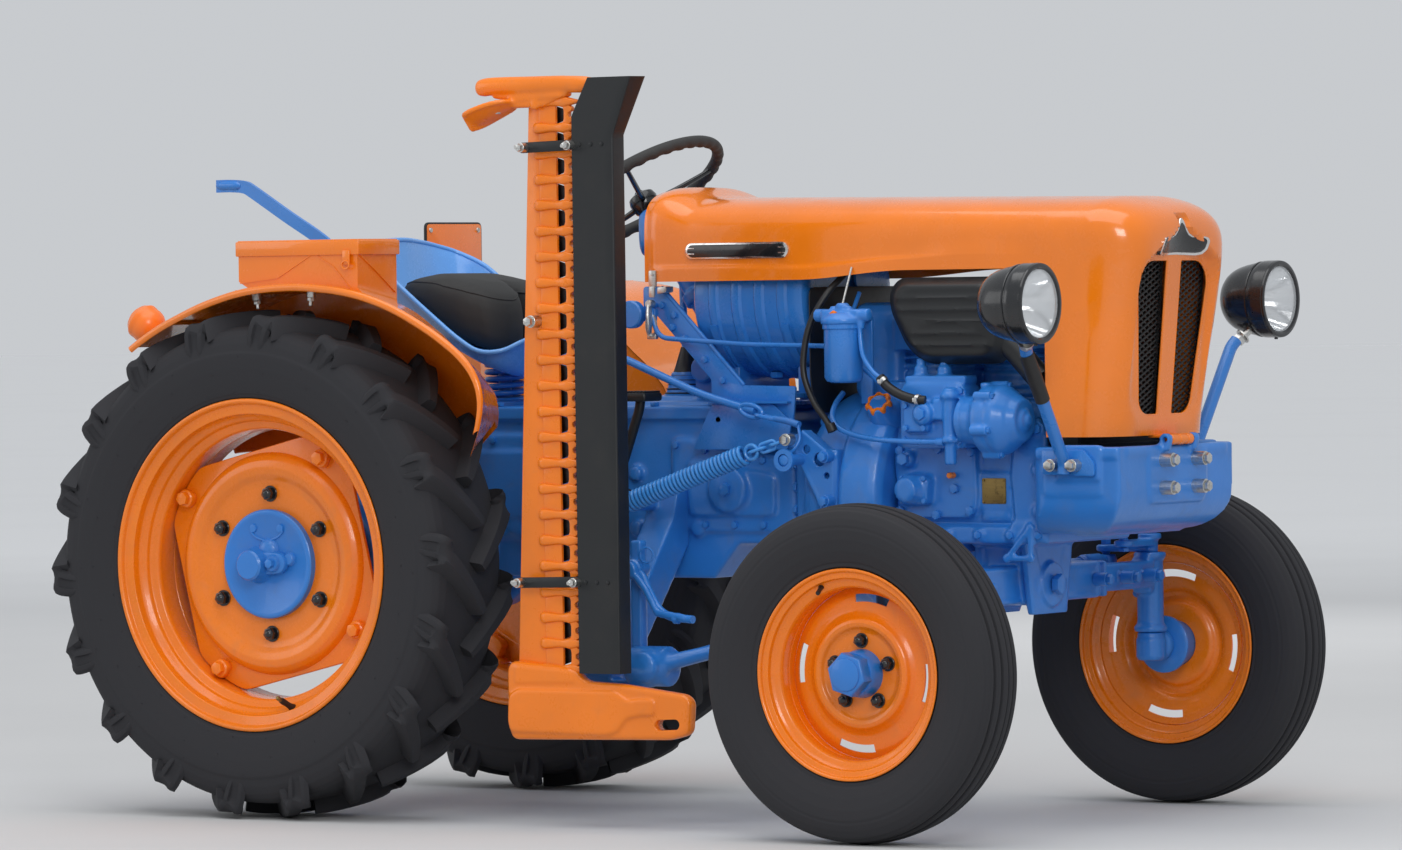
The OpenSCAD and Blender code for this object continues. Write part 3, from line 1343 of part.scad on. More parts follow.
// Crank head at the shoe and the connecting rod that drives the knife
module mower_drive() {
    x = bar_x + 230;
    color(blue) placed() {
        xcyl([x - 26, fold_y + 78, 318], 40, 60);
        ycyl([x + 4, fold_y + 50, 318], 30, 28);
        bar([x + 20, fold_y + 80, 322], [x + 250, -200, 398], 15);
        xcyl([x + 238, -190, 400], 44, 40);
        bar([x + 258, -190, 400], [x + 258, -150, 470], 20);
        translate([x + 238, -190, 440]) cube([40, 60, 60]);
    }
}

// Coil that balances the mower, with an eye round the pin at each end
module lift_spring() {
    a = [bar_x + 107, -313, 637];
    b = [bar_x + 377, -295, 733];
    v = b - a;
    l = norm(v);
    hook = [bell_rear_x + 26, -270, 722];
    rear = [bar_x + 78, -320, 628];
    color(blue) placed() {
        bar(a, b, 17);
        translate(a) rotate([0, acos(v[2] / l), atan2(v[1], v[0])])
            for (i = [0 : 9 : l]) translate([0, 0, i]) rotate_extrude($fn = 32) translate([17, 0]) circle(r = 4, $fn = 16);
        difference() {
            union() {
                bar(b, hook + [-14, 0, 2], 6);
                bar(rear + [10, 2, 2], a, 6);
                ycyl(hook - [0, 5, 0], 20, 10);
                ycyl(rear - [0, 5, 0], 18, 12);
            }
            ycyl(hook - [0, 20, 0], 12 + e, 40);
            ycyl(rear - [0, 20, 0], 10 + e, 40);
        }
    }
}

engine_block();
injection_pump();
fuel_filter();
muffler();
radiator();
fuel_tank();
bell_housing();
gearbox();
rear_axle();
drawbar();
front_support();
front_axle();
steering_column();
cowl_bracket();
control_rods();
seat_pan();
seat_spring();
seat_cushion();
fender_right();
fender_left();
toolbox();
tail_lamps();
rear_plate();
hand_levers();
pedals();
lamp_posts();
headlamps();
headlamp_lenses();
mower_arm();
mower_drive();
lift_spring();
hood();
grille();
steering_wheel();
drop_arm();
drag_link();
knuckle_right();
knuckle_left();
tie_rod();
rear_tyre_right();
rear_tyre_left();
rear_wheel_right();
rear_wheel_left();
front_tyre_right();
front_tyre_left();
front_wheel_right();
front_wheel_left();
finger_bar();
knife();
knife_guard();
inner_shoe();
outer_shoe();
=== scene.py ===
"""Looks of a small vintage farm tractor with a side mower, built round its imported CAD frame.

All sizes below are in millimetres in the tractor's own frame: the rear axle lies at X = 0, X is
forward, Y is to the left and Z is up. The meshes are written in the row's frame, in metres.
"""
import logging
import math
from dataclasses import dataclass
from enum import Enum

import bmesh
import bpy
import numpy as np
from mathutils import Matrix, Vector


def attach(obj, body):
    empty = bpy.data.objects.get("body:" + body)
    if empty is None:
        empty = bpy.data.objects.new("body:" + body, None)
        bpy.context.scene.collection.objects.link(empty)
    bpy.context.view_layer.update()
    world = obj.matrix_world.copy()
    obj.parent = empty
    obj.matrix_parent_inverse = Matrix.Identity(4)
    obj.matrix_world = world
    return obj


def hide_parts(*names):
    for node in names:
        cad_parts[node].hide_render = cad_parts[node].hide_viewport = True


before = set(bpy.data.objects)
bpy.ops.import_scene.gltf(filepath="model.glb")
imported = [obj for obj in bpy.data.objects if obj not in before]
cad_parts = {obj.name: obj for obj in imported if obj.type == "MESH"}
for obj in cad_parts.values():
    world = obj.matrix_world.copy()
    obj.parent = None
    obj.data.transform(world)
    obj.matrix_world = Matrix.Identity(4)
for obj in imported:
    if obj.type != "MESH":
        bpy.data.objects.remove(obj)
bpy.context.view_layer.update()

LOG = logging.getLogger("tractor")
SHIFT_X = 675.0
MM = 0.001
WHEELBASE = 1487.0
REAR_AXLE_Z = 516.0
TAKE_OFF_Z = 556.0
X_AXIS = np.array([1.0, 0.0, 0.0])
Y_AXIS = np.array([0.0, 1.0, 0.0])
Z_AXIS = np.array([0.0, 0.0, 1.0])
Point = tuple[float, float, float]
Pair = tuple[float, float]


def unit(v: np.ndarray) -> np.ndarray:
    """A vector with its length made 1."""
    return v / np.linalg.norm(v)


def units(rows: np.ndarray) -> np.ndarray:
    """Rows of vectors, each with its length made 1."""
    return rows / np.linalg.norm(rows, axis=1)[:, None]


def full_turn(n: int) -> np.ndarray:
    """Angles in radians of n equal steps round a circle."""
    return np.linspace(0, 2 * np.pi, n, endpoint=False)


def on_circle(radius: float, count: int, start: float) -> list[Pair]:
    """Places spread evenly on a circle, the first of them at start degrees."""
    angles = [math.radians(360 / count * k + start) for k in range(count)]
    return [(radius * math.cos(a), radius * math.sin(a)) for a in angles]


def linked(name: str, data: bpy.types.ID) -> bpy.types.Object:
    """A new object in the scene with its data."""
    obj = bpy.data.objects.new(name, data)
    bpy.context.scene.collection.objects.link(obj)
    return obj


@dataclass
class Skin:
    """Points in millimetres with their faces, as arrays of point numbers, one array per face size."""

    points: np.ndarray
    faces: list[np.ndarray]

    def __add__(self, other: "Skin") -> "Skin":
        """Both skins as one."""
        k = len(self.points)
        return Skin(np.vstack([self.points, other.points]), self.faces + [f + k for f in other.faces])

    def moved(self, offset: Point) -> "Skin":
        """The skin shifted by an offset."""
        return Skin(self.points + np.array(offset, float), self.faces)

    def posed(self, origin: np.ndarray, along: np.ndarray, roll: float = 0.0) -> "Skin":
        """The skin with its Z axis laid along a direction.

        Args:
            origin: Where the skin's own origin goes.
            along: The direction that its Z axis takes.
            roll: Turn about that direction in degrees.

        Returns:
            The posed skin.
        """
        side, up, ahead = cross_frame(np.array(along, float), roll)
        turned_points = self.points @ np.vstack([side, up, ahead])
        return Skin(turned_points + np.array(origin, float), self.faces)

    def spun(self, centre: Point, axis: np.ndarray, degrees: float) -> "Skin":
        """The skin turned about an axis through a centre, by the rotation formula with sine and cosine."""
        a = np.array(axis, float) / np.linalg.norm(axis)
        t = math.radians(degrees)
        p = self.points - np.array(centre, float)
        turned_points = (p * math.cos(t) + np.cross(a, p) * math.sin(t) + np.outer(p @ a, a)
            * (1 - math.cos(t)))
        return Skin(turned_points + np.array(centre, float), self.faces)

    def mirrored(self) -> "Skin":
        """The skin on the other side of the middle plane, with its faces turned to match."""
        return Skin(self.points * [1, -1, 1], [f[:, ::-1] for f in self.faces])


def cross_frame(along: np.ndarray, roll: float = 0.0) -> tuple[np.ndarray, np.ndarray, np.ndarray]:
    """Three unit vectors, of which the third is the given direction.

    Args:
        along: Any direction.
        roll: Turn of the first two about it, in degrees.

    Returns:
        Side, up and the direction itself.
    """
    ahead = unit(along)
    helper = X_AXIS if abs(ahead[2]) > 0.9 else Z_AXIS
    side = np.cross(helper, ahead)
    side = unit(side)
    up = np.cross(ahead, side)
    c, s = math.cos(math.radians(roll)), math.sin(math.radians(roll))
    return side * c + up * s, up * c - side * s, ahead


def joined(skins: list[Skin]) -> Skin:
    """Several skins as one."""
    starts = np.cumsum([0] + [len(s.points) for s in skins[:-1]])
    faces = [f + k for s, k in zip(skins, starts) for f in s.faces]
    return Skin(np.vstack([s.points for s in skins]), faces)


def both_sides(skin: Skin) -> Skin:
    """A skin and its mirror on the other side."""
    return skin + skin.mirrored()


def grid(points: np.ndarray, around: bool = False, loop: bool = False, ends: bool = False) -> Skin:
    """A net of four-sided faces over a grid of points.

    Args:
        points: Array of rows, columns and three coordinates.
        around: Joins the last column to the first.
        loop: Joins the last row to the first.
        ends: Closes the first and the last row with one face each.

    Returns:
        The skin.
    """
    nu, nv = points.shape[:2]
    index = np.arange(nu * nv).reshape(nu, nv)
    i, j = np.meshgrid(np.arange(nu if loop else nu - 1), np.arange(nv if around else nv - 1),
        indexing="ij")
    i2, j2 = (i + 1) % nu, (j + 1) % nv
    quads = np.stack([index[i, j], index[i, j2], index[i2, j2], index[i2, j]], axis=-1).reshape(-1, 4)
    faces = [quads]
    if ends:
        faces += [index[:1, ::-1], index[-1:]]
    return Skin(points.reshape(-1, 3), faces)


def turned(profile: list[Pair], origin: Point, axis: np.ndarray = Z_AXIS, n: int = 48,
        closed: bool = False) -> Skin:
    """A profile of radius and distance turned about an axis.

    Each point goes to origin + distance * axis + radius * (cos, sin) in the plane across the axis.

    Args:
        profile: Pairs of radius and distance along the axis.
        origin: A point on the axis.
        axis: The axis' direction.
        n: Steps round the axis.
        closed: The profile is itself a closed loop.

    Returns:
        The turned skin.
    """
    r, d = np.array(profile, float).T
    side, up, ahead = cross_frame(np.array(axis, float))
    a = full_turn(n)
    ring = np.outer(np.cos(a), side) + np.outer(np.sin(a), up)
    points = np.array(origin, float) + d[:, None, None] * ahead + r[:, None, None] * ring[None]
    capped = not closed and (r[0] > 0.01 or r[-1] > 0.01)
    return grid(points, around=True, loop=closed, ends=capped)


def lathe(profile: list[Pair], origin: Point, axis: np.ndarray = Z_AXIS, n: int = 48) -> Skin:
    """A turned solid: its profile is closed by a flat face at its first and its last level."""
    return turned([(0, profile[0][1]), *profile, (0, profile[-1][1])], origin, axis, n)


def curve(points: list[Point], n: int = 48) -> np.ndarray:
    """A smooth path through points: a cubic on each stretch whose ends lean along their neighbours.

    Args:
        points: Points that the path passes.
        n: Points wanted.

    Returns:
        Array of n points.
    """
    p = np.array(points, float)
    p = np.vstack([2 * p[0] - p[1], p, 2 * p[-1] - p[-2]])
    t = np.linspace(0, len(points) - 1 - 1e-9, n)
    k = t.astype(int)
    u = (t - k)[:, None]
    a, b, c, d = p[k], p[k + 1], p[k + 2], p[k + 3]
    return 0.5 * (2 * b + (c - a) * u + (2 * a - 5 * b + 4 * c - d) * u ** 2 + (3 * b - a - 3 * c + d)
        * u ** 3)


def tube(path: np.ndarray | list, radius: float | np.ndarray, n: int = 16, loop: bool = False,
        flat: float = 1.0) -> Skin:
    """A round or flattened bar along a path: a circle is set across the path at each point.

    Args:
        path: Points along the middle.
        radius: One radius or one for each point.
        n: Steps round the bar.
        loop: The path closes on itself.
        flat: Height of the section over its width.

    Returns:
        The bar with closed ends.
    """
    p = np.array(path, float)
    ahead = np.roll(p, -1, 0) - np.roll(p, 1, 0) if loop else np.gradient(p, axis=0)
    ahead = units(ahead)
    spread = np.abs(ahead).max(axis=0)
    helper = np.eye(3)[int(np.argmin(spread))]
    side = np.cross(helper, ahead)
    side = units(side)
    up = np.cross(ahead, side)
    a = full_turn(n)
    r = np.broadcast_to(np.array(radius, float), (len(p),))[:, None, None]
    ring = np.cos(a)[None, :, None] * side[:, None] + flat * np.sin(a)[None, :, None] * up[:, None]
    return grid(p[:, None] + r * ring, around=True, loop=loop, ends=not loop)


def bent_bar(points: list[Point], radius: float, bend: float = 25.0, n: int = 14) -> Skin:
    """A bar of straight lengths with round bends: near each corner the path follows a short arc.

    Args:
        points: Corners of the middle line.
        radius: Radius of the bar.
        bend: How far before and after a corner the bend begins.
        n: Steps round the bar.

    Returns:
        The bar.
    """
    p = np.array(points, float)
    rows = [p[:1]]
    u = np.linspace(0, 1, 7)[:, None]
    for i in range(1, len(p) - 1):
        before, after = p[i - 1] - p[i], p[i + 1] - p[i]
        reach = min(bend, 0.45 * np.linalg.norm(before), 0.45 * np.linalg.norm(after))
        start = p[i] + before / np.linalg.norm(before) * reach
        end = p[i] + after / np.linalg.norm(after) * reach
        rows.append((1 - u) ** 2 * start + 2 * u * (1 - u) * p[i] + u ** 2 * end)
    rows.append(p[-1:])
    return tube(np.vstack(rows), radius, n)


class Plane(Enum):
    """Planes in which an outline is drawn, with the place of the outline's axes and of its thickness."""

    XZ = (0, 2, 1)
    XY = (0, 1, 2)
    YZ = (1, 2, 0)


def inset(outline: np.ndarray, amount: float) -> np.ndarray:
    """An outline drawn in by an amount: each corner moves along the mean normal of its two edges."""
    before = outline - np.roll(outline, 1, 0)
    after = np.roll(outline, -1, 0) - outline
    n1 = np.stack([before[:, 1], -before[:, 0]], 1) / np.linalg.norm(before, axis=1)[:, None]
    n2 = np.stack([after[:, 1], -after[:, 0]], 1) / np.linalg.norm(after, axis=1)[:, None]
    mean = n1 + n2
    return outline - amount * mean / np.maximum((mean * n1).sum(1), 0.45)[:, None]


def prism(outline: list[Pair] | np.ndarray, lo: float, hi: float, edge: float = 1.5,
        plane: Plane = Plane.XZ, steps: int = 3) -> Skin:
    """A plate with rounded edges.

    The outline is repeated at depths near each face, drawn in by edge * (1 - sin t) at the depth
    edge * (1 - cos t), so that its two rims are quarter circles.

    Args:
        outline: Corners in the plane's own two axes.
        lo: Lower face.
        hi: Upper face.
        edge: Radius of the rims.
        plane: Plane of the outline.
        steps: Rings in each rim.

    Returns:
        The closed plate.
    """
    o = np.array(outline, float)
    area = (o[:, 0] * np.roll(o[:, 1], -1) - np.roll(o[:, 0], -1) * o[:, 1]).sum()
    if area < 0:
        o = o[::-1]
    edge = min(edge, 0.49 * (hi - lo))
    t = np.linspace(0, np.pi / 2, steps)
    draws = edge * (1 - np.sin(t))
    depths = edge * (1 - np.cos(t))
    levels = np.concatenate([lo + depths, (hi - depths)[::-1]])
    rings = np.stack([inset(o, d) for d in np.concatenate([draws, draws[::-1]])])
    points = np.empty(rings.shape[:2] + (3,))
    a, b, c = plane.value
    points[..., a], points[..., b] = rings[..., 0], rings[..., 1]
    points[..., c] = levels[:, None]
    return grid(points, around=True, ends=True)


def rectangle(x0: float, y0: float, x1: float, y1: float, r: float, n: int = 5) -> np.ndarray:
    """Outline of a rectangle with a quarter circle at each corner."""
    a = np.linspace(0, np.pi / 2, n)
    corners = [(x1 - r, y1 - r, 0), (x0 + r, y1 - r, 1), (x0 + r, y0 + r, 2), (x1 - r, y0 + r, 3)]
    return np.vstack([np.stack([cx + r * np.cos(a + k * np.pi / 2), cy + r * np.sin(a + k * np.pi / 2)], 1)
        for cx, cy, k in corners])


def rounded(points: list[Pair], r: float, n: int = 4) -> np.ndarray:
    """An outline whose corners are rounded by short curves that start r before each corner."""
    p = np.array(points, float)
    before, after = np.roll(p, 1, 0) - p, np.roll(p, -1, 0) - p
    lb, la = np.linalg.norm(before, axis=1), np.linalg.norm(after, axis=1)
    reach = np.minimum(r, 0.45 * np.minimum(lb, la))[:, None]
    start, end = p + before / lb[:, None] * reach, p + after / la[:, None] * reach
    u = np.linspace(0, 1, n)[None, :, None]
    arcs = (1 - u) ** 2 * start[:, None] + 2 * u * (1 - u) * p[:, None] + u ** 2 * end[:, None]
    return arcs.reshape(-1, 2)


def block(lo: Point, hi: Point, r: float = 3.0) -> Skin:
    """A box with rounded edges between two corners."""
    return prism(rectangle(lo[0], lo[1], hi[0], hi[1], r), lo[2], hi[2], r, Plane.XY)


def link_outline(a: Pair, b: Pair, r: float, r2: float | None = None) -> np.ndarray:
    """Outline of a flat link with a half circle round each of two points."""
    p, q = np.array(a, float), np.array(b, float)
    t = math.atan2(*(q - p)[::-1])
    s = np.linspace(-np.pi / 2, np.pi / 2, 11)
    r2 = r if r2 is None else r2
    far = q + r2 * np.stack([np.cos(t + s), np.sin(t + s)], 1)
    near = p + r * np.stack([np.cos(t + np.pi + s), np.sin(t + np.pi + s)], 1)
    return np.vstack([far, near])


def hexagon(across: float) -> np.ndarray:
    """Outline of a hexagon of a given size across its flats."""
    a = np.radians(np.arange(6) * 60 + 30)
    return across / math.sqrt(3) * np.stack([np.cos(a), np.sin(a)], 1)


def bolt(place: Point, axis: np.ndarray, across: float = 17.0, head: float = 10.0, washer: float = 3.0,
        roll: float = 0.0, stud: float = 0.0) -> Skin:
    """A hexagon head on a washer, with an optional stud end that stands proud of it.

    Args:
        place: Point on the surface under the washer.
        axis: Direction in which the head stands off.
        across: Size across flats.
        head: Height of the head.
        washer: Thickness of the washer, or 0.
        roll: Turn about the axis in degrees.
        stud: Length of thread beyond the head, or 0.

    Returns:
        The bolt.
    """
    parts = [prism(hexagon(across), washer - 0.2, washer + head, across * 0.09, Plane.XY, 3)]
    if washer:
        r = across * 0.72
        parts.append(lathe([(r, -1), (r, washer - 0.5), (r - 0.6, washer)], (0, 0, 0), n=28))
    if stud:
        r = across * 0.3
        top = washer + head + stud
        parts.append(turned([(r, washer), (r, top - 1.5), (r - 1.5, top), (0, top)], (0, 0, 0), n=20))
    return joined(parts).posed(place, axis, roll)


def ball(centre: Point, r: float, n: int = 24) -> Skin:
    """A sphere as a turned half circle."""
    t = np.linspace(-np.pi / 2, np.pi / 2, n // 2 + 1)
    return turned(np.stack([r * np.cos(t), r * np.sin(t)], 1), centre, Z_AXIS, n)


def rod_end(place: Point, axis: np.ndarray, r: float, h: float, chamfer: float = 1.5, n: int = 32) -> Skin:
    """A disc or boss with broken edges, centred on its place."""
    c = chamfer
    return lathe([(r - c, -h / 2), (r, -h / 2 + c), (r, h / 2 - c), (r - c, h / 2)], place, axis, n)


def helix(a: Point, b: Point, radius: float, wire: float, turns: float, n: int = 20,
        section: int = 8) -> Skin:
    """A coil from one point to another: the wire's middle runs round the axis at a steady rise."""
    p, q = np.array(a, float), np.array(b, float)
    side, up, _ = cross_frame(q - p)
    t = np.linspace(0, 1, int(turns * n) + 1)
    angle = 2 * np.pi * turns * t
    middle = p + np.outer(t, q - p) + radius * (np.outer(np.cos(angle), side) + np.outer(np.sin(angle), up))
    tangent = np.gradient(middle, axis=0)
    tangent = units(tangent)
    out = np.outer(np.cos(angle), side) + np.outer(np.sin(angle), up)
    high = np.cross(tangent, out)
    s = full_turn(section)
    ring = np.cos(s)[None, :, None] * out[:, None] + np.sin(s)[None, :, None] * high[:, None]
    return grid(middle[:, None] + wire * ring, around=True, ends=True)


def ribbon(path: np.ndarray, across: np.ndarray, width: float, thick: float) -> Skin:
    """A flat strap along a path: four corners are carried along it, width apart in one direction."""
    p = np.array(path, float)
    ahead = np.gradient(p, axis=0)
    ahead = units(ahead)
    wide = np.broadcast_to(np.array(across, float), p.shape)
    deep = np.cross(ahead, wide)
    deep = units(deep)
    corners = [(-0.5, -0.5), (0.5, -0.5), (0.5, 0.5), (-0.5, 0.5)]
    points = np.stack([p + wide * width * u + deep * thick * v for u, v in corners], 1)
    return grid(points, around=True, ends=True)


class Shade:
    """A material's nodes while they are laid out."""

    def __init__(self, name: str) -> None:
        """Starts an empty tree with one surface shader and the object's own coordinates."""
        self.material = bpy.data.materials.new(name)
        self.material.use_nodes = True
        self.tree = self.material.node_tree
        self.tree.nodes.clear()
        self.shader = self.tree.nodes.new("ShaderNodeBsdfPrincipled")
        output = self.tree.nodes.new("ShaderNodeOutputMaterial")
        self.tree.links.new(self.shader.outputs[0], output.inputs["Surface"])
        self.place = self.tree.nodes.new("ShaderNodeTexCoord").outputs["Object"]

    def node(self, kind: str, settings: dict[str, object] | None = None,
            **inputs: object) -> bpy.types.Node:
        """Adds a node.

        Args:
            kind: The node's type name.
            settings: Properties of the node.
            inputs: Values or sockets for its inputs, by name with _ for a blank.

        Returns:
            The node.
        """
        made = self.tree.nodes.new("ShaderNode" + kind)
        for key, value in (settings or {}).items():
            setattr(made, key, value)
        for key, value in inputs.items():
            socket = made.inputs[int(key[1:])] if key[0] == "i" and key[1:].isdigit() else made.inputs[
                key.replace("_", " ")]
            if isinstance(value, bpy.types.NodeSocket):
                self.tree.links.new(value, socket)
            else:
                socket.default_value = value
        return made

    def noise(self, scale: float, detail: float = 3.0, rough: float = 0.5, warp: float = 0.0,
            where: bpy.types.NodeSocket | None = None) -> bpy.types.NodeSocket:
        """A noise pattern of about 0 to 1, with so many features to the metre."""
        return self.node("TexNoise", Vector=where or self.place, Scale=scale, Detail=detail,
            Roughness=rough, Distortion=warp).outputs["Fac"]

    def ramp(self, value: bpy.types.NodeSocket, lo: float, hi: float, to_lo: float = 0.0,
            to_hi: float = 1.0) -> bpy.types.NodeSocket:
        """A value carried from one range to another, smoothly and without leaving it."""
        return self.node("MapRange", {"interpolation_type": "SMOOTHSTEP"}, Value=value, From_Min=lo,
            From_Max=hi, To_Min=to_lo, To_Max=to_hi).outputs[0]

    def blend(self, amount: bpy.types.NodeSocket | float, first: object,
            second: object) -> bpy.types.NodeSocket:
        """A colour between two colours."""
        return self.node("Mix", {"data_type": "RGBA"}, i0=amount, i6=first, i7=second).outputs[2]

    def maths(self, step: str, first: object, second: object = 0.0) -> bpy.types.NodeSocket:
        """Arithmetic on two values."""
        return self.node("Math", {"operation": step}, i0=first, i1=second).outputs[0]

    def bump(self, heights: list[tuple[bpy.types.NodeSocket, float]]) -> None:
        """Stacks bumps on the shader; each is a pattern and its height in metres."""
        last = None
        for pattern, height in heights:
            bump = self.node("Bump", Height=pattern, Distance=height, Strength=1.0)
            if last is not None:
                self.tree.links.new(last.outputs[0], bump.inputs["Normal"])
            last = bump
        if last is not None:
            self.tree.links.new(last.outputs[0], self.shader.inputs["Normal"])

    def wire(self, **inputs: object) -> bpy.types.Material:
        """Sets the shader's inputs by name and gives the finished material."""
        for key, value in inputs.items():
            socket = self.shader.inputs[key.replace("_", " ")]
            if isinstance(value, bpy.types.NodeSocket):
                self.tree.links.new(value, socket)
            else:
                socket.default_value = value
        return self.material


def colour(r: float, g: float, b: float, gain: float = 1.0) -> tuple[float, float, float, float]:
    """A colour with full cover, scaled by a gain."""
    return (min(1.0, r * gain), min(1.0, g * gain), min(1.0, b * gain), 1.0)


@dataclass(frozen=True)
class Enamel:
    """Paint on sheet or on a casting: cloudy colour, dust in patches, orange peel and the metal's grain."""

    name: str
    base: Point
    rough: float = 0.3
    peel: float = 0.00004
    cast: float = 0.0
    dust: float = 0.1
    coat: float = 0.0
    worn: Point = (0.2, 0.16, 0.11)

    def build(self) -> bpy.types.Material:
        """Lays out the nodes."""
        s = Shade(self.name)
        cloud = s.noise(4.0, 4.0)
        patch = s.noise(19.0, 8.0, 0.62, 0.4)
        speck = s.noise(160.0, 3.0)
        tone = s.blend(s.ramp(cloud, 0.3, 0.7), colour(*self.base, gain=0.93),
            colour(*self.base, gain=1.06))
        dusty = s.maths("MULTIPLY", s.ramp(patch, 0.5, 0.78), self.dust)
        tone = s.blend(dusty, tone, colour(*self.worn))
        tone = s.blend(s.ramp(speck, 0.7, 0.8, 0.0, self.dust * 0.8), tone, colour(*self.worn, gain=0.5))
        rough = s.maths("ADD", s.ramp(patch, 0.35, 0.75, self.rough - 0.04, self.rough + 0.12),
            s.ramp(speck, 0.4, 0.8, 0.0, 0.06))
        layers = [(s.noise(260.0, 2.0), self.peel), (s.noise(9.0, 2.0), 0.0006 if self.cast == 0 else 0.0)]
        if self.cast:
            layers += [(s.noise(120.0, 6.0, 0.65), self.cast), (s.noise(34.0, 4.0, 0.6), self.cast * 2.0)]
        s.bump([x for x in layers if x[1]])
        return s.wire(Base_Color=tone, Roughness=rough, Coat_Weight=self.coat, Coat_Roughness=0.05)


@dataclass(frozen=True)
class Rubber:
    """Tyre or hose rubber: near black, greyed by dust in patches, with a fine matt grain."""

    name: str
    base: Point
    rough: float = 0.62
    dust: float = 0.35
    grain: float = 0.00012

    def build(self) -> bpy.types.Material:
        """Lays out the nodes."""
        s = Shade(self.name)
        patch = s.noise(7.0, 8.0, 0.6, 0.5)
        fine = s.noise(90.0, 5.0, 0.6)
        scuff = s.node("TexVoronoi", {"feature": "SMOOTH_F1"}, Vector=s.place, Scale=55.0).outputs[0]
        tone = s.blend(s.ramp(patch, 0.42, 0.72, 0.0, self.dust), colour(*self.base),
            colour(0.085, 0.078, 0.066))
        tone = s.blend(s.ramp(fine, 0.56, 0.8, 0.0, self.dust * 0.5), tone, colour(0.13, 0.12, 0.1))
        rough = s.maths("ADD", s.ramp(patch, 0.3, 0.7, self.rough - 0.1, self.rough + 0.1),
            s.ramp(fine, 0.4, 0.7, 0.0, 0.08))
        s.bump([(fine, self.grain), (scuff, self.grain * 0.8)])
        return s.wire(Base_Color=tone, Roughness=rough)


@dataclass(frozen=True)
class Metal:
    """Bare or plated metal: drawn streaks, spots of tarnish and fine scratches."""

    name: str
    base: Point
    rough: float = 0.3
    tarnish: Point = (0.18, 0.13, 0.08)
    spots: float = 0.3
    metallic: float = 1.0

    def build(self) -> bpy.types.Material:
        """Lays out the nodes."""
        s = Shade(self.name)
        streak = s.node("Mapping", Vector=s.place, Scale=(30.0, 260.0, 900.0)).outputs[0]
        drawn = s.noise(1.0, 4.0, 0.6, where=streak)
        spot = s.noise(70.0, 6.0, 0.6)
        tone = s.blend(s.ramp(drawn, 0.3, 0.7), colour(*self.base, gain=0.85), colour(*self.base, gain=1.1))
        tone = s.blend(s.ramp(spot, 0.52, 0.72, 0.0, self.spots), tone, colour(*self.tarnish))
        rough = s.maths("ADD", s.ramp(drawn, 0.3, 0.7, self.rough - 0.06, self.rough + 0.08),
            s.ramp(spot, 0.5, 0.75, 0.0, 0.2))
        s.bump([(drawn, 0.00002), (spot, 0.00006)])
        return s.wire(Base_Color=tone, Roughness=rough, Metallic=self.metallic)


@dataclass(frozen=True)
class Leatherette:
    """Seat cover: black, with a pebbled grain, creases and a slight sheen where it is sat on."""

    name: str
    base: Point

    def build(self) -> bpy.types.Material:
        """Lays out the nodes."""
        s = Shade(self.name)
        pebble = s.node("TexVoronoi", {"feature": "DISTANCE_TO_EDGE"}, Vector=s.place,
            Scale=420.0).outputs[0]
        crease = s.noise(22.0, 6.0, 0.6, 0.8)
        patch = s.noise(8.0, 4.0)
        tone = s.blend(s.ramp(patch, 0.35, 0.7), colour(*self.base), colour(*self.base, gain=1.7))
        rough = s.ramp(crease, 0.3, 0.7, 0.36, 0.55)
        s.bump([(s.ramp(pebble, 0.0, 0.25), 0.00012), (crease, 0.0009)])
        return s.wire(Base_Color=tone, Roughness=rough, Sheen_Weight=0.08)


@dataclass(frozen=True)
class Moulded:
    """Moulded plastic or glass: a tint with fine ripples."""

    name: str
    base: Point
    rough: float = 0.2
    clear: float = 0.0

    def build(self) -> bpy.types.Material:
        """Lays out the nodes."""
        s = Shade(self.name)
        cloud = s.noise(30.0, 4.0)
        fine = s.noise(240.0, 3.0)
        tone = s.blend(s.ramp(cloud, 0.35, 0.7), colour(*self.base, gain=0.93),
            colour(*self.base, gain=1.05))
        rough = s.ramp(fine, 0.3, 0.7, max(0.02, self.rough - 0.04), self.rough + 0.06)
        s.bump([(fine, 0.00003)])
        return s.wire(Base_Color=tone, Roughness=rough, Transmission_Weight=self.clear, IOR=1.45)


ORANGE = (0.86, 0.2, 0.003)
BLUE = (0.024, 0.19, 0.6)
BLACK = (0.006, 0.0075, 0.009)


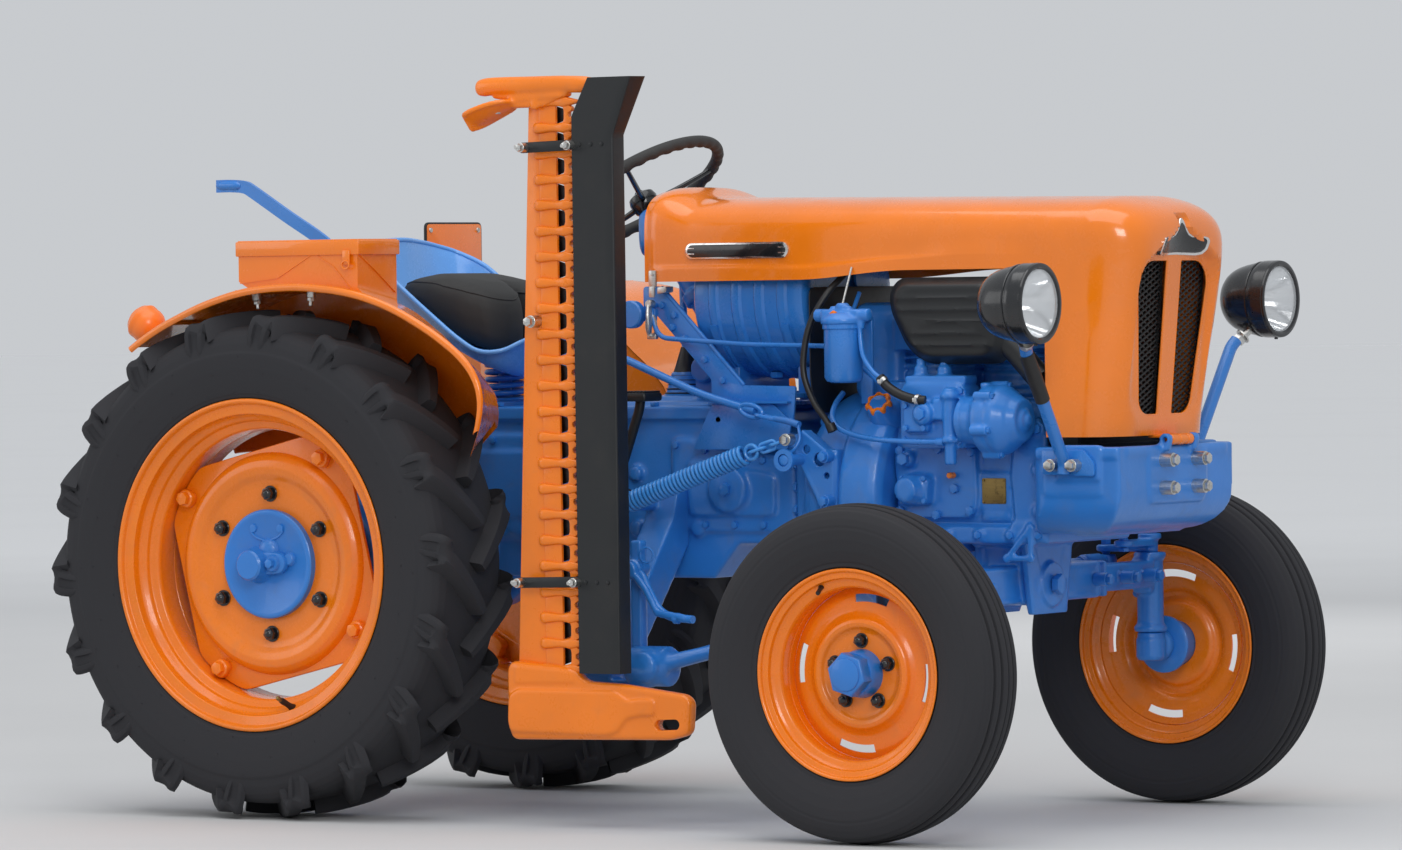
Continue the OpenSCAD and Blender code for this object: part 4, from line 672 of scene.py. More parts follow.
class Finish(Enum):
    """Every finish of the tractor, each with a slot name."""

    ORANGE_SHEET = (Enamel("orange_sheet", ORANGE, 0.22, 0.00002, 0.0, 0.04, 0.6), "orange_paint")
    ORANGE_RIM = (Enamel("orange_rim", ORANGE, 0.26, 0.00005, 0.00006, 0.14, 0.25), "orange_paint")
    ORANGE_CAST = (Enamel("orange_cast", ORANGE, 0.3, 0.00005, 0.00022, 0.12, 0.2), "orange_paint")
    BLUE_CAST = (Enamel("blue_cast", BLUE, 0.33, 0.00006, 0.0003, 0.16, 0.2), "blue_paint")
    BLUE_SHEET = (Enamel("blue_sheet", BLUE, 0.28, 0.00003, 0.00004, 0.08, 0.3), "blue_paint")
    BLUE_SEAT = (Enamel("blue_seat", (0.12, 0.36, 0.82), 0.24, 0.00002, 0.00002, 0.06, 0.4), "blue_paint")
    # A lighter copy of the blue paint, for the balance spring: a painted highlight.
    BLUE_LIGHT = (Enamel("blue_spring_painted_highlight", (0.045, 0.26, 0.68), 0.3, 0.00003, 0.00005, 0.1, 0.25),
        "blue_paint")
    BLACK_SHEET = (Enamel("black_sheet", BLACK, 0.42, 0.00004, 0.00003, 0.05, 0.0, (0.12, 0.1, 0.08)),
        "black_paint")
    BLACK_GLOSS = (Enamel("black_gloss", (0.008, 0.009, 0.011), 0.2, 0.00003, 0.0, 0.05, 0.3,
        (0.1, 0.09, 0.07)), "black_paint")
    TYRE = (Rubber("tyre_rubber", (0.013, 0.0145, 0.016), 0.5, 0.45), "tyre_rubber")
    HOSE = (Rubber("hose_rubber", (0.008, 0.008, 0.009), 0.45, 0.15, 0.00006), "hose_rubber")
    GRIP = (Rubber("wheel_grip", (0.01, 0.011, 0.012), 0.32, 0.1, 0.00002), "wheel_grip")
    ZINC = (Metal("zinc_bolts", (0.62, 0.62, 0.6), 0.32), "zinc_steel")
    STEEL = (Metal("bare_steel", (0.5, 0.5, 0.51), 0.3), "knife_steel")
    # Near black steel, used for the knife.
    OILED = (Metal("dark_steel", (0.05, 0.052, 0.056), 0.34, (0.03, 0.02, 0.012)), "knife_steel")
    PLATE = (Metal("plate_brass", (0.32, 0.22, 0.08), 0.45, (0.08, 0.06, 0.04), 0.7), "brass_plate")
    CHROME = (Metal("badge_chrome", (0.78, 0.78, 0.77), 0.14, (0.3, 0.27, 0.22), 0.25), "chrome_trim")
    MIRROR = (Metal("lamp_reflector", (0.86, 0.87, 0.88), 0.06, (0.5, 0.48, 0.44), 0.05),
        "mirror_reflector")
    GLASS = (Moulded("lens_glass", (0.95, 0.97, 0.98), 0.05, 1.0), "lens_glass")
    LAMP = (Moulded("lamp_orange", (0.86, 0.2, 0.012), 0.22, 0.0), "lamp_orange")
    COVER = (Leatherette("seat_cover", (0.009, 0.009, 0.01)), "seat_cover")

    def material(self) -> bpy.types.Material:
        """The finish's material, made at its first use."""
        made = bpy.data.materials.get(self.value[0].name)
        return made or self.value[0].build()


def to_mesh(name: str, skin: Skin) -> bpy.types.Mesh:
    """Puts a skin into a mesh in the row's frame, welds its seams and poles and turns its faces outwards.

    Args:
        name: The mesh's name.
        skin: The skin in millimetres.

    Returns:
        The mesh, smooth with sharp edges where faces meet at more than 34 degrees.
    """
    mesh = bpy.data.meshes.new(name)
    points = (skin.points - [SHIFT_X, 0, 0]) * MM
    mesh.vertices.add(len(points))
    mesh.vertices.foreach_set("co", points.astype(np.float32).ravel())
    corners = np.concatenate([f.ravel() for f in skin.faces])
    sizes = np.concatenate([np.full(len(f), f.shape[1]) for f in skin.faces])
    mesh.loops.add(len(corners))
    mesh.loops.foreach_set("vertex_index", corners.astype(np.int32))
    mesh.polygons.add(len(sizes))
    mesh.polygons.foreach_set("loop_start", np.concatenate([[0], np.cumsum(sizes)[:-1]]).astype(np.int32))
    mesh.update(calc_edges=True)
    net = bmesh.new()
    net.from_mesh(mesh)
    bmesh.ops.remove_doubles(net, verts=net.verts, dist=2e-6)
    bmesh.ops.recalc_face_normals(net, faces=net.faces)
    net.to_mesh(mesh)
    net.free()
    mesh.shade_smooth()
    mesh.set_sharp_from_angle(angle=math.radians(34))
    return mesh


class Bench:
    """Turns skins into pieces of the object and counts them."""

    def __init__(self) -> None:
        """Starts with nothing made."""
        self.made: list[bpy.types.Object] = []

    def enter(self, obj: bpy.types.Object, body: str, finish: Finish,
            replaces: tuple[str, ...] = ()) -> None:
        """Gives a piece its finish and body, and hides the CAD nodes that it stands for."""
        obj.data.materials.clear()
        obj.data.materials.append(finish.material())
        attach(obj, body)
        if replaces:
            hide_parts(*replaces)
        self.made.append(obj)
        LOG.info("%s: %d faces on %s", obj.name, len(obj.data.polygons), body)

    def piece(self, name: str, skin: Skin, finish: Finish, replaces: tuple[str, ...] = (),
            body: str = "chassis") -> bpy.types.Object:
        """Makes a piece from a skin.

        Args:
            name: Name of the piece.
            skin: Its skin in millimetres.
            finish: Its finish.
            replaces: CAD nodes that it stands for.
            body: The CAD body that it rides on.

        Returns:
            The piece.
        """
        obj = linked(name, to_mesh(name, skin))
        self.enter(obj, body, finish, replaces)
        return obj

    def casting(self, name: str, nodes: tuple[str, ...], finish: Finish, skins: list[Skin],
            voxel: float = 4.0, rounds: int = 4, replaces: tuple[str, ...] = (),
            body: str = "chassis") -> bpy.types.Object:
        """Makes a casting with filleted corners from CAD nodes and the closed skins added to them.

        The solids are joined, wrapped in one skin on a grid of the voxel's size and smoothed, so
        that bosses and ribs run into their walls as on a real casting.

        Args:
            name: Name of the piece.
            nodes: CAD nodes that it stands for; copies of their meshes go into it.
            finish: Its finish.
            skins: Further closed solids.
            voxel: Size of the grid in millimetres.
            rounds: Rounds of smoothing.
            replaces: Further CAD nodes that it stands for, whose meshes stay out of it.
            body: The CAD body that it rides on.

        Returns:
            The piece.
        """
        net = bmesh.new()
        for node in nodes:
            net.from_mesh(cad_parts[node].data)
        bmesh.ops.remove_doubles(net, verts=net.verts, dist=2e-6)
        for skin in skins:
            part = to_mesh(name + "_part", skin)
            net.from_mesh(part)
            bpy.data.meshes.remove(part)
        mesh = bpy.data.meshes.new(name)
        net.to_mesh(mesh)
        net.free()
        obj = linked(name, mesh)
        self.remesh(obj, voxel, rounds)
        obj.data.shade_smooth()
        self.enter(obj, body, finish, nodes + replaces)
        return obj

    @staticmethod
    def remesh(obj: bpy.types.Object, voxel: float, rounds: int) -> None:
        """Wraps a piece in one skin on a grid of the voxel's size in millimetres and smooths it."""
        wrap = obj.modifiers.new("wrap", "REMESH")
        wrap.mode = "VOXEL"
        wrap.voxel_size = voxel * MM
        ease = obj.modifiers.new("ease", "SMOOTH")
        ease.iterations = rounds
        Bench.apply(obj)

    @staticmethod
    def cut(obj: bpy.types.Object, tool: Skin) -> None:
        """Cuts the shape of a skin out of a piece."""
        cutter = linked("cutter", to_mesh("cutter", tool))
        step = obj.modifiers.new("cut", "BOOLEAN")
        step.object, step.operation, step.solver = cutter, "DIFFERENCE", "EXACT"
        Bench.apply(obj)
        bpy.data.objects.remove(cutter)

    @staticmethod
    def apply(obj: bpy.types.Object) -> None:
        """Puts the result of the object's modifiers into its mesh."""
        bpy.context.view_layer.update()
        shaped = obj.evaluated_get(bpy.context.evaluated_depsgraph_get())
        mesh = bpy.data.meshes.new_from_object(shaped)
        obj.modifiers.clear()
        old = obj.data
        obj.data = mesh
        bpy.data.meshes.remove(old)


def on_wheel(skin: Skin, centre: Point) -> Skin:
    """A right-hand wheel's skin, drawn about the origin, set on its axle; on the left it is mirrored."""
    placed = skin.moved((centre[0], -abs(centre[1]), centre[2]))
    return placed if centre[1] < 0 else placed.mirrored()


def ring_of(skin: Skin, count: int, start: float = 0.0) -> Skin:
    """Copies of a skin turned about the wheel's axle in equal steps."""
    return joined([skin.spun((0, 0, 0), Y_AXIS, start + 360.0 * k / count) for k in range(count)])


def wheel_turned(profile: list[Pair], ease: float = 3.0, n: int = 128) -> Skin:
    """A closed profile of radius and distance outwards, eased and turned about the wheel's axle."""
    return turned(rounded(profile, ease, 4), (0, 0, 0), -Y_AXIS, n, closed=True)


@dataclass
class RearWheel:
    """A lugged rear tyre on a dropped rim with its dished disc, four clamps and cast hub plate."""

    side: str
    radius: float = REAR_AXLE_Z
    lugs: int = 18
    tyre_y: float = 465.0
    disc_offset: float = 34.0
    clamp_angle: float = 58.5
    valve_angle: float = -74.5
    bolt_circle: float = 285.0

    @property
    def centre(self) -> Point:
        """Middle of the wheel."""
        return (0.0, -self.tyre_y if self.side == "right" else self.tyre_y, self.radius)

    def carcass(self) -> Skin:
        """The tyre under its lugs: bead, bulged wall with its rings, shoulder and crown."""
        half = [(313, 68), (317, 86), (329, 91), (335, 97), (340, 105), (345, 106.2), (348, 108.5),
            (372, 114), (398, 118.6), (418, 120.2), (429, 120.4), (434, 118.4), (448, 117), (464, 112),
            (475, 103), (482, 88), (485.5, 60), (487.5, 24)]
        left = [(r, -y) for r, y in reversed(half)]
        return wheel_turned(half + left, 3.0, 180)

    def lug(self, hand: float) -> Skin:
        """One lug from the crown over the shoulder down the wall.

        Its middle line is given as distance across, height of its top and lead round the tyre. The
        section across it has sloping flanks, and a pocket is sunk in the part on the wall.

        Args:
            hand: 1 for the outer half of the tyre, -1 for the inner one.

        Returns:
            The closed lug.
        """
        keys = np.array([
            # across, top, foot, lead in degrees, half width, pocket
            [-7, 515.0, 480, 16.4, 8.5, 0], [8, 516.0, 480, 14.6, 10.5, 0], [28, 515.6, 480, 12.3, 11.5, 0],
            [50, 514.6, 478, 9.8, 12.5, 0], [72, 512.8, 474, 7.3, 13.5, 0], [92, 509.5, 466, 5.0, 15.0, 0],
            [106, 504.5, 456, 3.3, 16.5, 0], [114.5, 497.0, 446, 2.2, 17.5, 0],
            [118.8, 489.0, 440, 1.5, 18.0, 0.0], [120.4, 480.0, 436, 1.1, 18.0, 1.0],
            [120.4, 462.0, 434, 0.6, 17.0, 1.0], [119.6, 447.0, 432, 0.3, 15.5, 0.6],
            [117.6, 438.0, 430, 0.1, 13.5, 0.0]])
        t = np.linspace(0, len(keys) - 1, 34)
        k = np.minimum(t.astype(int), len(keys) - 2)
        f = (t - k)[:, None]
        y, top, foot, lead, half, pocket = (keys[k] * (1 - f) + keys[k + 1] * f).T
        angle = np.radians(lead)
        out = np.stack([np.sin(angle), np.zeros_like(angle), np.cos(angle)], 1)
        line = out * top[:, None]
        line[:, 1] = -y
        tangent = units(np.gradient(line, axis=0))
        lean = np.clip((y - 104) / 15, 0, 1)[:, None]
        normal = units(out * (1 - lean) + np.array([[0.0, -1.0, 0.0]]) * lean)
        wide = units(np.cross(tangent, normal))
        depth = np.where(y < 104, top - foot, 26 - 18 * lean[:, 0])
        rows = [(-1.0, 9.0, 1.0), (-1.0, 2.6, 0.14), (-0.86, 0, 0.0), (-0.62, 0, 0.0), (-0.5, 0, -1.0),
            (0.5, 0, -1.0), (0.62, 0, 0.0), (0.86, 0, 0.0), (1.0, 2.6, 0.14), (1.0, 9.0, 1.0)]
        cols = []
        for across, flare, sink in rows:
            deep = depth * sink if sink >= 0 else 5.0 * pocket
            cols.append(line + wide * (across * half + math.copysign(flare, across) * abs(sink > 0))[:,
                None] - normal * np.asarray(deep).reshape(-1, 1))
        made = grid(np.stack(cols, 1), around=True, ends=True)
        if hand < 0:
            made = Skin(made.points * [1, -1, 1], [face[:, ::-1] for face in made.faces])
        return made

    def tyre(self) -> Skin:
        """The whole tyre: carcass and both rows of lugs."""
        outer = ring_of(self.lug(1.0), self.lugs, 4.0)
        inner = ring_of(self.lug(-1.0), self.lugs, 14.0)
        return joined([self.carcass(), outer, inner])

    def hairs(self) -> Skin:
        """The short rubber hairs that the mould leaves on the wall, on three circles."""
        rng = np.random.default_rng(7)
        hair = []
        for radius, y, count in ((352.0, 109.0, 30), (392.0, 117.5, 22), (424.0, 120.0, 16)):
            for k in range(count):
                a = 2 * np.pi * (k + rng.uniform(-0.2, 0.2)) / count
                start = np.array([radius * math.cos(a), -y, radius * math.sin(a)])
                tip = start + np.array([rng.normal(0, 3), -rng.uniform(2, 2.6), rng.normal(0, 3)])
                hair.append(tube([start + [0, 2, 0], start, tip], np.array([0.9, 0.8, 0.35]), 5))
        return joined(hair)

    def rim(self) -> Skin:
        """The dropped-centre rim with its rolled flanges and two ledges on each side of the well."""
        half = [(338, 104), (336, 107.6), (331, 108.2), (327.5, 104.5), (325, 96.5), (306, 94), (305, 78),
            (300, 72), (293, 66), (291, 58), (277, 50), (274, 44), (273, 0)]
        back = [(279, 0), (280, 42), (284, 46), (297, 55), (299, 63), (306, 69), (311, 76), (311.5, 90),
            (329, 92.5), (334, 100)]
        right = half + back
        return wheel_turned(right, 2.2, 160) + wheel_turned([(r, -y) for r, y in right], 2.2, 160)

    def disc(self) -> Skin:
        """The dished disc: flat round the bolts, a broad bulge, and its rim turned inwards."""
        o = self.disc_offset
        face = [(108, o - 6), (158, o - 6), (170, o - 3.5), (182, o + 4), (196, o + 8), (210, o + 5.5),
            (221, o - 3), (227, o - 14), (229, o - 26)]
        back = [(223, o - 26), (221, o - 15), (215, o - 5), (206, o - 1), (196, o + 1), (185, o - 2.5),
            (173, o - 10), (160, o - 14), (108, o - 14)]
        return wheel_turned(face + back, 3.0, 160)

    def plate(self) -> Skin:
        """The plate behind the dish: a square of sides 468 whose corners are cut by the rim's well.

        At each angle its edge lies at the smaller of the well's radius and 234 / cos(angle from the
        side's middle), mixed softly where they meet.
        """
        a = np.linspace(0, 2 * np.pi, 241)[:-1]
        off = np.mod(a - math.radians(self.clamp_angle) + np.pi / 4, np.pi / 2) - np.pi / 4
        chord = 234 / np.cos(np.abs(np.abs(off) - np.pi / 4))
        edge = -np.logaddexp(-chord * 0.35, -271 * 0.35) / 0.35
        outline = np.stack([edge * np.cos(a), edge * np.sin(a)], 1)
        o = self.disc_offset
        return prism(outline, -(o - 14), -(o - 24), 3.0)

    def clamp(self) -> Skin:
        """A rim lug with the bolt that clamps the disc to it, drawn on the +X side."""
        o = self.disc_offset
        lug = prism(rounded([(236, -26), (276, -30), (276, 30), (236, 26), (230, 14), (230, -14)], 8, 4),
            -(o - 25), -(o - 52), 4.0)
        ear = prism(rounded([(238, -17), (268, -15), (272, 0), (268, 15), (238, 17), (232, 0)], 9, 4),
            -(o + 2), -(o - 16), 4.0)
        head = prism(hexagon(25), 0, 15, 3.4, Plane.XY).posed((252, -(o + 1), 0), -Y_AXIS, 12)
        collar = lathe([(18, -3), (18, 3), (15, 5.5)], (252, -(o - 1), 0), -Y_AXIS, 32)
        strap = prism(rounded([(262, -44), (279, -48), (279, 48), (262, 44), (268, 0)], 5, 4), -(o - 22),
            -(o - 58), 3.0)
        return joined([lug, ear, head, collar, strap])

    def hub(self) -> Skin:
        """The cast hub plate: a disc with a raised rim and an off-centre boss with its plug."""
        o = self.disc_offset
        plate = lathe([(107, -8), (110.5, -5), (111, o - 24), (109, o - 21.5), (106, o - 20.5),
            (99, o - 21), (96, o - 23)], (0, -(o - 12), 0), -Y_AXIS, 96)
        skins = [plate.moved((0, -10, 0))]
        face = -(o + 9)
        skins += [prism(link_outline((-36, 2), (34, 2), 27, 22), face - 16, face + 4, 7.0)]
        skins += [lathe([(40, 0), (36, 10), (32, 26), (31, 38), (27, 42)], (-22, face + 4, -2), -Y_AXIS,
            48)]
        skins += [lathe([(24, 0), (21, 12), (17, 24), (15, 27)], (26, face + 4, 2), -Y_AXIS, 40)]
        skins += [prism(hexagon(17), 0, 12, 1.8, Plane.XY).posed((26, face - 21, 2), -Y_AXIS, 8)]
        skins += [lathe([(15, 0), (13, 9), (10, 12)], (-62, face + 3, 4), -Y_AXIS, 28)]
        skins += [lathe([(15, 0), (13, 8), (10, 11)], (58, face + 3, 10), -Y_AXIS, 28)]
        skins += [turned([(0, 0), (26, 0), (22, 8), (14, 15), (0, 17)], (4, face + 2, 28), -Y_AXIS, 36)]
        skins += [turned([(0, 0), (9, 0), (8, 4), (0, 5)], (x, face + 1, 72), -Y_AXIS, 20)
            for x in (-34, 34)]
        arc = np.radians(np.linspace(-160, -20, 16))
        skins += [tube(np.stack([44 * np.cos(arc), np.full(16, face - 0.6), 78 + 30 * np.sin(arc)], 1),
            2.6, 8)]
        return joined(skins)

    def bolts(self) -> Skin:
        """Six black bolts of the disc."""
        o = self.disc_offset
        head = bolt((self.bolt_circle / 2, -(o - 6), 0), -Y_AXIS, 23, 13, 3.5, 10)
        crown = turned([(0, 14), (10.5, 14), (8, 19), (4, 21.5), (0, 22)], (0, 0, 0), n=24)
        head = head + crown.posed((self.bolt_circle / 2, -(o - 6), 0), -Y_AXIS)
        return ring_of(head, 6, 30.0)

    def valve(self) -> Skin:
        """The valve stem in the rim near the bottom, leaning outwards."""
        foot, tip = self.valve_ends()
        path = foot + np.linspace(0, 1, 9)[:, None] * (tip - foot)
        return tube(path, np.array([9.5, 9, 7.2, 6.2, 6, 6, 6.4, 6.4, 5.6]), 16)

    def valve_ends(self) -> tuple[np.ndarray, np.ndarray]:
        """Foot and tip of the valve stem's middle line."""
        a = math.radians(self.valve_angle)
        return tuple(np.array([r * math.cos(a), -y, r * math.sin(a)]) for r, y in ((303, 66.0),
            (282, 104.0)))

    def valve_cap(self) -> Skin:
        """The brass cap on the valve stem."""
        foot, tip = self.valve_ends()
        return turned([(0, 0), (4.6, 0), (4.6, 9), (3.2, 12), (0, 12.5)], tip, tip - foot, 16)

    def build(self, bench: Bench) -> None:
        """Makes the wheel's pieces."""
        axle = lathe([(30, -8), (30, -116)], (0, 0, 0), -Y_AXIS, 32)
        wheel = joined([self.rim(), self.disc(), self.plate(), ring_of(self.clamp(), 4, -self.clamp_angle)])
        pieces = (
            ("tread", self.tyre(), Finish.TYRE, (f"rear_tyre_{self.side}",)),
            ("hairs", self.hairs(), Finish.TYRE, ()),
            ("rim", wheel, Finish.ORANGE_RIM, (f"rear_wheel_{self.side}",)),
            ("hub", self.hub(), Finish.BLUE_CAST, ()),
            ("shaft", axle, Finish.STEEL, ()),
            ("bolts", self.bolts(), Finish.BLACK_GLOSS, ()),
            ("valve", self.valve(), Finish.HOSE, ()),
            ("valve_cap", self.valve_cap(), Finish.PLATE, ()),
        )
        for word, skin, finish, nodes in pieces:
            placed = on_wheel(skin, self.centre)
            bench.piece(f"rear_{word}_{self.side}", placed, finish, nodes, body="rear_" + self.side)


@dataclass
class FrontWheel:
    """A ribbed front tyre on a pressed wheel with slots, five bolts and a hexagonal hub cap."""

    side: str
    radius: float = 325.0
    tyre_y: float = 598.5
    cap_across: float = 75.0
    bolt_circle: float = 126.0

    @property
    def centre(self) -> Point:
        """Middle of the wheel."""
        return (WHEELBASE, -self.tyre_y if self.side == "right" else self.tyre_y, self.radius)

    def tyre(self) -> Skin:
        """The tyre: bead, bulged wall with its rings, and five ribs round the crown."""
        half = [(189, 30), (192, 38), (199, 42.4), (203, 46), (206, 51.5), (213, 51.8), (216, 55),
            (236, 63), (258, 68.4), (276, 69.8), (281, 68.6), (285, 69), (297, 66), (307, 61), (311, 58.6),
            (313.5, 54), (317.5, 50), (319.5, 44), (319.3, 36.5), (311, 35.2), (310.6, 30.5), (321, 29),
            (323, 22), (322.6, 14.6), (313, 13.2), (312.8, 9.4), (324.4, 8), (325, 4)]
        return wheel_turned(half + [(r, -y) for r, y in reversed(half)], 1.6, 180)

    def rim(self) -> Skin:
        """The pressed rim, closed all round."""
        half = [(203, 51), (202, 53.2), (199, 53.6), (196, 51), (194.5, 45.5), (184, 44), (183, 36),
            (178, 32), (168, 27), (165, 22), (164, 0)]
        back = [(168, 0), (169, 21), (173, 25), (184, 31), (187, 36), (187.5, 42), (198, 43.5), (200.5, 48)]
        right = half + back
        return wheel_turned(right, 1.6, 144) + wheel_turned([(r, -y) for r, y in right], 1.6, 144)

    def disc(self) -> Skin:
        """The pressed disc; three long slots lie where it turns into the rim.

        Its height over the radius is one profile. The net is drawn in radius and angle, and the
        faces inside each slot are left out on both sides, where a rim of faces joins the walls.
        """
        profile = [(45, -4), (70, -4), (78, -4), (84, -1), (90, 5), (97, 7.5), (104, 5), (111, -3),
            (119, -9), (130, -11.5), (140, -12.5), (149, -14), (157, -18), (165, -22)]
        r, y = np.array(profile, float).T
        fine = np.linspace(0, 1, 40)
        s = np.linspace(0, 1, len(r))
        r, y = np.interp(fine, s, r), np.interp(fine, s, y)
        n = 180
        a = full_turn(n)
        front = np.stack([np.outer(r, np.cos(a)), np.repeat(-y[:, None], n, 1), np.outer(r, np.sin(a))], -1)
        back = front + [0, 4, 0]
        band = (r > 134) & (r < 152)
        gap = np.abs(np.mod(np.degrees(a) - 38, 90) - 45) < 17
        i, j = np.meshgrid(np.arange(39), np.arange(n), indexing="ij")
        hole = (band[i] & band[i + 1]) & (gap[j] & gap[(j + 1) % n])
        index = np.arange(40 * n).reshape(40, n)
        quads = np.stack([index[i, j], index[i, (j + 1) % n], index[i + 1, (j + 1) % n], index[i + 1, j]],
            -1)
        shown = quads[~hole]
        k = 40 * n
        edges = np.concatenate([shown[:, [0, 1]], shown[:, [1, 2]], shown[:, [2, 3]], shown[:, [3, 0]]])
        key = np.sort(edges, 1)
        _, first, count = np.unique(key[:, 0] * k + key[:, 1], return_index=True, return_counts=True)
        rim = edges[first[count == 1]]
        walls = np.stack([rim[:, 1], rim[:, 0], rim[:, 0] + k, rim[:, 1] + k], 1)
        return Skin(np.vstack([front.reshape(-1, 3), back.reshape(-1, 3)]),
            [shown, shown[:, ::-1] + k, walls])

    def hub(self) -> Skin:
        """Cap with its hexagon, the round drum behind it and the brake flange inside."""
        cap = prism(hexagon(self.cap_across), 24, 56, 5.0, Plane.XY, 4).posed((0, 0, 0), -Y_AXIS, 14)
        nose = turned([(0, 52), (34, 52), (31, 59), (27, 61), (0, 61.5)], (0, 0, 0), -Y_AXIS, 40)
        drum = lathe([(47, -14), (47, -4), (44.5, 14), (43, 24), (40, 28)], (0, 0, 0), -Y_AXIS, 56)
        inner = lathe([(52, -62), (58, -58), (58, -50), (50, -46), (47, -20), (47, -8)], (0, 0, 0),
            -Y_AXIS, 56)
        return joined([cap, nose, drum, inner])

    def bolts(self) -> Skin:
        """Five black bolts with domed heads."""
        head = bolt((self.bolt_circle / 2, 3.6, 0), -Y_AXIS, 20, 11, 3, 20)
        crown = turned([(0, 13), (9, 13), (7, 17), (3.5, 19), (0, 19.4)], (0, 0, 0), n=24)
        head = head + crown.posed((self.bolt_circle / 2, 3.6, 0), -Y_AXIS)
        return ring_of(head, 5, -18.0)

    def valve(self) -> Skin:
        """The valve stem inside the rim."""
        a = math.radians(112)
        foot = np.array([181 * math.cos(a), -28.0, 181 * math.sin(a)])
        tip = np.array([166 * math.cos(a), -52.0, 166 * math.sin(a)])
        path = foot + np.linspace(0, 1, 7)[:, None] * (tip - foot)
        return tube(path, np.array([7, 6, 4.4, 4.2, 4.2, 4.6, 4.2]), 14)

    def build(self, bench: Bench) -> None:
        """Makes the wheel's pieces."""
        pieces = (
            ("tread", self.tyre(), Finish.TYRE, (f"front_tyre_{self.side}",)),
            ("rim", self.rim() + self.disc(), Finish.ORANGE_RIM, (f"front_wheel_{self.side}",)),
            ("hub", self.hub(), Finish.BLUE_CAST, ()),
            ("bolts", self.bolts(), Finish.BLACK_GLOSS, ()),
            ("valve", self.valve(), Finish.HOSE, ()),
        )
        for word, skin, finish, nodes in pieces:
            placed = on_wheel(skin, self.centre)
            bench.piece(f"front_{word}_{self.side}", placed, finish, nodes, body="front_" + self.side)


def smooth(t: np.ndarray | float) -> np.ndarray:
    """A soft step: 3 t squared less 2 t cubed, held at 0 below and at 1 above."""
    u = np.clip(t, 0.0, 1.0)
    return u * u * (3 - 2 * u)


def shell(outer: np.ndarray, inner: np.ndarray, open_end: bool = False) -> Skin:
    """A sheet with thickness between two grids of points, closed round its borders.

    Args:
        outer: Grid of the outer face.
        inner: Grid of the inner face, of the same size.
        open_end: Leaves out the wall along the last row, where the sheet's two halves meet.

    Returns:
        The closed sheet.
    """
    nu, nv = outer.shape[:2]
    index = np.arange(nu * nv).reshape(nu, nv)
    k = nu * nv
    skin = grid(outer)
    faces = [skin.faces[0], skin.faces[0][:, ::-1] + k]
    borders = [index[0, ::-1], index[:, 0], index[::-1, -1]]
    if not open_end:
        borders.append(index[-1, :])
    for line in borders:
        faces.append(np.stack([line[1:], line[:-1], line[:-1] + k, line[1:] + k], 1))
    return Skin(np.vstack([outer.reshape(-1, 3), inner.reshape(-1, 3)]), faces)


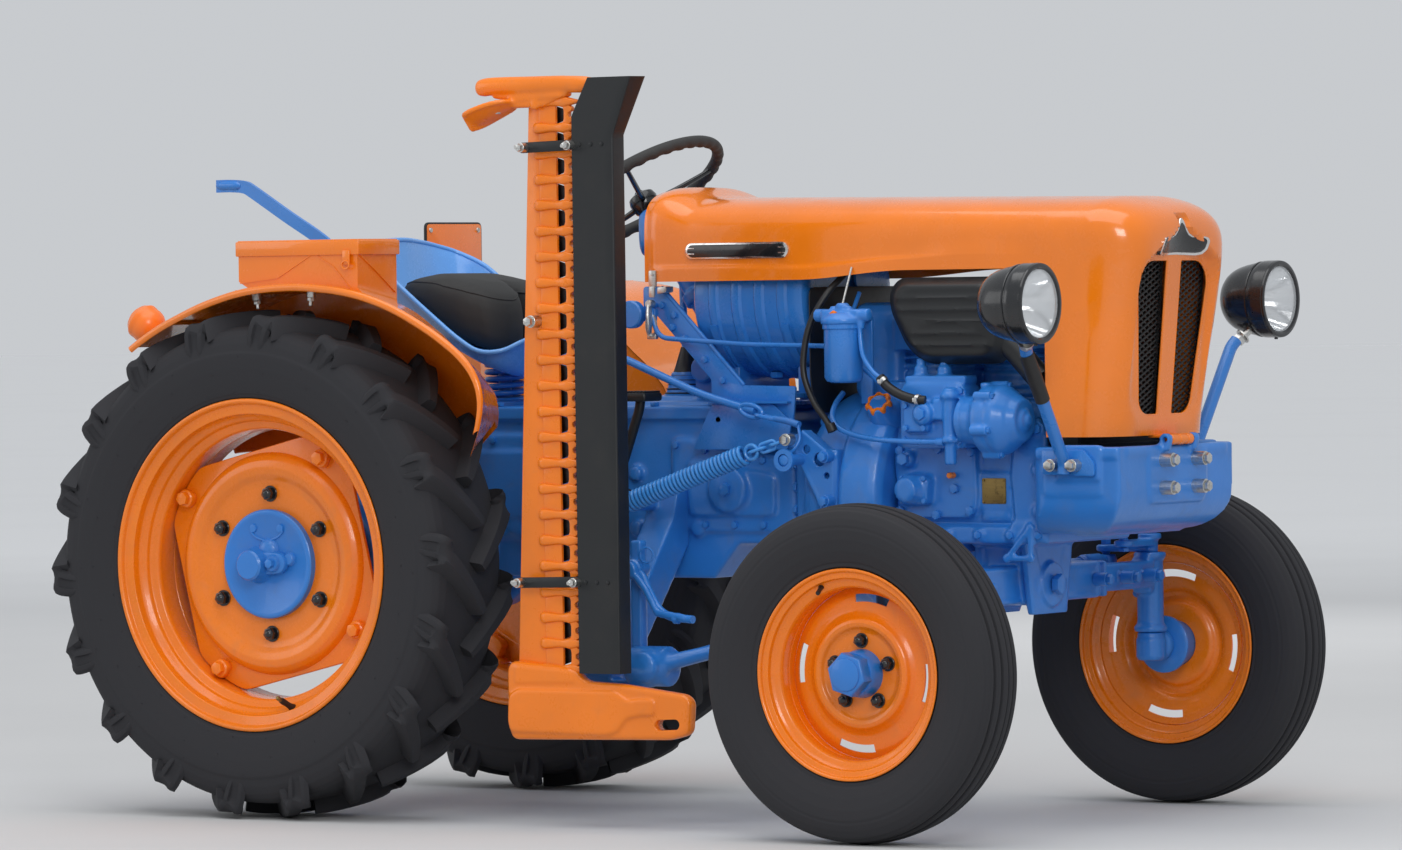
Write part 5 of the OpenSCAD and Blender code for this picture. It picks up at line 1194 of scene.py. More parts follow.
@dataclass
class Hood:
    """The tilting hood with its arched nose, grille, bare badges, latch and hinge."""

    rear_x: float = 711.0
    nose_rear_x: float = 1667.0
    front_x: float = 1842.0
    half_rear: float = 182.0
    half_front: float = 206.0
    top_z: float = 1240.0
    edge_z: float = 1077.0
    bottom_z: float = 765.0
    sheet: float = 3.0
    nose_round: float = 84.0
    lean: float = 29.0
    columns: int = 128

    def crown(self, x: np.ndarray) -> np.ndarray:
        """Height of the top along the hood: a slight fall to the front and the dome at the rear."""
        fall = 17 * (x - self.rear_x) / (self.front_x - self.rear_x)
        dome = 21 * (1 - smooth((x - self.rear_x - 34) / 84)) - 5 * (1 - smooth((x - self.rear_x) / 26))
        return self.top_z + 7 - fall + dome

    def low_edge(self, x: np.ndarray) -> np.ndarray:
        """Height of the side's lower edge, which rises over the silencer."""
        return self.edge_z + 16 * smooth((x - 1087) / 260)

    def inside(self, y: np.ndarray, z: np.ndarray) -> np.ndarray:
        """How far a point lies inside the arch round the grille, from 0 outside to 1.

        The arch is bounded by sides that draw in downwards, by a floor and by a roof with a peak in
        the middle; the nearest of the three counts, mixed softly, over a width of 17.
        """
        side = 152 - 0.05 * (1040 - z) - np.abs(y)
        roof = 1138 + 58 * np.exp(-np.abs(y) / 30) - 60 * (np.abs(y) / 152) ** 3.4 - z
        floor = z - 792 - 26 * (np.abs(y) / 140) ** 4
        near = -np.logaddexp(np.logaddexp(-side / 9, -roof / 9), -floor / 9) * 9
        return smooth(near / 17 + 0.15)

    def surface(self, depth: float) -> np.ndarray:
        """Grid of the hood's sheet.

        Each row is a section across the hood: over the top y follows sine ** 0.62 and the height
        cosine ** 0.5 of one angle, and the sides fall to the lower edge. In the nose the section
        draws in along a quarter circle, and the last rows close the front face towards the middle.

        Args:
            depth: Distance inwards from the outer face.

        Returns:
            Rows, columns and coordinates.
        """
        a = np.linspace(0, np.pi / 2, 9)
        b = np.linspace(0, np.pi / 2, 18)
        rear = np.linspace(self.rear_x, self.rear_x + 130, 24)
        middle = np.linspace(self.rear_x + 138, 1610, 40)
        corner = 1617 + 50 * np.sin(a)
        nose = np.linspace(self.nose_rear_x + 1, self.front_x - self.nose_round - 4, 10)
        bend = self.front_x - self.nose_round * (1 - np.sin(b))
        face = np.linspace(0.02, 1, 44)
        high = np.concatenate([rear, middle])
        x = np.concatenate([high, corner, nose, bend, np.full(len(face), self.front_x)])
        low = np.concatenate([self.low_edge(high), 1093 - 50 * (1 - np.cos(a)),
            np.full(len(nose) + len(bend) + len(face), self.bottom_z)])
        pull = np.concatenate([np.zeros(len(x) - len(face)), face])
        x, low, pull = x[:, None], low[:, None], pull[:, None]
        ahead = np.clip((x - self.nose_rear_x) / (self.front_x - self.nose_rear_x), 0, 1)
        d = np.maximum(0, x - (self.front_x - self.nose_round))
        draw = self.nose_round - np.sqrt(np.maximum(0, self.nose_round ** 2 - d ** 2))
        wide = self.half_rear + (self.half_front - self.half_rear) * np.clip(
            (x - self.rear_x) / (self.nose_rear_x - self.rear_x), 0, 1)
        tuck = 7 * (1 - smooth((x - self.rear_x) / 30))
        hw = wide - depth - draw - tuck
        top = self.crown(x) - depth - draw
        rise = 112 - 0.6 * draw
        v = np.linspace(-1, 1, self.columns + 1)[None, :]
        t = np.abs(v) * 1.6
        side = np.maximum(0, t - 1) / 0.6
        ang = np.pi / 2 * np.minimum(1, t)
        shoulder = top - rise
        z = np.where(t < 1, top - rise * (1 - np.sqrt(np.maximum(np.cos(ang), 0))), shoulder
            + (low - shoulder) * side)
        y = np.sign(v) * hw * np.sin(ang) ** 0.62 * (1 - 0.08 * ahead * side) * (1 - pull)
        swage = 3.2 * smooth((self.swage_z(x) - z) / 12 + 0.5) * smooth((x - 724) / 40) * (1
            - smooth((x - 1585) / 60))
        y = y + np.sign(v) * swage
        xx = x - depth * ahead + self.lean * ahead * (z - 1105) / 335 + 0 * v
        proud = 21 * smooth((z - 780) / 340) * smooth((x - 1772) / 66)
        deep = (4 + 19 * smooth((z - 780) / 340)) * self.inside(y, z) * smooth((x - 1790) / 40)
        return np.stack([xx + proud - deep, y, z], -1)

    def swage_z(self, x: np.ndarray) -> np.ndarray:
        """Height of the soft step along the side, which arches up over the silencer."""
        return self.low_edge(x) + 30 - 4 * smooth((x - 900) / 200) + 10 * smooth((x - 1330) / 160)

    def slot(self) -> np.ndarray:
        """Outline of the left grille slot as Y and Z: straight at the middle bar, round outside."""
        t = np.linspace(0, np.pi / 2, 10)
        low = np.stack([62 + 42 * np.sin(t), 842 - 38 * np.cos(t)], 1)
        high = np.stack([78 + 56 * np.cos(t), 1056 + 50 * np.sin(t)], 1)
        near_top = np.stack([31 - 6 * np.sin(t), 1100 + 6 * np.cos(t)], 1)
        near_low = np.stack([31 - 6 * np.cos(t), 810 - 6 * np.sin(t)], 1)
        return np.vstack([low, high, near_top, near_low])

    def front_at(self, y: float, z: float) -> float:
        """X of the sheet inside the arch at a point of the front."""
        base = self.front_x + self.lean * (z - 1105) / 335
        recess = float(self.inside(np.array(y), np.array(z)))
        lip = float(smooth((z - 780) / 340))
        return base + 21 * lip - (4 + 19 * lip) * recess

    def sheet_piece(self, bench: Bench) -> None:
        """The hood's sheet with its two slots cut."""
        skin = shell(self.surface(0.0), self.surface(self.sheet), open_end=True)
        obj = bench.piece("hood_sheet", skin, Finish.ORANGE_SHEET, ("hood",), body="hood")
        outline = self.slot()
        for hand in (1, -1):
            bench.cut(obj, prism(outline * [hand, 1], 1780, 1900, 0.5, Plane.YZ))
        obj.data.shade_smooth()
        obj.data.set_sharp_from_angle(angle=math.radians(38))

    def lip(self) -> Skin:
        """Rolled edge of each slot, drawn along its outline."""
        rims = []
        for hand in (1, -1):
            o = self.slot()
            x = np.array([self.front_at(y, z) - 2.0 for y, z in o])
            rims.append(tube(np.stack([x, hand * o[:, 0], o[:, 1]], 1), 2.6, 8, loop=True))
        return joined(rims)

    def mesh(self) -> Skin:
        """Expanded mesh behind the slots: wavy strands whose waves alternate from row to row.

        A strand is a flat bar along z = row + 2.7 * cos(2 pi y / 26) * (1 or -1).
        """
        strands = []
        y = np.linspace(22, 138, 58)
        for k, z in enumerate(np.arange(800.0, 1112.0, 5.9)):
            wave = (1 if k % 2 else -1) * np.cos(2 * np.pi * y / 26)
            x = self.front_x - 17 + self.lean * (z - 1105) / 335 + 1.6 * wave
            path = np.stack([x, y, z + 2.7 * wave], 1)
            strands.append(tube(path, 2.1, 6, flat=0.55))
            strands.append(tube(path * [1, -1, 1], 2.1, 6, flat=0.55))
        return joined(strands)

    def mesh_frame(self) -> Skin:
        """Dark plate frame that holds the mesh inside the nose."""
        frame_skins = []
        for z in (794.0, 1114.0):
            x = self.front_x - 20 + self.lean * (z - 1105) / 335
            frame_skins.append(block((x - 2, -142, z - 5), (x + 2, 142, z + 5), 1.2))
        for y in (-140.0, -19.0, 19.0, 140.0):
            path = np.array([[self.front_x - 20 + self.lean * (z - 1105) / 335, y, z]
                for z in (792.0, 1116.0)])
            frame_skins.append(ribbon(path, Y_AXIS, 9.0, 3.0))
        return joined(frame_skins)

    def nose_badge(self) -> tuple[Skin, Skin]:
        """Bare winged badge under the peak: a bright rim and a dark field."""
        half = [(0, 1188), (7, 1182), (15, 1168), (25, 1157), (40, 1151), (66, 1151), (82, 1148),
            (88, 1141), (88, 1124), (81, 1115), (66, 1113), (36, 1114), (0, 1115)]
        outline = np.array(half + [(-y, z) for y, z in reversed(half[1:-1])], float)
        outline = rounded(outline, 3.0, 4)

        sheet = bpy.data.objects["hood_sheet"]

        spots = [(y, z) for y in np.linspace(-84, 84, 15) for z in (1117, 1126, 1135, 1146)]
        spots += [(y, z) for y in (-14, -7, 0, 7, 14) for z in (1156, 1166, 1176)]
        terms, depth = [], []
        for y, z in spots:
            hit, place, _, _ = sheet.ray_cast(Vector((1.4, y * MM, z * MM)), Vector((-1, 0, 0)))
            if hit:
                terms.append((1.0, z - 1137, y * y, (z - 1137) ** 2))
                depth.append(place.x / MM + SHIFT_X)
        fit = np.linalg.lstsq(np.array(terms), np.array(depth), rcond=None)[0]
        fit[0] += min(6.0, float(np.max(np.array(depth) - np.array(terms) @ fit)))

        def laid(low: float, high: float, line: np.ndarray, edge: float) -> Skin:
            """A plate on the curve that fits the sheet, as rings of its outline to its middle."""
            rows = []
            for size, lift in ((0.0, low), (1.0, low), (1.0, high - edge), (0.985, high), (0.0, high)):
                steps = [size] if size else [0.0]
                if lift == high and size == 0.0:
                    steps = [0.8, 0.6, 0.4, 0.2, 0.001]
                for k in steps:
                    ring = np.stack([line[:, 0] * k, 1137 + (line[:, 1] - 1137) * k], 1)
                    up = ring[:, 1] - 1137
                    x = np.stack([1 + 0 * up, up, ring[:, 0] ** 2, up ** 2], 1) @ fit
                    rows.append(np.stack([x + lift, ring[:, 0], ring[:, 1]], 1))
            return grid(np.array(rows), around=True, ends=True)

        inner = np.array([(y * 0.91, 1138 + (z - 1138) * 0.8) for y, z in outline])
        return laid(-11.0, 2.6, outline, 1.6), laid(0.0, 3.4, inner, 0.4)

    def side_badge(self) -> tuple[Skin, Skin]:
        """Bare name strip with round ends on the side: a bright rim and a dark field on the sheet."""
        def laid(skin: Skin) -> Skin:
            p = skin.points.copy()
            p[:, 1] -= 185.0 + (p[:, 0] - 818) * 0.025 + 0.0006 * np.maximum(0, p[:, 2] - 1120) ** 2
            return Skin(p, skin.faces)

        rim = laid(prism(link_outline((835, 1137), (1053, 1137), 16.5), -4.2, 4, 1.6))
        field = laid(prism(link_outline((837, 1137), (1051, 1137), 12.5), -4.9, 0, 0.4))
        return rim, field

    def strip_lines(self) -> Skin:
        """Two plain raised lines at each end of the side badge."""
        lines = []
        for x in (826, 1046):
            for z in (1131.5, 1142.5):
                lines.append(block((x, -190.5, z - 1.3), (x + 16, -186, z + 1.3), 0.8))
        moved_lines = []
        for line in lines:
            p = line.points.copy()
            p[:, 1] -= (p[:, 0] - 818) * 0.025 + 0.4
            moved_lines.append(Skin(p, line.faces))
        return joined(moved_lines)

    def latch(self) -> tuple[Skin, Skin]:
        """Toggle latch at the rear corner: plate on the sheet, and the catch with its loop below."""
        plate = [prism(rounded([(729, 1066), (747, 1066), (747, 1100), (729, 1100)], 4), -188.5, -185,
            0.8), prism(rounded([(731, 1046), (745, 1046), (745, 1068), (731, 1068)], 3), -191, -188, 0.8),
            turned([(0, 0), (4, 0), (3.4, 2.4), (0, 3)], (738, -188, 1092), -Y_AXIS, 16)]
        bracket = [prism(rounded([(752, 1052), (774, 1056), (774, 1068), (752, 1066)], 3), -192, -166, 1.0)]
        on_hood = joined(plate + bracket)
        body = [tube(curve([(735, -196, 1030), (737, -200, 1012), (737, -199, 990), (734, -194, 974)], 20),
            np.concatenate([np.linspace(8, 9.5, 8), np.linspace(9.5, 6, 12)]), 14, flat=0.55),
            lathe([(7, -9), (8.5, -5), (8.5, 5), (7, 9)], (735, -192, 1033), Y_AXIS, 24),
            tube([[735 + 12 * math.cos(t), -190, 990 + 22 * math.sin(t)] for t in full_turn(28)], 2.4, 8,
            loop=True), block((724, -190, 962), (746, -180, 974), 2)]
        return on_hood, joined(body)

    def hinge(self) -> Skin:
        """Orange hinge barrel under the nose with three raised rings, and the leaf that carries it."""
        leaf = block((1800, -44, 760), (1838, 44, 766), 2)
        barrel = turned(rounded([(0, -41), (9.5, -41), (9.5, 41), (0, 41)], 1.2), (1846, 0, 757), Y_AXIS,
            24)
        rings = [turned([(9.4, a - 1), (10.6, a), (10.6, a + 16), (9.4, a + 17)], (1846, 0, 757), Y_AXIS,
            24, True) for a in (-38, -8, 22)]
        return joined([leaf, barrel] + rings + [block((1826, -34, 755), (1846, 34, 763), 2)])

    def build(self, bench: Bench) -> None:
        """Makes the hood's pieces."""
        self.sheet_piece(bench)
        bench.piece("grille_lip", self.lip(), Finish.ORANGE_SHEET, body="hood")
        bench.piece("grille_mesh", self.mesh(), Finish.BLACK_SHEET, ("grille",), body="hood")
        bench.piece("grille_frame", self.mesh_frame(), Finish.BLACK_SHEET, body="hood")
        rim, field_skin = self.nose_badge()
        bench.piece("nose_badge_rim", rim, Finish.CHROME, body="hood")
        bench.piece("nose_badge_field", field_skin, Finish.BLACK_GLOSS, body="hood")
        for name, hand in (("right", False), ("left", True)):
            rim, field_skin = self.side_badge()
            lines = self.strip_lines()
            if hand:
                rim, field_skin, lines = rim.mirrored(), field_skin.mirrored(), lines.mirrored()
            bench.piece(f"side_badge_rim_{name}", rim + lines, Finish.CHROME, body="hood")
            bench.piece(f"side_badge_field_{name}", field_skin, Finish.BLACK_GLOSS, body="hood")
        plate, catch = self.latch()
        bench.piece("latch_plate", both_sides(plate), Finish.ZINC, body="hood")
        bench.piece("latch_catch", both_sides(catch), Finish.ZINC)
        bench.piece("hood_hinge", self.hinge(), Finish.ORANGE_CAST, body="hood")


@dataclass
class CutterBar:
    """The raised sickle bar: finger bar, knife, folded guard, straps and both shoes."""

    bar_x: float = 650.0
    bar_width: float = 58.0
    face_y: float = -520.0
    back_y: float = -508.0
    low_z: float = 338.0
    first_z: float = 316.2
    pitch: float = 50.8
    count: int = 23
    guard_x: float = 797.0

    @property
    def high_z(self) -> float:
        """Upper end of the bar."""
        return self.first_z + (self.count - 1) * self.pitch + 8

    def finger(self) -> Skin:
        """One forged finger at height 0.

        Its section is a rounded rectangle; half its height runs through given values along X, and it
        rises from the bar to a ridge that is lowest at the neck over the opening.
        """
        stations = np.array([[688, 3.6, 3.0], [689.5, 8.6, 6.5], [693, 10.4, 9.0], [700, 11.0, 11.5],
            [712, 9.8, 11.0], [728, 8.0, 9.5], [742, 7.8, 9.2], [752, 9.4, 10.0], [760, 11.2, 11.0],
            [768, 9.6, 10.8], [780, 7.0, 9.5], [792, 4.0, 7.0], [799, 1.4, 4.0]])
        x = np.concatenate([np.linspace(a, b, 3, endpoint=False) for a, b in zip(stations[:-1, 0],
            stations[1:, 0])])
        h, r = (np.interp(x, stations[:, 0], stations[:, k])[:, None] for k in (1, 2))
        a = full_turn(18)[None, :]
        c, s = np.cos(a), np.sin(a)
        z = h * np.sign(c) * np.abs(c) ** 0.7
        y = self.face_y + 6 - (r + 6) * (0.5 + 0.5 * np.sign(s) * np.abs(s) ** 0.75)
        return grid(np.stack([x[:, None] + 0 * a, y, z], -1), around=True, ends=True)

    def fingers(self) -> Skin:
        """All fingers, with the webs between them and the scalloped strip under the guard's edge."""
        one = self.finger()
        made = []
        for i in range(self.count):
            z = self.first_z + i * self.pitch
            made.append(one.moved((0, 0, z)))
            if i % 5 == 3:
                made.append(block((704, self.face_y - 3, z + 9), (733, self.face_y + 2, z + 15), 1.5))
        for i in range(self.count - 1):
            mid = self.first_z + (i + 0.5) * self.pitch
            made.append(prism(rectangle(700, mid - 25, 741, mid + 25, 4), self.face_y - 2.5, self.face_y
                + 5, 1.2))
            edge = [(758, mid - 20), (774, mid - 19), (782, mid - 14), (782, mid - 8), (773, mid - 4),
                (773, mid + 4), (782, mid + 8), (782, mid + 14), (774, mid + 19), (758, mid + 20),
                (763, mid + 9), (763, mid - 9)]
            made.append(prism(rounded(edge, 2.5, 3), self.face_y - 6, self.face_y + 6, 1.2))
        return joined(made)

    def bar(self) -> Skin:
        """The flat bar, which tapers towards its outer end, with the fingers' bolt ends on its back."""
        x1 = self.bar_x + self.bar_width
        taper = [(self.bar_x - 18, self.low_z - 14), (x1, self.low_z - 14), (x1, self.high_z),
            (self.bar_x + 25, self.high_z)]
        flat = prism(rounded(taper, 3), self.face_y, self.back_y, 1.6)
        ends = [lathe([(6.5, 0), (5.6, 2.4), (2.5, 3.2)], (708, self.back_y, self.first_z + i
            * self.pitch), Y_AXIS, 14) for i in range(self.count)]
        return joined([flat] + ends)

    def knife(self) -> Skin:
        """Knife back with a section in front of every gap; each section has two bevelled sides."""
        made = [block((686, self.back_y, self.low_z + 10), (707, self.back_y + 5, self.high_z - 20), 1)]
        for i in range(self.count - 1):
            z = self.first_z + (i + 0.5) * self.pitch
            tooth = [(704, z - 24), (712, z - 24.5), (768, z - 6), (768, z + 6), (712, z + 24.5),
                (704, z + 24)]
            made.append(prism(tooth, self.back_y, self.back_y + 3, 1.0))
            for s in (-10, 10):
                made.append(turned([(0, 0), (3.6, 0), (2.8, 1.8), (0, 2.2)], (712, self.back_y + 3, z + s),
                    Y_AXIS, 10))
        return joined(made)

    def guard(self) -> Skin:
        """Folded sheet over the finger tips, drawn as one section carried up the bar.

        The section runs from the near side round the front to the far side. At the top the front
        wall leans forward and the near side is cut back along a slope.
        """
        x0 = self.guard_x
        z = np.concatenate([[310.0, 311.5], np.linspace(320, 1352, 20), np.linspace(1356, 1476, 14),
            [1479.0]])
        lean = 62 * np.clip((z - 1366) / 114, 0, 1)
        cut = 40 * np.clip((z - 1404) / 76, 0, 1)
        near, far = -548.0, -505.0

        def wall(depth: float) -> np.ndarray:
            rows = []
            for k, height in enumerate(z):
                front = x0 + 97 + lean[k] * 0.7 - depth
                left = x0 + cut[k]
                line = [(left, near + depth), (left + 24, near + depth), (left + 52, near + depth),
                    (front - 22, near + depth)]
                for t in np.linspace(0, np.pi / 2, 6):
                    line.append((front - 5 + 5 * math.sin(t), near + depth + 5 - 5 * math.cos(t)))
                line.append((front + 0.16 * lean[k], far - depth - 8))
                for t in np.linspace(0, np.pi / 2, 5):
                    line.append((front - 5 + 5 * math.cos(t) + 0.16 * lean[k], far - depth - 5 + 5
                        * math.sin(t)))
                line += [(front - 40, far - depth), (left + 10, far - depth)]
                rows.append([(a, b, height) for a, b in line])
            return np.array(rows)

        return shell(wall(0.0), wall(2.4))

    def guard_rivets(self) -> Skin:
        """Three flat rivets beside each strap."""
        head = [(0, 0), (4.6, 0), (4.0, 1.6), (2.0, 2.3), (0, 2.4)]
        return joined([turned(head, (x, -548, z), -Y_AXIS, 14) for z in (1348, 489)
            for x in (815, 842, 868)])

    def straps(self) -> tuple[Skin, Skin]:
        """Two flat straps round the bar, and their zinc bolts."""
        bands, bolts = [], []
        for z, left in ((1346, 679), (488, 655)):
            outline = link_outline((left - 2, z - 1.5), (792, z + 1.5), 10.5)
            bands.append(prism(outline, -547, -543.5, 0.8))
            bands.append(prism(outline, -503, -499.5, 0.8))
            for x in (left, 790):
                bolts.append(bolt((x + 5, -545, z + (0.8 if x > 700 else -1.4)), -Y_AXIS, 13, 7, 20))
                bolts.append(rod_end((x, -499, z), Y_AXIS, 4, 10))
                bolts.append(rod_end((x, -548, z), Y_AXIS, 4, 50, 0.5))
        return joined(bands), joined(bolts)

    def inner_shoe(self) -> list[Skin]:
        """Inner shoe: rounded runner, bevelled raised panel with its notch, and the hinge lugs."""
        base = rounded([(612, 205), (622, 175), (1000, 182), (1046, 194), (1051, 258), (1036, 272),
            (886, 290), (800, 294), (772, 320), (690, 326), (624, 331), (612, 318)], 14, 5)
        panel = rounded([(622, 190), (854, 188), (880, 196), (902, 222), (930, 228), (968, 230),
            (968, 262), (930, 262), (906, 258), (874, 276), (640, 276), (618, 262), (616, 210)], 9, 4)
        ridge = rounded([(630, 286), (780, 290), (770, 314), (634, 324)], 8, 3)
        lugs = []
        for dx in (10, 200):
            lugs.append(turned([(10, 0), (18, 0), (18, 26), (10, 26)], (self.bar_x + dx, -478, 247),
                X_AXIS, 28, True))
            lugs.append(block((self.bar_x + dx, -511, 229), (self.bar_x + dx + 26, -490, 265), 5))
        return [prism(base, -536, self.back_y, 8.0), prism(panel, -542, -530, 4.5),
            prism(ridge, -538.5, -530, 3.0)] + lugs

    def outer_shoe(self) -> list[Skin]:
        """Outer shoe: the long rounded runner on top, its foot on the bar and the dished tongue."""
        path = curve([(556, -528, 1465), (600, -530, 1468), (680, -529, 1468), (760, -526, 1468),
            (820, -522, 1466), (852, -518, 1463)], 40)
        t = np.linspace(0, 1, 40)
        bulk = np.interp(t, [0, 0.03, 0.1, 0.3, 0.75, 0.95, 1], [7, 12, 13.5, 13.5, 12.5, 9, 4])
        runner = tube(path, bulk, 20, flat=1.35)
        foot = prism(rounded([(640, 1424), (716, 1424), (776, 1446), (770, 1460), (640, 1460)], 6), -533,
            -507, 5)
        neck = prism(rounded([(596, 1444), (660, 1436), (764, 1440), (764, 1452), (600, 1458)], 5), -536,
            -512, 4)
        u = np.linspace(0, 1, 22)[:, None]
        v = np.linspace(-1, 1, 17)[None, :]
        half = 32 * np.sqrt(np.clip(1 - ((u - 0.55) / 0.47) ** 4, 0.03, 1)) * (1 - 0.25 * (u < 0.55)
            * (0.55 - u))
        x = 652 - 104 * u + 0 * v
        y = -528 - 20 * u + half * v
        z = 1438 - 38 * u ** 1.3 - 7 * (1 - v ** 2) * np.sin(np.pi * np.clip(u, 0, 1)) - 13 * v * np.sqrt(u)
        top = np.stack([x, y, z], -1)
        tongue = shell(top, top - [0, 0, 7])
        rim_path = np.vstack([top[:, 0], top[-1, 1:-1], top[::-1, -1]])
        rim = tube(rim_path - [0, 0, 3], 5.4, 10)
        boss = block((688, -536, 1420), (706, -507, 1440), 4)
        return [runner, foot, neck, tongue, rim, boss]

    def build(self, bench: Bench) -> None:
        """Makes the bar's pieces; all ride on the folding bar."""
        bench.piece("sickle_bar", self.bar(), Finish.ORANGE_CAST, ("finger_bar",), body="cutter_bar")
        bench.piece("sickle_fingers", self.fingers(), Finish.ORANGE_CAST, body="cutter_bar")
        bench.piece("sickle_knife", self.knife(), Finish.OILED, ("knife",), body="cutter_bar")
        bench.piece("sickle_guard", self.guard() + self.guard_rivets(), Finish.BLACK_SHEET,
            ("knife_guard",), body="cutter_bar")
        bands, bolts = self.straps()
        bench.piece("guard_straps", bands, Finish.BLACK_SHEET, body="cutter_bar")
        steel = bolts + bolt((689, self.face_y, 1002), -Y_AXIS, 17, 12, 26) + bolt(
            (612, -536, 1432), -Z_AXIS, 10, 5, 14)
        bench.piece("sickle_bolts", steel, Finish.ZINC, body="cutter_bar")
        shoe = bench.casting("shoe_inner", (), Finish.ORANGE_CAST, self.inner_shoe(), 3.0, 3,
            replaces=("inner_shoe",), body="cutter_bar")
        bench.cut(shoe, prism(link_outline((976, 211), (1014, 213), 10.5), -560, -490, 0.5))
        bench.casting("shoe_outer", (), Finish.ORANGE_CAST, self.outer_shoe(), 3.0, 3,
            replaces=("outer_shoe",), body="cutter_bar")


@dataclass
class MowerLinkage:
    """What holds and drives the bar on the chassis: arm, crank, head, balance spring and chain."""

    wire: float = 4.0
    coil: float = 17.5

    def spring(self) -> Skin:
        """The close-wound balance spring with a round eye at each end."""
        a, b = np.array([757.0, -313, 637]), np.array([1027.0, -295, 733])
        coil = helix(tuple(a), tuple(b), self.coil, self.wire, 31, 18, 9)
        along = unit(b - a)
        eyes = []
        for end, way in ((a, -1), (b, 1)):
            centre = end + along * way * 15
            turn = full_turn(22)
            across = np.cross(along, Y_AXIS)
            ring = centre + 14 * np.cos(turn)[:, None] * along + 14 * np.sin(turn)[:, None] * across
            eyes.append(tube(ring, self.wire, 10, loop=True))
        return joined([coil] + eyes)

    def chain(self) -> Skin:
        """Three chain links from the spring to the bracket on the engine, each a quarter turn on."""
        a, b = np.array([1040.0, -294, 738]), np.array([1106.0, -272, 760])
        along = unit(b - a)
        side = unit(np.cross(along, Z_AXIS))
        up = np.cross(side, along)
        links = []
        for k in range(3):
            centre = a + (b - a) * (0.18 + 0.32 * k)
            wide = (side, up)[k % 2]
            turn = full_turn(24)
            long = 9 * np.sign(np.cos(turn)) * (np.abs(np.cos(turn)) > 0.05)
            ring = centre + (long + 8 * np.cos(turn))[:, None] * along + 9 * np.sin(turn)[:, None] * wide
            links.append(tube(ring, 3.4, 9, loop=True))
        return joined(links)

    def crank(self) -> Skin:
        """Bent hand crank with its round head, and the small ring through it."""
        rod = bent_bar([(840, -414, 510), (862, -420, 500), (880, -425, 470), (908, -432, 432),
            (940, -438, 417), (1000, -447, 414)], 8.0, 24, 14)
        head = lathe([(17, -14), (20, -10), (20, 10), (17, 14)], (840, -412, 510), Y_AXIS, 30)
        turn = full_turn(26)
        ring = np.stack([870 + 13 * np.cos(turn), -416 + 4 * np.cos(turn), 538 + 15 * np.sin(turn)], 1)
        collar = lathe([(11, 0), (11, 10)], (952, -440, 415.5), X_AXIS, 20)
        return joined([rod, head, tube(ring, 2.2, 8, loop=True), collar])

    def head(self) -> Skin:
        """Domed crank head with its side boss, and the shaft that runs forward and inwards from it."""
        dome = turned([(0, 52), (10, 51), (24, 46), (34, 36), (40, 20), (42, 0), (40, -24), (34, -30),
            (0, -30)], (868, -424, 318), X_AXIS, 40)
        boss = turned([(0, 0), (30, 0), (32, 4), (32, 26), (28, 32), (14, 36), (0, 37)], (884, -428, 318),
            -Y_AXIS, 36)
        rod = tube([[900, -426, 322], [960, -364, 341], [1040, -282, 366], [1136, -200, 398]],
            np.array([17.0, 14.0, 13.0, 14.0]), 18)
        nut = lathe([(19, 0), (19, 12), (16, 14)], (1000, -323, 353), [0.66, 0.72, 0.2], 24)
        return joined([dome, boss, rod, nut])

    def build(self, bench: Bench) -> None:
        """Makes the linkage's pieces."""
        bench.casting("mower_bracket", ("mower_arm",), Finish.BLUE_CAST,
            [lathe([(24, 0), (24, 26)], (687, -478, 247), X_AXIS, 30),
            lathe([(24, 0), (24, 26)], (823, -478, 247), X_AXIS, 30)], 4.0, 3)
        bench.casting("mower_gearing", ("mower_drive",), Finish.BLUE_CAST, [self.head()], 4.0, 3)
        bench.piece("mower_crank", self.crank(), Finish.BLUE_SHEET)
        # The spring and its chain take the lighter blue: a painted highlight.
        bench.piece("balance_spring", self.spring() + self.chain(), Finish.BLUE_LIGHT, ("lift_spring",))
        pins = bolt((1113, -262, 762), -Y_AXIS, 17, 9, 20) + bolt((728, -326, 628), -Y_AXIS, 17, 9, 20)
        bench.piece("spring_pins", pins, Finish.ZINC)


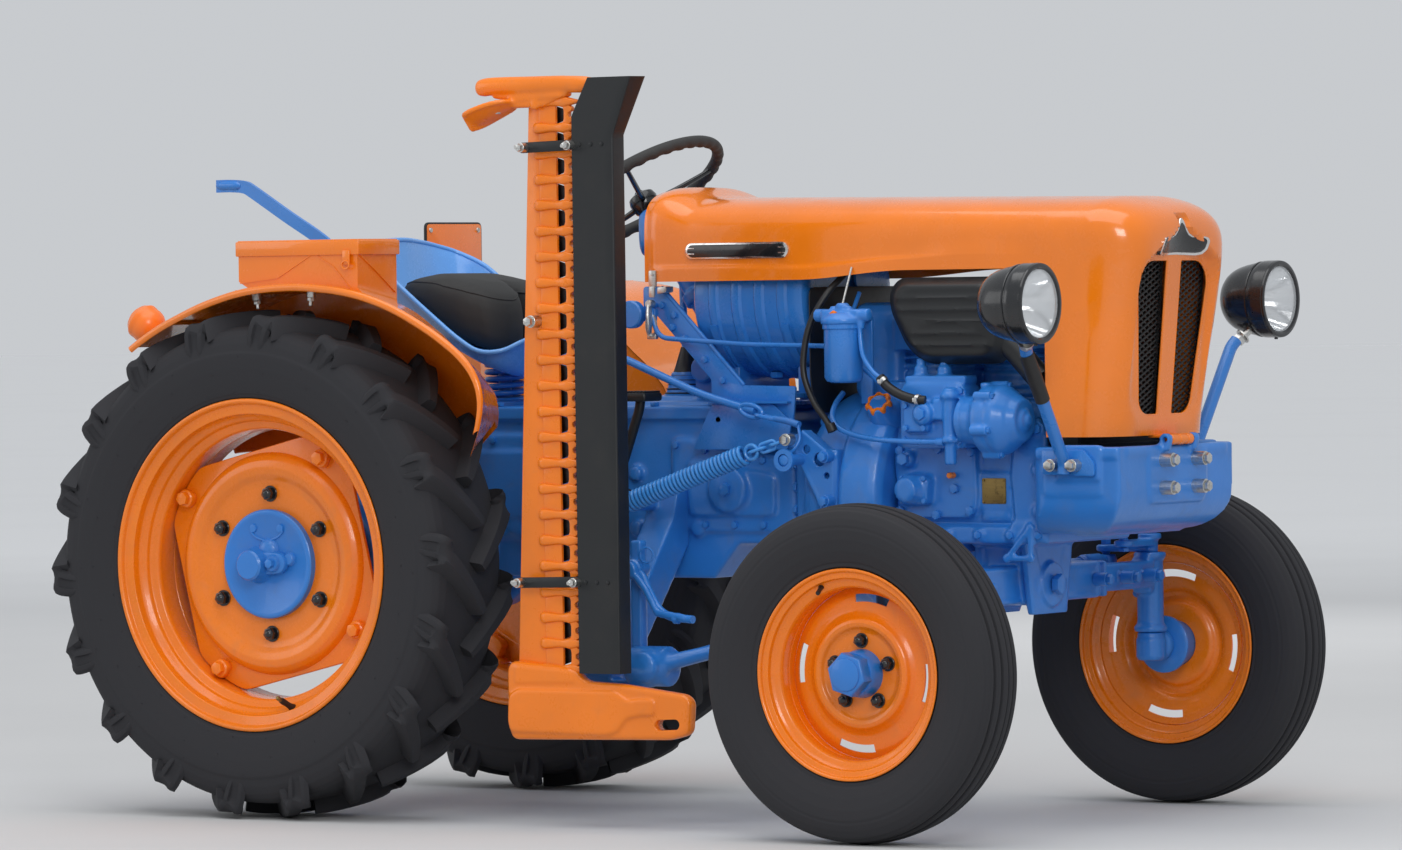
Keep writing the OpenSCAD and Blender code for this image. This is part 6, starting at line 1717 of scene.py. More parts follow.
@dataclass
class Seat:
    """Sprung pan seat: deep blue sheet pan with a rolled rim, black two-lobed pad and its coil."""

    rim: tuple[Point, ...] = (
        (-22, 0, 1176), (-32, 80, 1171), (-32, 134, 1163), (-8, 179, 1148), (58, 188, 1118),
        (130, 189, 1062), (190, 188, 1016), (248, 184, 972), (296, 175, 944), (338, 152, 944),
        (366, 118, 962), (378, 70, 975), (380, 0, 978))

    def rim_line(self, n: int = 64) -> np.ndarray:
        """Closed line of the rim, smooth, mirrored about the middle plane."""
        left = list(self.rim)
        right = [(x, -y, z) for x, y, z in reversed(self.rim[1:-1])]
        pts = np.array(left + right, float)
        k = len(pts)
        t = np.arange(n) / n * k
        i = t.astype(int)
        f = (t - i)[:, None]
        p0, p1, p2, p3 = (pts[(i + s) % k] for s in (-1, 0, 1, 2))
        return 0.5 * (2 * p1 + (p2 - p0) * f + (2 * p0 - 5 * p1 + 4 * p2 - p3) * f ** 2
            + (3 * p1 - p0 - 3 * p2 + p3) * f ** 3)

    def pan(self) -> Skin:
        """The pan's sheet, drawn between its rim and a smaller outline on its floor.

        Every point runs from the rim to the seat's middle and falls to the floor by a soft step
        over the first third of its way, so that the walls are steep and the floor is flat.
        """
        rim = self.rim_line(96)
        middle = np.array([165.0, 0, 962])
        u = np.concatenate([[0.0], np.linspace(0.012, 0.4, 16), np.linspace(0.46, 0.985, 9)])[:, None, None]
        flat = rim * (1 - u) + middle * u
        sag = smooth(u / 0.34)
        base_z = 1072 - 0.56 * (flat[..., 0] + 20) + 4 * np.abs(flat[..., 1] / 120) ** 2
        z = flat[..., 2] * (1 - sag[..., 0]) + base_z * sag[..., 0]
        outward = 4 * np.sin(np.pi * np.clip(u[..., 0] / 0.4, 0, 1))
        away = flat[..., :2] - middle[:2]
        length = np.linalg.norm(away, axis=-1, keepdims=True) + 1e-6
        xy = flat[..., :2] + away / length * (outward[..., None] * 3.2)
        outer = np.concatenate([xy, z[..., None]], -1)
        lower = outer - np.array([0, 0, 3.0])
        k = outer.shape[1]
        top, low = grid(outer, around=True), grid(lower[:, ::-1], around=True)
        cap = Skin(np.vstack([outer[-1], outer[-1].mean(0)[None]]),
            [np.stack([np.arange(k), (np.arange(k) + 1) % k, np.full(k, k)], 1)])
        cap_low = Skin(np.vstack([lower[-1], lower[-1].mean(0)[None]]),
            [np.stack([(np.arange(k) + 1) % k, np.arange(k), np.full(k, k)], 1)])
        roll = tube(rim - [0, 0, 3], 5.2, 12, loop=True)
        return joined([top, low, cap, cap_low, roll])

    def pad_base(self) -> Skin:
        """Closed starting form of the pad: a slab with rounded sides, two front lobes and a notch."""
        outline = np.array([(30, 0), (32, 60), (44, 100), (80, 132), (150, 150), (230, 158), (290, 142),
            (318, 104), (322, 56), (302, 20), (262, 3)], float)
        full = np.vstack([outline, (outline[1:-1] * [1, -1])[::-1]])
        ring = rounded(full, 18, 6)
        centre = np.array([170.0, 0.0])
        rows = []
        for lift, scale in ((0, 0.02), (0, 0.5), (1, 0.82), (8, 0.93), (20, 0.985), (36, 1.0), (52, 0.985),
                (63, 0.94), (69, 0.85), (72, 0.5), (73, 0.02)):
            flat = centre + (ring - centre) * scale
            thick = np.interp(flat[:, 0], (40, 88, 153, 230, 266, 300), (0.67, 1.05, 1.42, 1.66, 1.74,
                1.76))
            z = 1043 - 0.42 * (flat[:, 0] - 30) + lift * thick
            rows.append(np.column_stack([flat, z]))
        return grid(np.array(rows), around=True, ends=True)

    def seams(self, pad: bpy.types.Object) -> Skin:
        """Piping round the pad's upper edge, on the cover's nearest points to a guide curve."""
        line = curve([(262, 0, 1062), (296, -26, 1058), (318, -62, 1054), (310, -106, 1058),
            (282, -136, 1066), (228, -150, 1076), (150, -144, 1092), (84, -124, 1094), (48, -92, 1090),
            (34, -40, 1088), (32, 0, 1088)], 120)
        laid = [pad.closest_point_on_mesh(Vector((x - SHIFT_X, y, z)) * MM)[1] / MM for x, y, z in line]
        return both_sides(tube(np.array(laid) + [SHIFT_X, 0, 0], 2.0, 8))

    def cushion(self, bench: Bench) -> bpy.types.Object:
        """The pad, filled by the cloth simulation."""
        obj = linked("seat_pad", to_mesh("seat_pad", self.pad_base()))
        bench.remesh(obj, 6, 6)
        blow(obj, 4.0, 8.0)
        fine = obj.modifiers.new("fine", "SUBSURF")
        fine.levels = fine.render_levels = 1
        Bench.apply(obj)
        obj.data.shade_smooth()
        bench.enter(obj, "chassis", Finish.COVER, ("seat_cushion",))
        return obj

    def coil(self) -> Skin:
        """Coil under the pan with its stem, its seat below and the flat top plate."""
        coil = helix((237, 0, 836), (238, 0, 916), 38.0, 5.5, 5.2, 26, 12)
        top = lathe([(42, 0), (42, 5)], (238, 0, 918), Z_AXIS, 32)
        foot = lathe([(58, 0), (58, 8), (46, 12)], (237, 0, 827), Z_AXIS, 36)
        stem = lathe([(14, 0), (14, 84)], (237, 0, 835), Z_AXIS, 20)
        return joined([coil, top, foot, stem])

    def build(self, bench: Bench) -> None:
        """Makes the seat's pieces."""
        bench.piece("seat_shell", self.pan(), Finish.BLUE_SEAT, ("seat_pan",))
        rivets = joined([turned([(0, 0), (5, 0), (4.2, 2), (0, 3)], (-27, y, 1118), X_AXIS, 14)
            for y in (-60, 60)])
        bench.piece("seat_rivets", rivets, Finish.BLUE_SEAT)
        pad = self.cushion(bench)
        bench.piece("seat_piping", self.seams(pad), Finish.COVER)
        bench.piece("seat_coil", self.coil(), Finish.BLUE_CAST, ("seat_spring",))


def blow(obj: bpy.types.Object, pressure: float, reach: float) -> None:
    """Fills a closed cover with air by the cloth simulation, then holds each point near its start.

    Args:
        obj: The closed cover.
        pressure: Uniform pressure inside.
        reach: Furthest that a point may move, in millimetres.
    """
    scene = bpy.context.scene
    start = np.empty(len(obj.data.vertices) * 3, np.float32)
    obj.data.vertices.foreach_get("co", start)
    cloth = obj.modifiers.new("air", "CLOTH")
    cloth.settings.use_pressure = True
    cloth.settings.uniform_pressure_force = pressure
    cloth.settings.tension_stiffness = 40
    cloth.settings.compression_stiffness = 40
    cloth.settings.effector_weights.gravity = 0.0
    cloth.point_cache.frame_start = 1
    cloth.point_cache.frame_end = 20
    for number in range(1, 21):
        scene.frame_set(number)
    Bench.apply(obj)
    scene.frame_set(1)
    end = np.empty_like(start)
    obj.data.vertices.foreach_get("co", end)
    move = (end - start).reshape(-1, 3)
    size = np.linalg.norm(move, axis=1, keepdims=True)
    move *= np.minimum(1, reach * MM / np.maximum(size, 1e-9))
    obj.data.vertices.foreach_set("co", (start.reshape(-1, 3) + move).astype(np.float32).ravel())
    obj.data.update()


@dataclass
class Fender:
    """Fender of one side: arched sheet with a rolled edge, inner wall, ribs and its marker lamp."""

    side: str
    centre: Pair = (62.0, 452.0)
    edge: tuple[Pair, ...] = (
        (30.0, 572), (33.1, 615), (35.8, 648), (38.1, 669), (41.4, 682), (45.3, 684), (50.6, 677),
        (56.8, 669), (62.8, 663), (70.6, 654), (79.2, 642), (88.9, 633), (96.7, 629), (103, 625),
        (112, 622), (128, 628))
    inner_y: float = 304.0
    outer_y: float = 573.0
    fall: float = 0.726
    front_angle: float = 33.2
    rear_angle: float = 125.6
    tyre_inner_y: float = 336.0
    tyre_clear: float = 532.0
    axle_z: float = REAR_AXLE_Z

    def at(self, degrees: np.ndarray | float, r: float | np.ndarray, y: float | np.ndarray) -> np.ndarray:
        """Points on the arc, for the right side."""
        a = np.radians(degrees)
        x = self.centre[0] + r * np.cos(a)
        z = self.centre[1] + r * np.sin(a)
        return np.stack(np.broadcast_arrays(x, -np.asarray(y, float), z), -1)

    def arch(self, degrees: np.ndarray | float, y: np.ndarray | float) -> np.ndarray:
        """Radius of the sheet, R(a) - (outer y - y) f: it falls to the inside towards the front.

        The fall f is 0.726 (cos a + R'(a) / R(a) sin a) + 0.08, and never below 0.
        """
        a = np.radians(degrees)
        slope = (self.rim(degrees + 1.0) - self.rim(degrees - 1.0)) / math.radians(2.0) / self.rim(degrees)
        fall = np.maximum(0.0, self.fall * (np.cos(a) + slope * np.sin(a)) + 0.08)
        return self.rim(degrees) - 2.0 - (self.outer_y - 8 - np.minimum(y, self.outer_y - 8)) * fall

    def rim(self, degrees: np.ndarray | float) -> np.ndarray:
        """Radius of the outer edge, read from its table, and averaged over 4 degrees to be smooth."""
        angle, r = np.array(self.edge, float).T
        spread = np.linspace(-2.0, 2.0, 9)
        near = np.asarray(degrees, float)[..., None] + spread
        return np.interp(near, angle, r).mean(-1)

    def start(self, y: np.ndarray) -> np.ndarray:
        """Angle of the sheet's front edge: the least one from which on the sheet clears the tyre."""
        steps = np.linspace(self.front_angle, 75.0, 210)[:, None]
        beside = np.maximum(y, self.tyre_inner_y)
        place = self.at(steps, self.arch(steps, beside), beside)
        near = np.hypot(place[..., 0], place[..., 2] - self.axle_z) < self.tyre_clear
        last = len(steps) - 1 - np.argmax(near[::-1], axis=0)
        return np.where(near.any(0), steps[np.minimum(last + 1, len(steps) - 1), 0], self.front_angle)

    def sheet(self) -> Skin:
        """The arched sheet with its rolled outer edge."""
        y = np.linspace(self.inner_y, self.outer_y - 8, 26)[None, :]
        first = self.start(y)[None, :]
        a = first + (self.rear_angle - first) * np.linspace(0, 1, 90)[:, None]
        r = self.arch(a, y)
        outer = self.at(a, r, y + 0 * a)
        inner = self.at(a, r - 2.4, y + 0 * a)
        edge = a[:, -1:]
        turn = np.linspace(0, np.pi * 0.85, 7)[None, 1:]
        lip_y = self.outer_y - 8 + 8 * np.sin(turn) + 0 * edge
        lip_r = self.rim(edge) - 2 - 8 * (1 - np.cos(turn))
        lip = self.at(edge + 0 * turn, lip_r, lip_y)
        lip_in = self.at(edge + 0 * turn, lip_r - 2.2 * np.cos(turn), lip_y - 2.2 * np.sin(turn))
        outer = np.concatenate([outer, lip], 1)
        return shell(outer, np.concatenate([inner, lip_in], 1))

    def wall(self) -> Skin:
        """Inner wall under the arch, with a rolled lower edge, and the stay down to the axle."""
        a = np.linspace(float(self.start(np.array([[self.inner_y]]))[0]), 136.0, 60)[:, None]
        top = self.arch(np.minimum(a, self.rear_angle), self.inner_y) - 1 - 18 * np.maximum(0,
            a - self.rear_angle)
        low = np.minimum(top - 12, np.interp(a, (60, 74, 92, 116, 136), (430, 384, 320, 300, 412)))
        r = low + (top - low) * np.linspace(0, 1, 8)[None, :]
        face = self.at(a + 0 * r, r, self.inner_y)
        back = self.at(a + 0 * r, r, self.inner_y + 3)
        edge = tube(self.at(a[:, 0], low[:, 0], self.inner_y + 1), 4.2, 8)
        stay = prism([(-40, 922), (60, 922), (60, 1058), (-40, 1058)], -self.inner_y + 1, -self.inner_y
            + 6, 1)
        leg = prism(rounded([(-40, 646), (40, 646), (40, 940), (-40, 940)], 6), -self.inner_y,
            -self.inner_y + 6, 1)
        return joined([shell(face, back), edge, stay, leg])

    def ribs(self) -> Skin:
        """Pressed ribs under the sheet, across its width."""
        made = []
        for degrees in (66, 80, 98, 116):
            y = np.linspace(self.inner_y + 2, self.outer_y - 6, 16)
            made.append(tube(self.at(degrees + 0 * y, self.arch(degrees, y) - 4, y), 4.5, 8, flat=0.8))
        return joined(made)

    def bolts(self) -> Skin:
        """Bolts on the arch: pairs at the wall and the two shanks that show inside at the top."""
        made = []
        for degrees in (88, 110):
            centre = self.at(degrees, self.arch(degrees, self.inner_y + 18) + 0.2, self.inner_y + 18)
            axis = self.at(degrees, 1.0, 0) - self.at(degrees, 0.0, 0)
            made.append(bolt(tuple(centre), axis, 13, 5, 22))
        for degrees in (84, 97):
            centre = self.at(degrees, self.arch(degrees, self.outer_y - 60) - 3, self.outer_y - 60)
            axis = self.at(degrees, 0.0, 0) - self.at(degrees, 1.0, 0)
            made.append(bolt(tuple(centre), axis, 13, 8, 20, stud=10))
        return joined(made)

    def lamp(self) -> tuple[Skin, Skin]:
        """Onion-shaped orange marker lamp with its rim, on a short foot, and the foot's nut."""
        axis = np.array([-0.82, 0.0, 0.57])
        base = (-306.0, -465.0, 984.0)
        glass = lathe([(14, 0), (23, 4), (31, 11), (37, 22), (38.5, 32), (37.5, 41), (38.5, 43),
            (38.5, 50), (36, 53), (31, 61), (20, 69), (7, 72)], base, axis, 40)
        foot = lathe([(9, -24), (9, -8), (15, -6), (15, 2)], base, axis, 24)
        return glass, foot

    def build(self, bench: Bench) -> None:
        """Makes the fender's pieces on its side."""
        def place(skin: Skin) -> Skin:
            return skin if self.side == "right" else skin.mirrored()

        bench.piece(f"fender_sheet_{self.side}", place(joined([self.sheet(), self.wall(), self.ribs()])),
            Finish.ORANGE_SHEET, (f"fender_{self.side}",))
        bench.piece(f"fender_bolts_{self.side}", place(self.bolts()), Finish.ZINC)
        glass, foot = self.lamp()
        bench.piece(f"marker_lamp_{self.side}", place(glass), Finish.LAMP, ("tail_lamps",)
            if self.side == "right" else ())
        bench.piece(f"marker_foot_{self.side}", place(foot), Finish.ORANGE_CAST)


@dataclass
class DriverPlace:
    """Toolbox, rear plate, levers, pedals, steering wheel and column."""

    wheel_x: float = 579.0
    wheel_z: float = 1260.0
    tilt: float = 33.6
    rim_r: float = 183.0

    def toolbox(self) -> Skin:
        """Folded sheet box with a lid that laps over it, a hasp, and a crease down to its front corner."""
        arch = Fender("right")
        rows = []
        for y, size in ((536, 0.01), (536, 1.0), (404, 1.0), (404, 0.01)):
            low = arch.at(np.linspace(97, 71.0, 16), arch.arch(np.linspace(97, 71.0, 16), y) + 0.8, y)
            wall = np.array([[260.0, -y, z] for z in np.linspace(low[-1, 2], 1148, 8)[1:]]
                + [[x, -y, 1148.0] for x in np.linspace(260, -40, 12)[1:]]
                + [[-40.0, -y, z] for z in np.linspace(1148, low[0, 2], 6)[1:-1]])
            ring = np.vstack([low, wall])
            rows.append(ring.mean(0) + (ring - ring.mean(0)) * size)
        box = grid(np.array(rows), around=True, ends=True)
        lid = block((-45, -541, 1140), (266, -399, 1170), 3)
        lip = block((-41, -538, 1168), (262, -402, 1172), 1.5)
        crease = ribbon([[150.0, -536.5, 1144], [200, -536.5, 1118], [256, -536.5, 1058]], Y_AXIS, 2.5, 2.0)
        crease_low = ribbon([[-36.0, -536.5, 1086], [60, -536.5, 1096], [150, -536.5, 1144]], Y_AXIS, 2.5,
            2.0)
        front = ribbon([[261.5, -532.0, 1142], [261.5, -470, 1104], [261.5, -410, 1064]], X_AXIS, 2.5, 2.0)
        hasp = [block((228, -545, 1120), (246, -540, 1150), 2),
            tube([[237 + 9 * math.cos(t), -546, 1120 + 8 * math.sin(t)] for t in full_turn(20)], 2.0, 8,
            loop=True)]
        hinges = [lathe([(4, x), (4, x + 60)], (0, -399, 1150), X_AXIS, 12) for x in (-10, 170)]
        return joined([box, lid, lip, crease, crease_low, front] + hasp + hinges)

    def plate(self) -> tuple[Skin, Skin, Skin]:
        """Bare orange plate on the left fender, its dark border and its screws."""
        outline = rounded([(358, 1034), (564, 1034), (564, 1213), (358, 1213)], 14, 5)
        border = prism(outline, -228, -222, 1.5, Plane.YZ)
        face = prism(inset(outline, 4.0), -229, -220.6, 0.6, Plane.YZ)
        screws = [turned([(0, 0), (6, 0), (5, 2.4), (0, 3)], (x, y, z), X_AXIS * s, 16) for y in (374, 548)
            for z in (1052, 1196) for x, s in ((-221, 1),)]
        foot = block((-226, 404, 992), (-194, 516, 1040), 3)
        return border + foot, face, joined(screws)

    def levers(self) -> tuple[Skin, Skin]:
        """Flat lift lever with its hand grip, and the gear lever with its knob."""
        path = np.array([[96.0, -268, 790], [88, -268, 850], [70, -268, 1080], [40, -268, 1110],
            [-21, -268, 1167], [-120, -268, 1225], [-206, -268, 1276], [-228, -268, 1286],
            [-262, -268, 1289], [-299, -268, 1289]])
        flat = ribbon(curve(path, 60), Y_AXIS, 9, 26)
        grip = tube(curve([(-236, -268, 1288), (-262, -268, 1290), (-300, -268, 1290)], 12),
            np.array([6, 9, 10, 10.5, 10.5, 10.5, 10.5, 10.5, 10.5, 10, 8.5, 4.0]), 14)
        pivot = lathe([(22, 0), (22, 12), (16, 14), (16, 110)], (96, -274, 790), Y_AXIS, 28)
        gear = bent_bar([(691, 0, 900), (662, 36, 985), (623, 88, 1132)], 7.5, 40, 14)
        knob = turned([(0, 0), (8, 0), (15, 6), (19, 16), (19, 24), (15, 34), (7, 39), (0, 40)],
            (623, 88, 1128), [-0.2, 0.26, 0.94], 28)
        return joined([flat, grip, pivot, gear]), knob

    def pedals(self) -> Skin:
        """Rubber-faced pedals with ribs, on bent arms."""
        made = []
        for y, s in ((-225, 1), (-252, -1)):
            pad = block((703, y - 33, 838), (763, y + 33, 856), 6)
            ridges = [block((708 + 8 * k, y - 29, 855), (711 + 8 * k, y + 29, 859), 1) for k in range(7)]
            arm = bent_bar([(731, y, 842), (727, y, 820), (681, y, 700), (627, y, 640)], 10, 26, 14)
            boss = lathe([(20, 0), (20, -y - 113)], (627, y - 15, 640), Y_AXIS, 26)
            pedal = joined([pad, arm, boss] + ridges)
            made.append(pedal if s > 0 else pedal.mirrored())
        return joined(made)

    def wheel_rim(self) -> Skin:
        """The rim, whose underside has 36 finger grips 1.3 mm high: their flanks are cosine ** 0.6."""
        a = full_turn(216)[:, None]
        b = full_turn(20)[None, :]
        low = np.clip(-np.sin(b), 0, 1)
        r = 12 + 1.3 * np.sign(np.cos(36 * a)) * np.abs(np.cos(36 * a)) ** 0.6 * low ** 1.5
        ring = self.rim_r + r * np.cos(b)
        flat = np.stack([ring * np.cos(a), ring * np.sin(a), r * np.sin(b) + 0 * a], -1)
        return self.on_column(grid(flat, around=True, loop=True))

    def on_column(self, skin: Skin) -> Skin:
        """Carries a skin from the wheel's own plane to its place; the wheel leans back on the column."""
        t = math.radians(self.tilt)
        p = skin.points
        x = p[:, 0] * math.cos(t) - p[:, 2] * math.sin(t)
        z = p[:, 0] * math.sin(t) + p[:, 2] * math.cos(t)
        return Skin(np.stack([x + self.wheel_x, p[:, 1], z + self.wheel_z], 1), skin.faces)

    def spokes(self) -> Skin:
        """Three round spokes that run from the boss into the rim, and the black hub cap."""
        made = []
        for k in range(3):
            a = math.radians(120 * k + 60)
            c, s = math.cos(a), math.sin(a)
            path = curve([(12 * c, 12 * s, -26), (60 * c, 60 * s, -23), (130 * c, 130 * s, -12),
                (self.rim_r * c, self.rim_r * s, -2)], 20)
            made.append(tube(path, np.linspace(6.5, 5.0, 20), 12))
        cap = turned([(0, -48), (20, -48), (27, -40), (30, -20), (27, -10), (20, -6), (8, -3), (0, -2)],
            (0, 0, 0), Z_AXIS, 40)
        nut = lathe([(9, -4), (9, 1), (7, 3)], (0, 0, 0), Z_AXIS, 6)
        shaft = lathe([(12, -80), (12, -40)], (0, 0, 0), Z_AXIS, 24)
        return self.on_column(joined(made + [cap, nut, shaft]))

    def column(self) -> list[Skin]:
        """Blue cone under the wheel, and the clamp on the steering tube."""
        down = np.array([math.sin(math.radians(self.tilt)), 0, -math.cos(math.radians(self.tilt))])
        top = np.array([self.wheel_x, 0, self.wheel_z]) + 46 * down
        cone = turned([(13, 0), (24, 0), (27, 6), (33, 16), (46, 42), (54, 60), (56, 72), (50, 84),
            (34, 100), (24, 108), (22, 130), (13, 130)], tuple(top), down, 48, True)
        clamp = turned([(22, 196), (30, 198), (30, 222), (22, 224)], tuple(top), down, 32, True)
        return [cone, clamp]

    def build(self, bench: Bench) -> None:
        """Makes the driver's place."""
        bench.piece("sheet_toolbox", self.toolbox(), Finish.ORANGE_SHEET, ("toolbox",))
        border, face, screws = self.plate()
        bench.piece("plate_border", border, Finish.BLACK_SHEET, ("rear_plate",))
        bench.piece("plate_face", face, Finish.ORANGE_SHEET)
        bench.piece("plate_screws", screws, Finish.ZINC)
        flat, knob = self.levers()
        bench.piece("lift_and_gear_levers", flat, Finish.BLUE_SHEET, ("hand_levers",))
        bench.piece("gear_knob", knob, Finish.GRIP)
        bench.piece("foot_pedals", self.pedals(), Finish.BLACK_SHEET, ("pedals",))
        bench.piece("wheel_rim", self.wheel_rim(), Finish.GRIP, ("steering_wheel",), body="steering_wheel")
        bench.piece("wheel_spokes", self.spokes(), Finish.BLACK_GLOSS, body="steering_wheel")
        bench.casting("column_casting", ("steering_column",), Finish.BLUE_CAST, self.column(), 3.0, 3)


@dataclass
class Engine:
    """Two-cylinder engine: block with its covers, pump, governor, filter, pipes and silencer."""

    side_y: float = -150.0
    governor: Point = (1566.0, -218.0, 799.0)
    governor_circle: float = 68.0
    flange_bolts: tuple[int, ...] = (1262, 1336, 1410, 1484, 1558, 1622)
    oil_filler: Point = (1263.0, -168.0, 826.0)
    filler_axis: Point = (0.1, -0.72, 0.68)

    def block_skins(self) -> list[Skin]:
        """Raised features of the block: cover plates, flanges, ribs, seats of bolts and bearing bosses."""
        y = self.side_y
        made = [
            prism(rounded([(1300, 606), (1472, 606), (1484, 640), (1480, 742), (1462, 752), (1306, 752),
                (1292, 730)], 16, 5), y - 16, y + 4, 3.5),
            prism(rounded([(1322, 632), (1384, 632), (1388, 684), (1372, 692), (1326, 688)], 9, 4), y - 44,
                y, 5),
            lathe([(30, 0), (30, 10), (25, 14), (25, 22), (14, 24)], (1346, y - 42, 662), -Y_AXIS, 32),
            lathe([(17, 0), (17, 20), (10, 26)], (1330, y - 12, 722), -Y_AXIS, 28),
            prism(rounded([(1482, 622), (1552, 622), (1552, 694), (1482, 694)], 5), y - 5, y + 4, 2),
            prism(rounded([(1488, 600), (1546, 600), (1546, 618), (1488, 618)], 4), y - 5, y + 4, 2),
            prism(rounded([(1566, 584), (1640, 584), (1640, 792), (1566, 792), (1556, 690)], 12, 4),
                y - 10, y + 4, 4),
            lathe([(88, -300), (92, -230), (84, -160), (88, -60), (88, 0)], (1262, -34, 872), Z_AXIS, 40),
            lathe([(38, 0), (34, 26), (27, 40)], (1263, -132, 796), [0, -0.64, 0.77], 32),
            block((1234, y - 6, 560), (1262, -y + 6, 800), 6),
            prism(rounded([(1234, 556), (1640, 556), (1640, 590), (1234, 590)], 8), -158, 158, 4),
            block((1300, -118, 536), (1412, 118, 580), 14),
            prism(rounded([(1488, 800), (1640, 800), (1640, 836), (1488, 836)], 6), -126, 126, 3),
        ]
        for x in self.flange_bolts:
            made.append(lathe([(13, 0), (13, 8), (10, 10)], (x, y - 4, 573), -Y_AXIS, 20))
        for x in (1250, 1622):
            for z in (620, 700, 780):
                made.append(lathe([(14, 0), (14, 12)], (x, y - 2, z), -Y_AXIS, 20))
        return made

    def bracket(self) -> Skin:
        """Triangular lug plate with a triangular hole and three bolt holes, low on the side."""
        y = self.side_y
        eyes = [turned([(5, 0), (9, 0), (9, 12), (5, 12)], (x, y - 8, z), -Y_AXIS, 16, True)
            for x, z in ((1550, 528), (1604, 528), (1604, 588))]
        bars = [tube([[x0, y - 14, z0], [x1, y - 14, z1]], 6.5, 10)
            for x0, z0, x1, z1 in ((1550, 528, 1604, 528), (1604, 528, 1604, 588), (1604, 588, 1550, 528))]
        stub = block((1556, y - 12, 556), (1612, y + 6, 600), 4)
        return joined(eyes + bars + [stub])

    def spring_bracket(self) -> list[Skin]:
        """Triangular sheet bracket with three round holes that holds the spring's chain."""
        y = -228
        outline = rounded([(1098, 772), (1116, 776), (1190, 722), (1190, 640), (1168, 622), (1160, 628),
            (1150, 650), (1094, 754)], 7, 4)
        plate = prism(outline, y, y + 8, 1.5)
        flange = ribbon([[1116.0, y + 16, 778], [1152, y + 16, 752], [1192, y + 16, 724]], Y_AXIS, 34, 7)
        pad = block((1170, y + 6, 616), (1196, -142, 742), 5)
        lip = tube([[1094, y + 3, 752], [1122, y + 3, 702], [1150, y + 3, 652], [1162, y + 3, 624]], 5.5,
            10)
        return [plate, flange, pad, lip]

    def bracket_holes(self, obj: bpy.types.Object) -> None:
        """Cuts the bracket's holes."""
        drills = [lathe([(r, -30), (r, 30)], (x, -224, z), Y_AXIS, 24) for x, z, r in ((1128, 742, 9),
            (1158, 722, 14), (1174, 690, 7))]
        Bench.cut(obj, joined(drills))

    def head_skins(self) -> list[Skin]:
        """Cylinder heads and rocker cover over the cooled barrels, and the fan's case behind them."""
        made = [block((1150, -90, 836), (1262, 90, 1030), 20)]
        for x in (1338, 1524):
            for k in range(7):
                z = 842 + 15 * k
                made.append(lathe([(100, z), (103, z + 2), (103, z + 4), (100, z + 6)], (x, 0, 0), Z_AXIS,
                    40))
        made.append(prism(rounded([(1254, -84), (1608, -84), (1608, 84), (1254, 84)], 24, 5), 950, 1008, 5,
            Plane.XY))
        made.append(prism(rounded([(1276, -58), (1588, -58), (1588, 58), (1276, 58)], 18, 5), 1004, 1040,
            8, Plane.XY))
        for x in (1290, 1432, 1574):
            made.append(turned([(0, 0), (12, 0), (12, 8), (0, 10)], (x, 0, 1036), Z_AXIS, 20))
        return made

    def pump_skins(self) -> list[Skin]:
        """Pump body: ribs, delivery valves, side cover, lever case and the round governor with lugs."""
        made = [
            prism(rounded([(1348, 748), (1494, 748), (1494, 862), (1480, 872), (1356, 872), (1344, 858)],
                9, 4), -224, -162, 4),
            prism(rounded([(1362, 776), (1420, 776), (1420, 836), (1362, 836)], 8), -242, -220, 4),
            block((1352, -218, 868), (1492, -170, 886), 4),
            lathe([(17, 0), (17, 38), (13, 42)], (1438, -226, 800), Z_AXIS, 28),
            lathe([(12, -50), (12, 0), (15, 2), (15, 96), (12, 100)], (1466, -232, 762), Z_AXIS, 24),
            lathe([(20, 0), (20, 9)], (1466, -232, 842), Z_AXIS, 24),
            lathe([(19, 0), (19, 8)], (1466, -232, 756), Z_AXIS, 24),
            lathe([(46, -60), (50, -40), (56, -30), (66, -24), (68, -14), (68, -2), (66, 0), (66, 6),
                (68, 8), (68, 18), (64, 26), (52, 42), (34, 54), (24, 58), (20, 66), (10, 68)],
                self.governor, X_AXIS, 56),
            lathe([(22, 0), (22, 14), (16, 20)], (1412, -236, 812), -Y_AXIS, 28),
            lathe([(11, 0), (11, 10)], (1540, -218, 862), Z_AXIS, 20),
            block((1496, -236, 762), (1530, -176, 838), 8),
        ]
        x, y, z = self.governor
        for c, s in on_circle(self.governor_circle, 6, 14):
            made.append(lathe([(10, -22), (10, 16)], (x, y + s, z + c), X_AXIS, 18))
        for k in range(2):
            made.append(lathe([(14, 0), (14, 22), (9, 26), (9, 40)], (1378 + 54 * k, -196, 880), Z_AXIS,
                24))
        return made

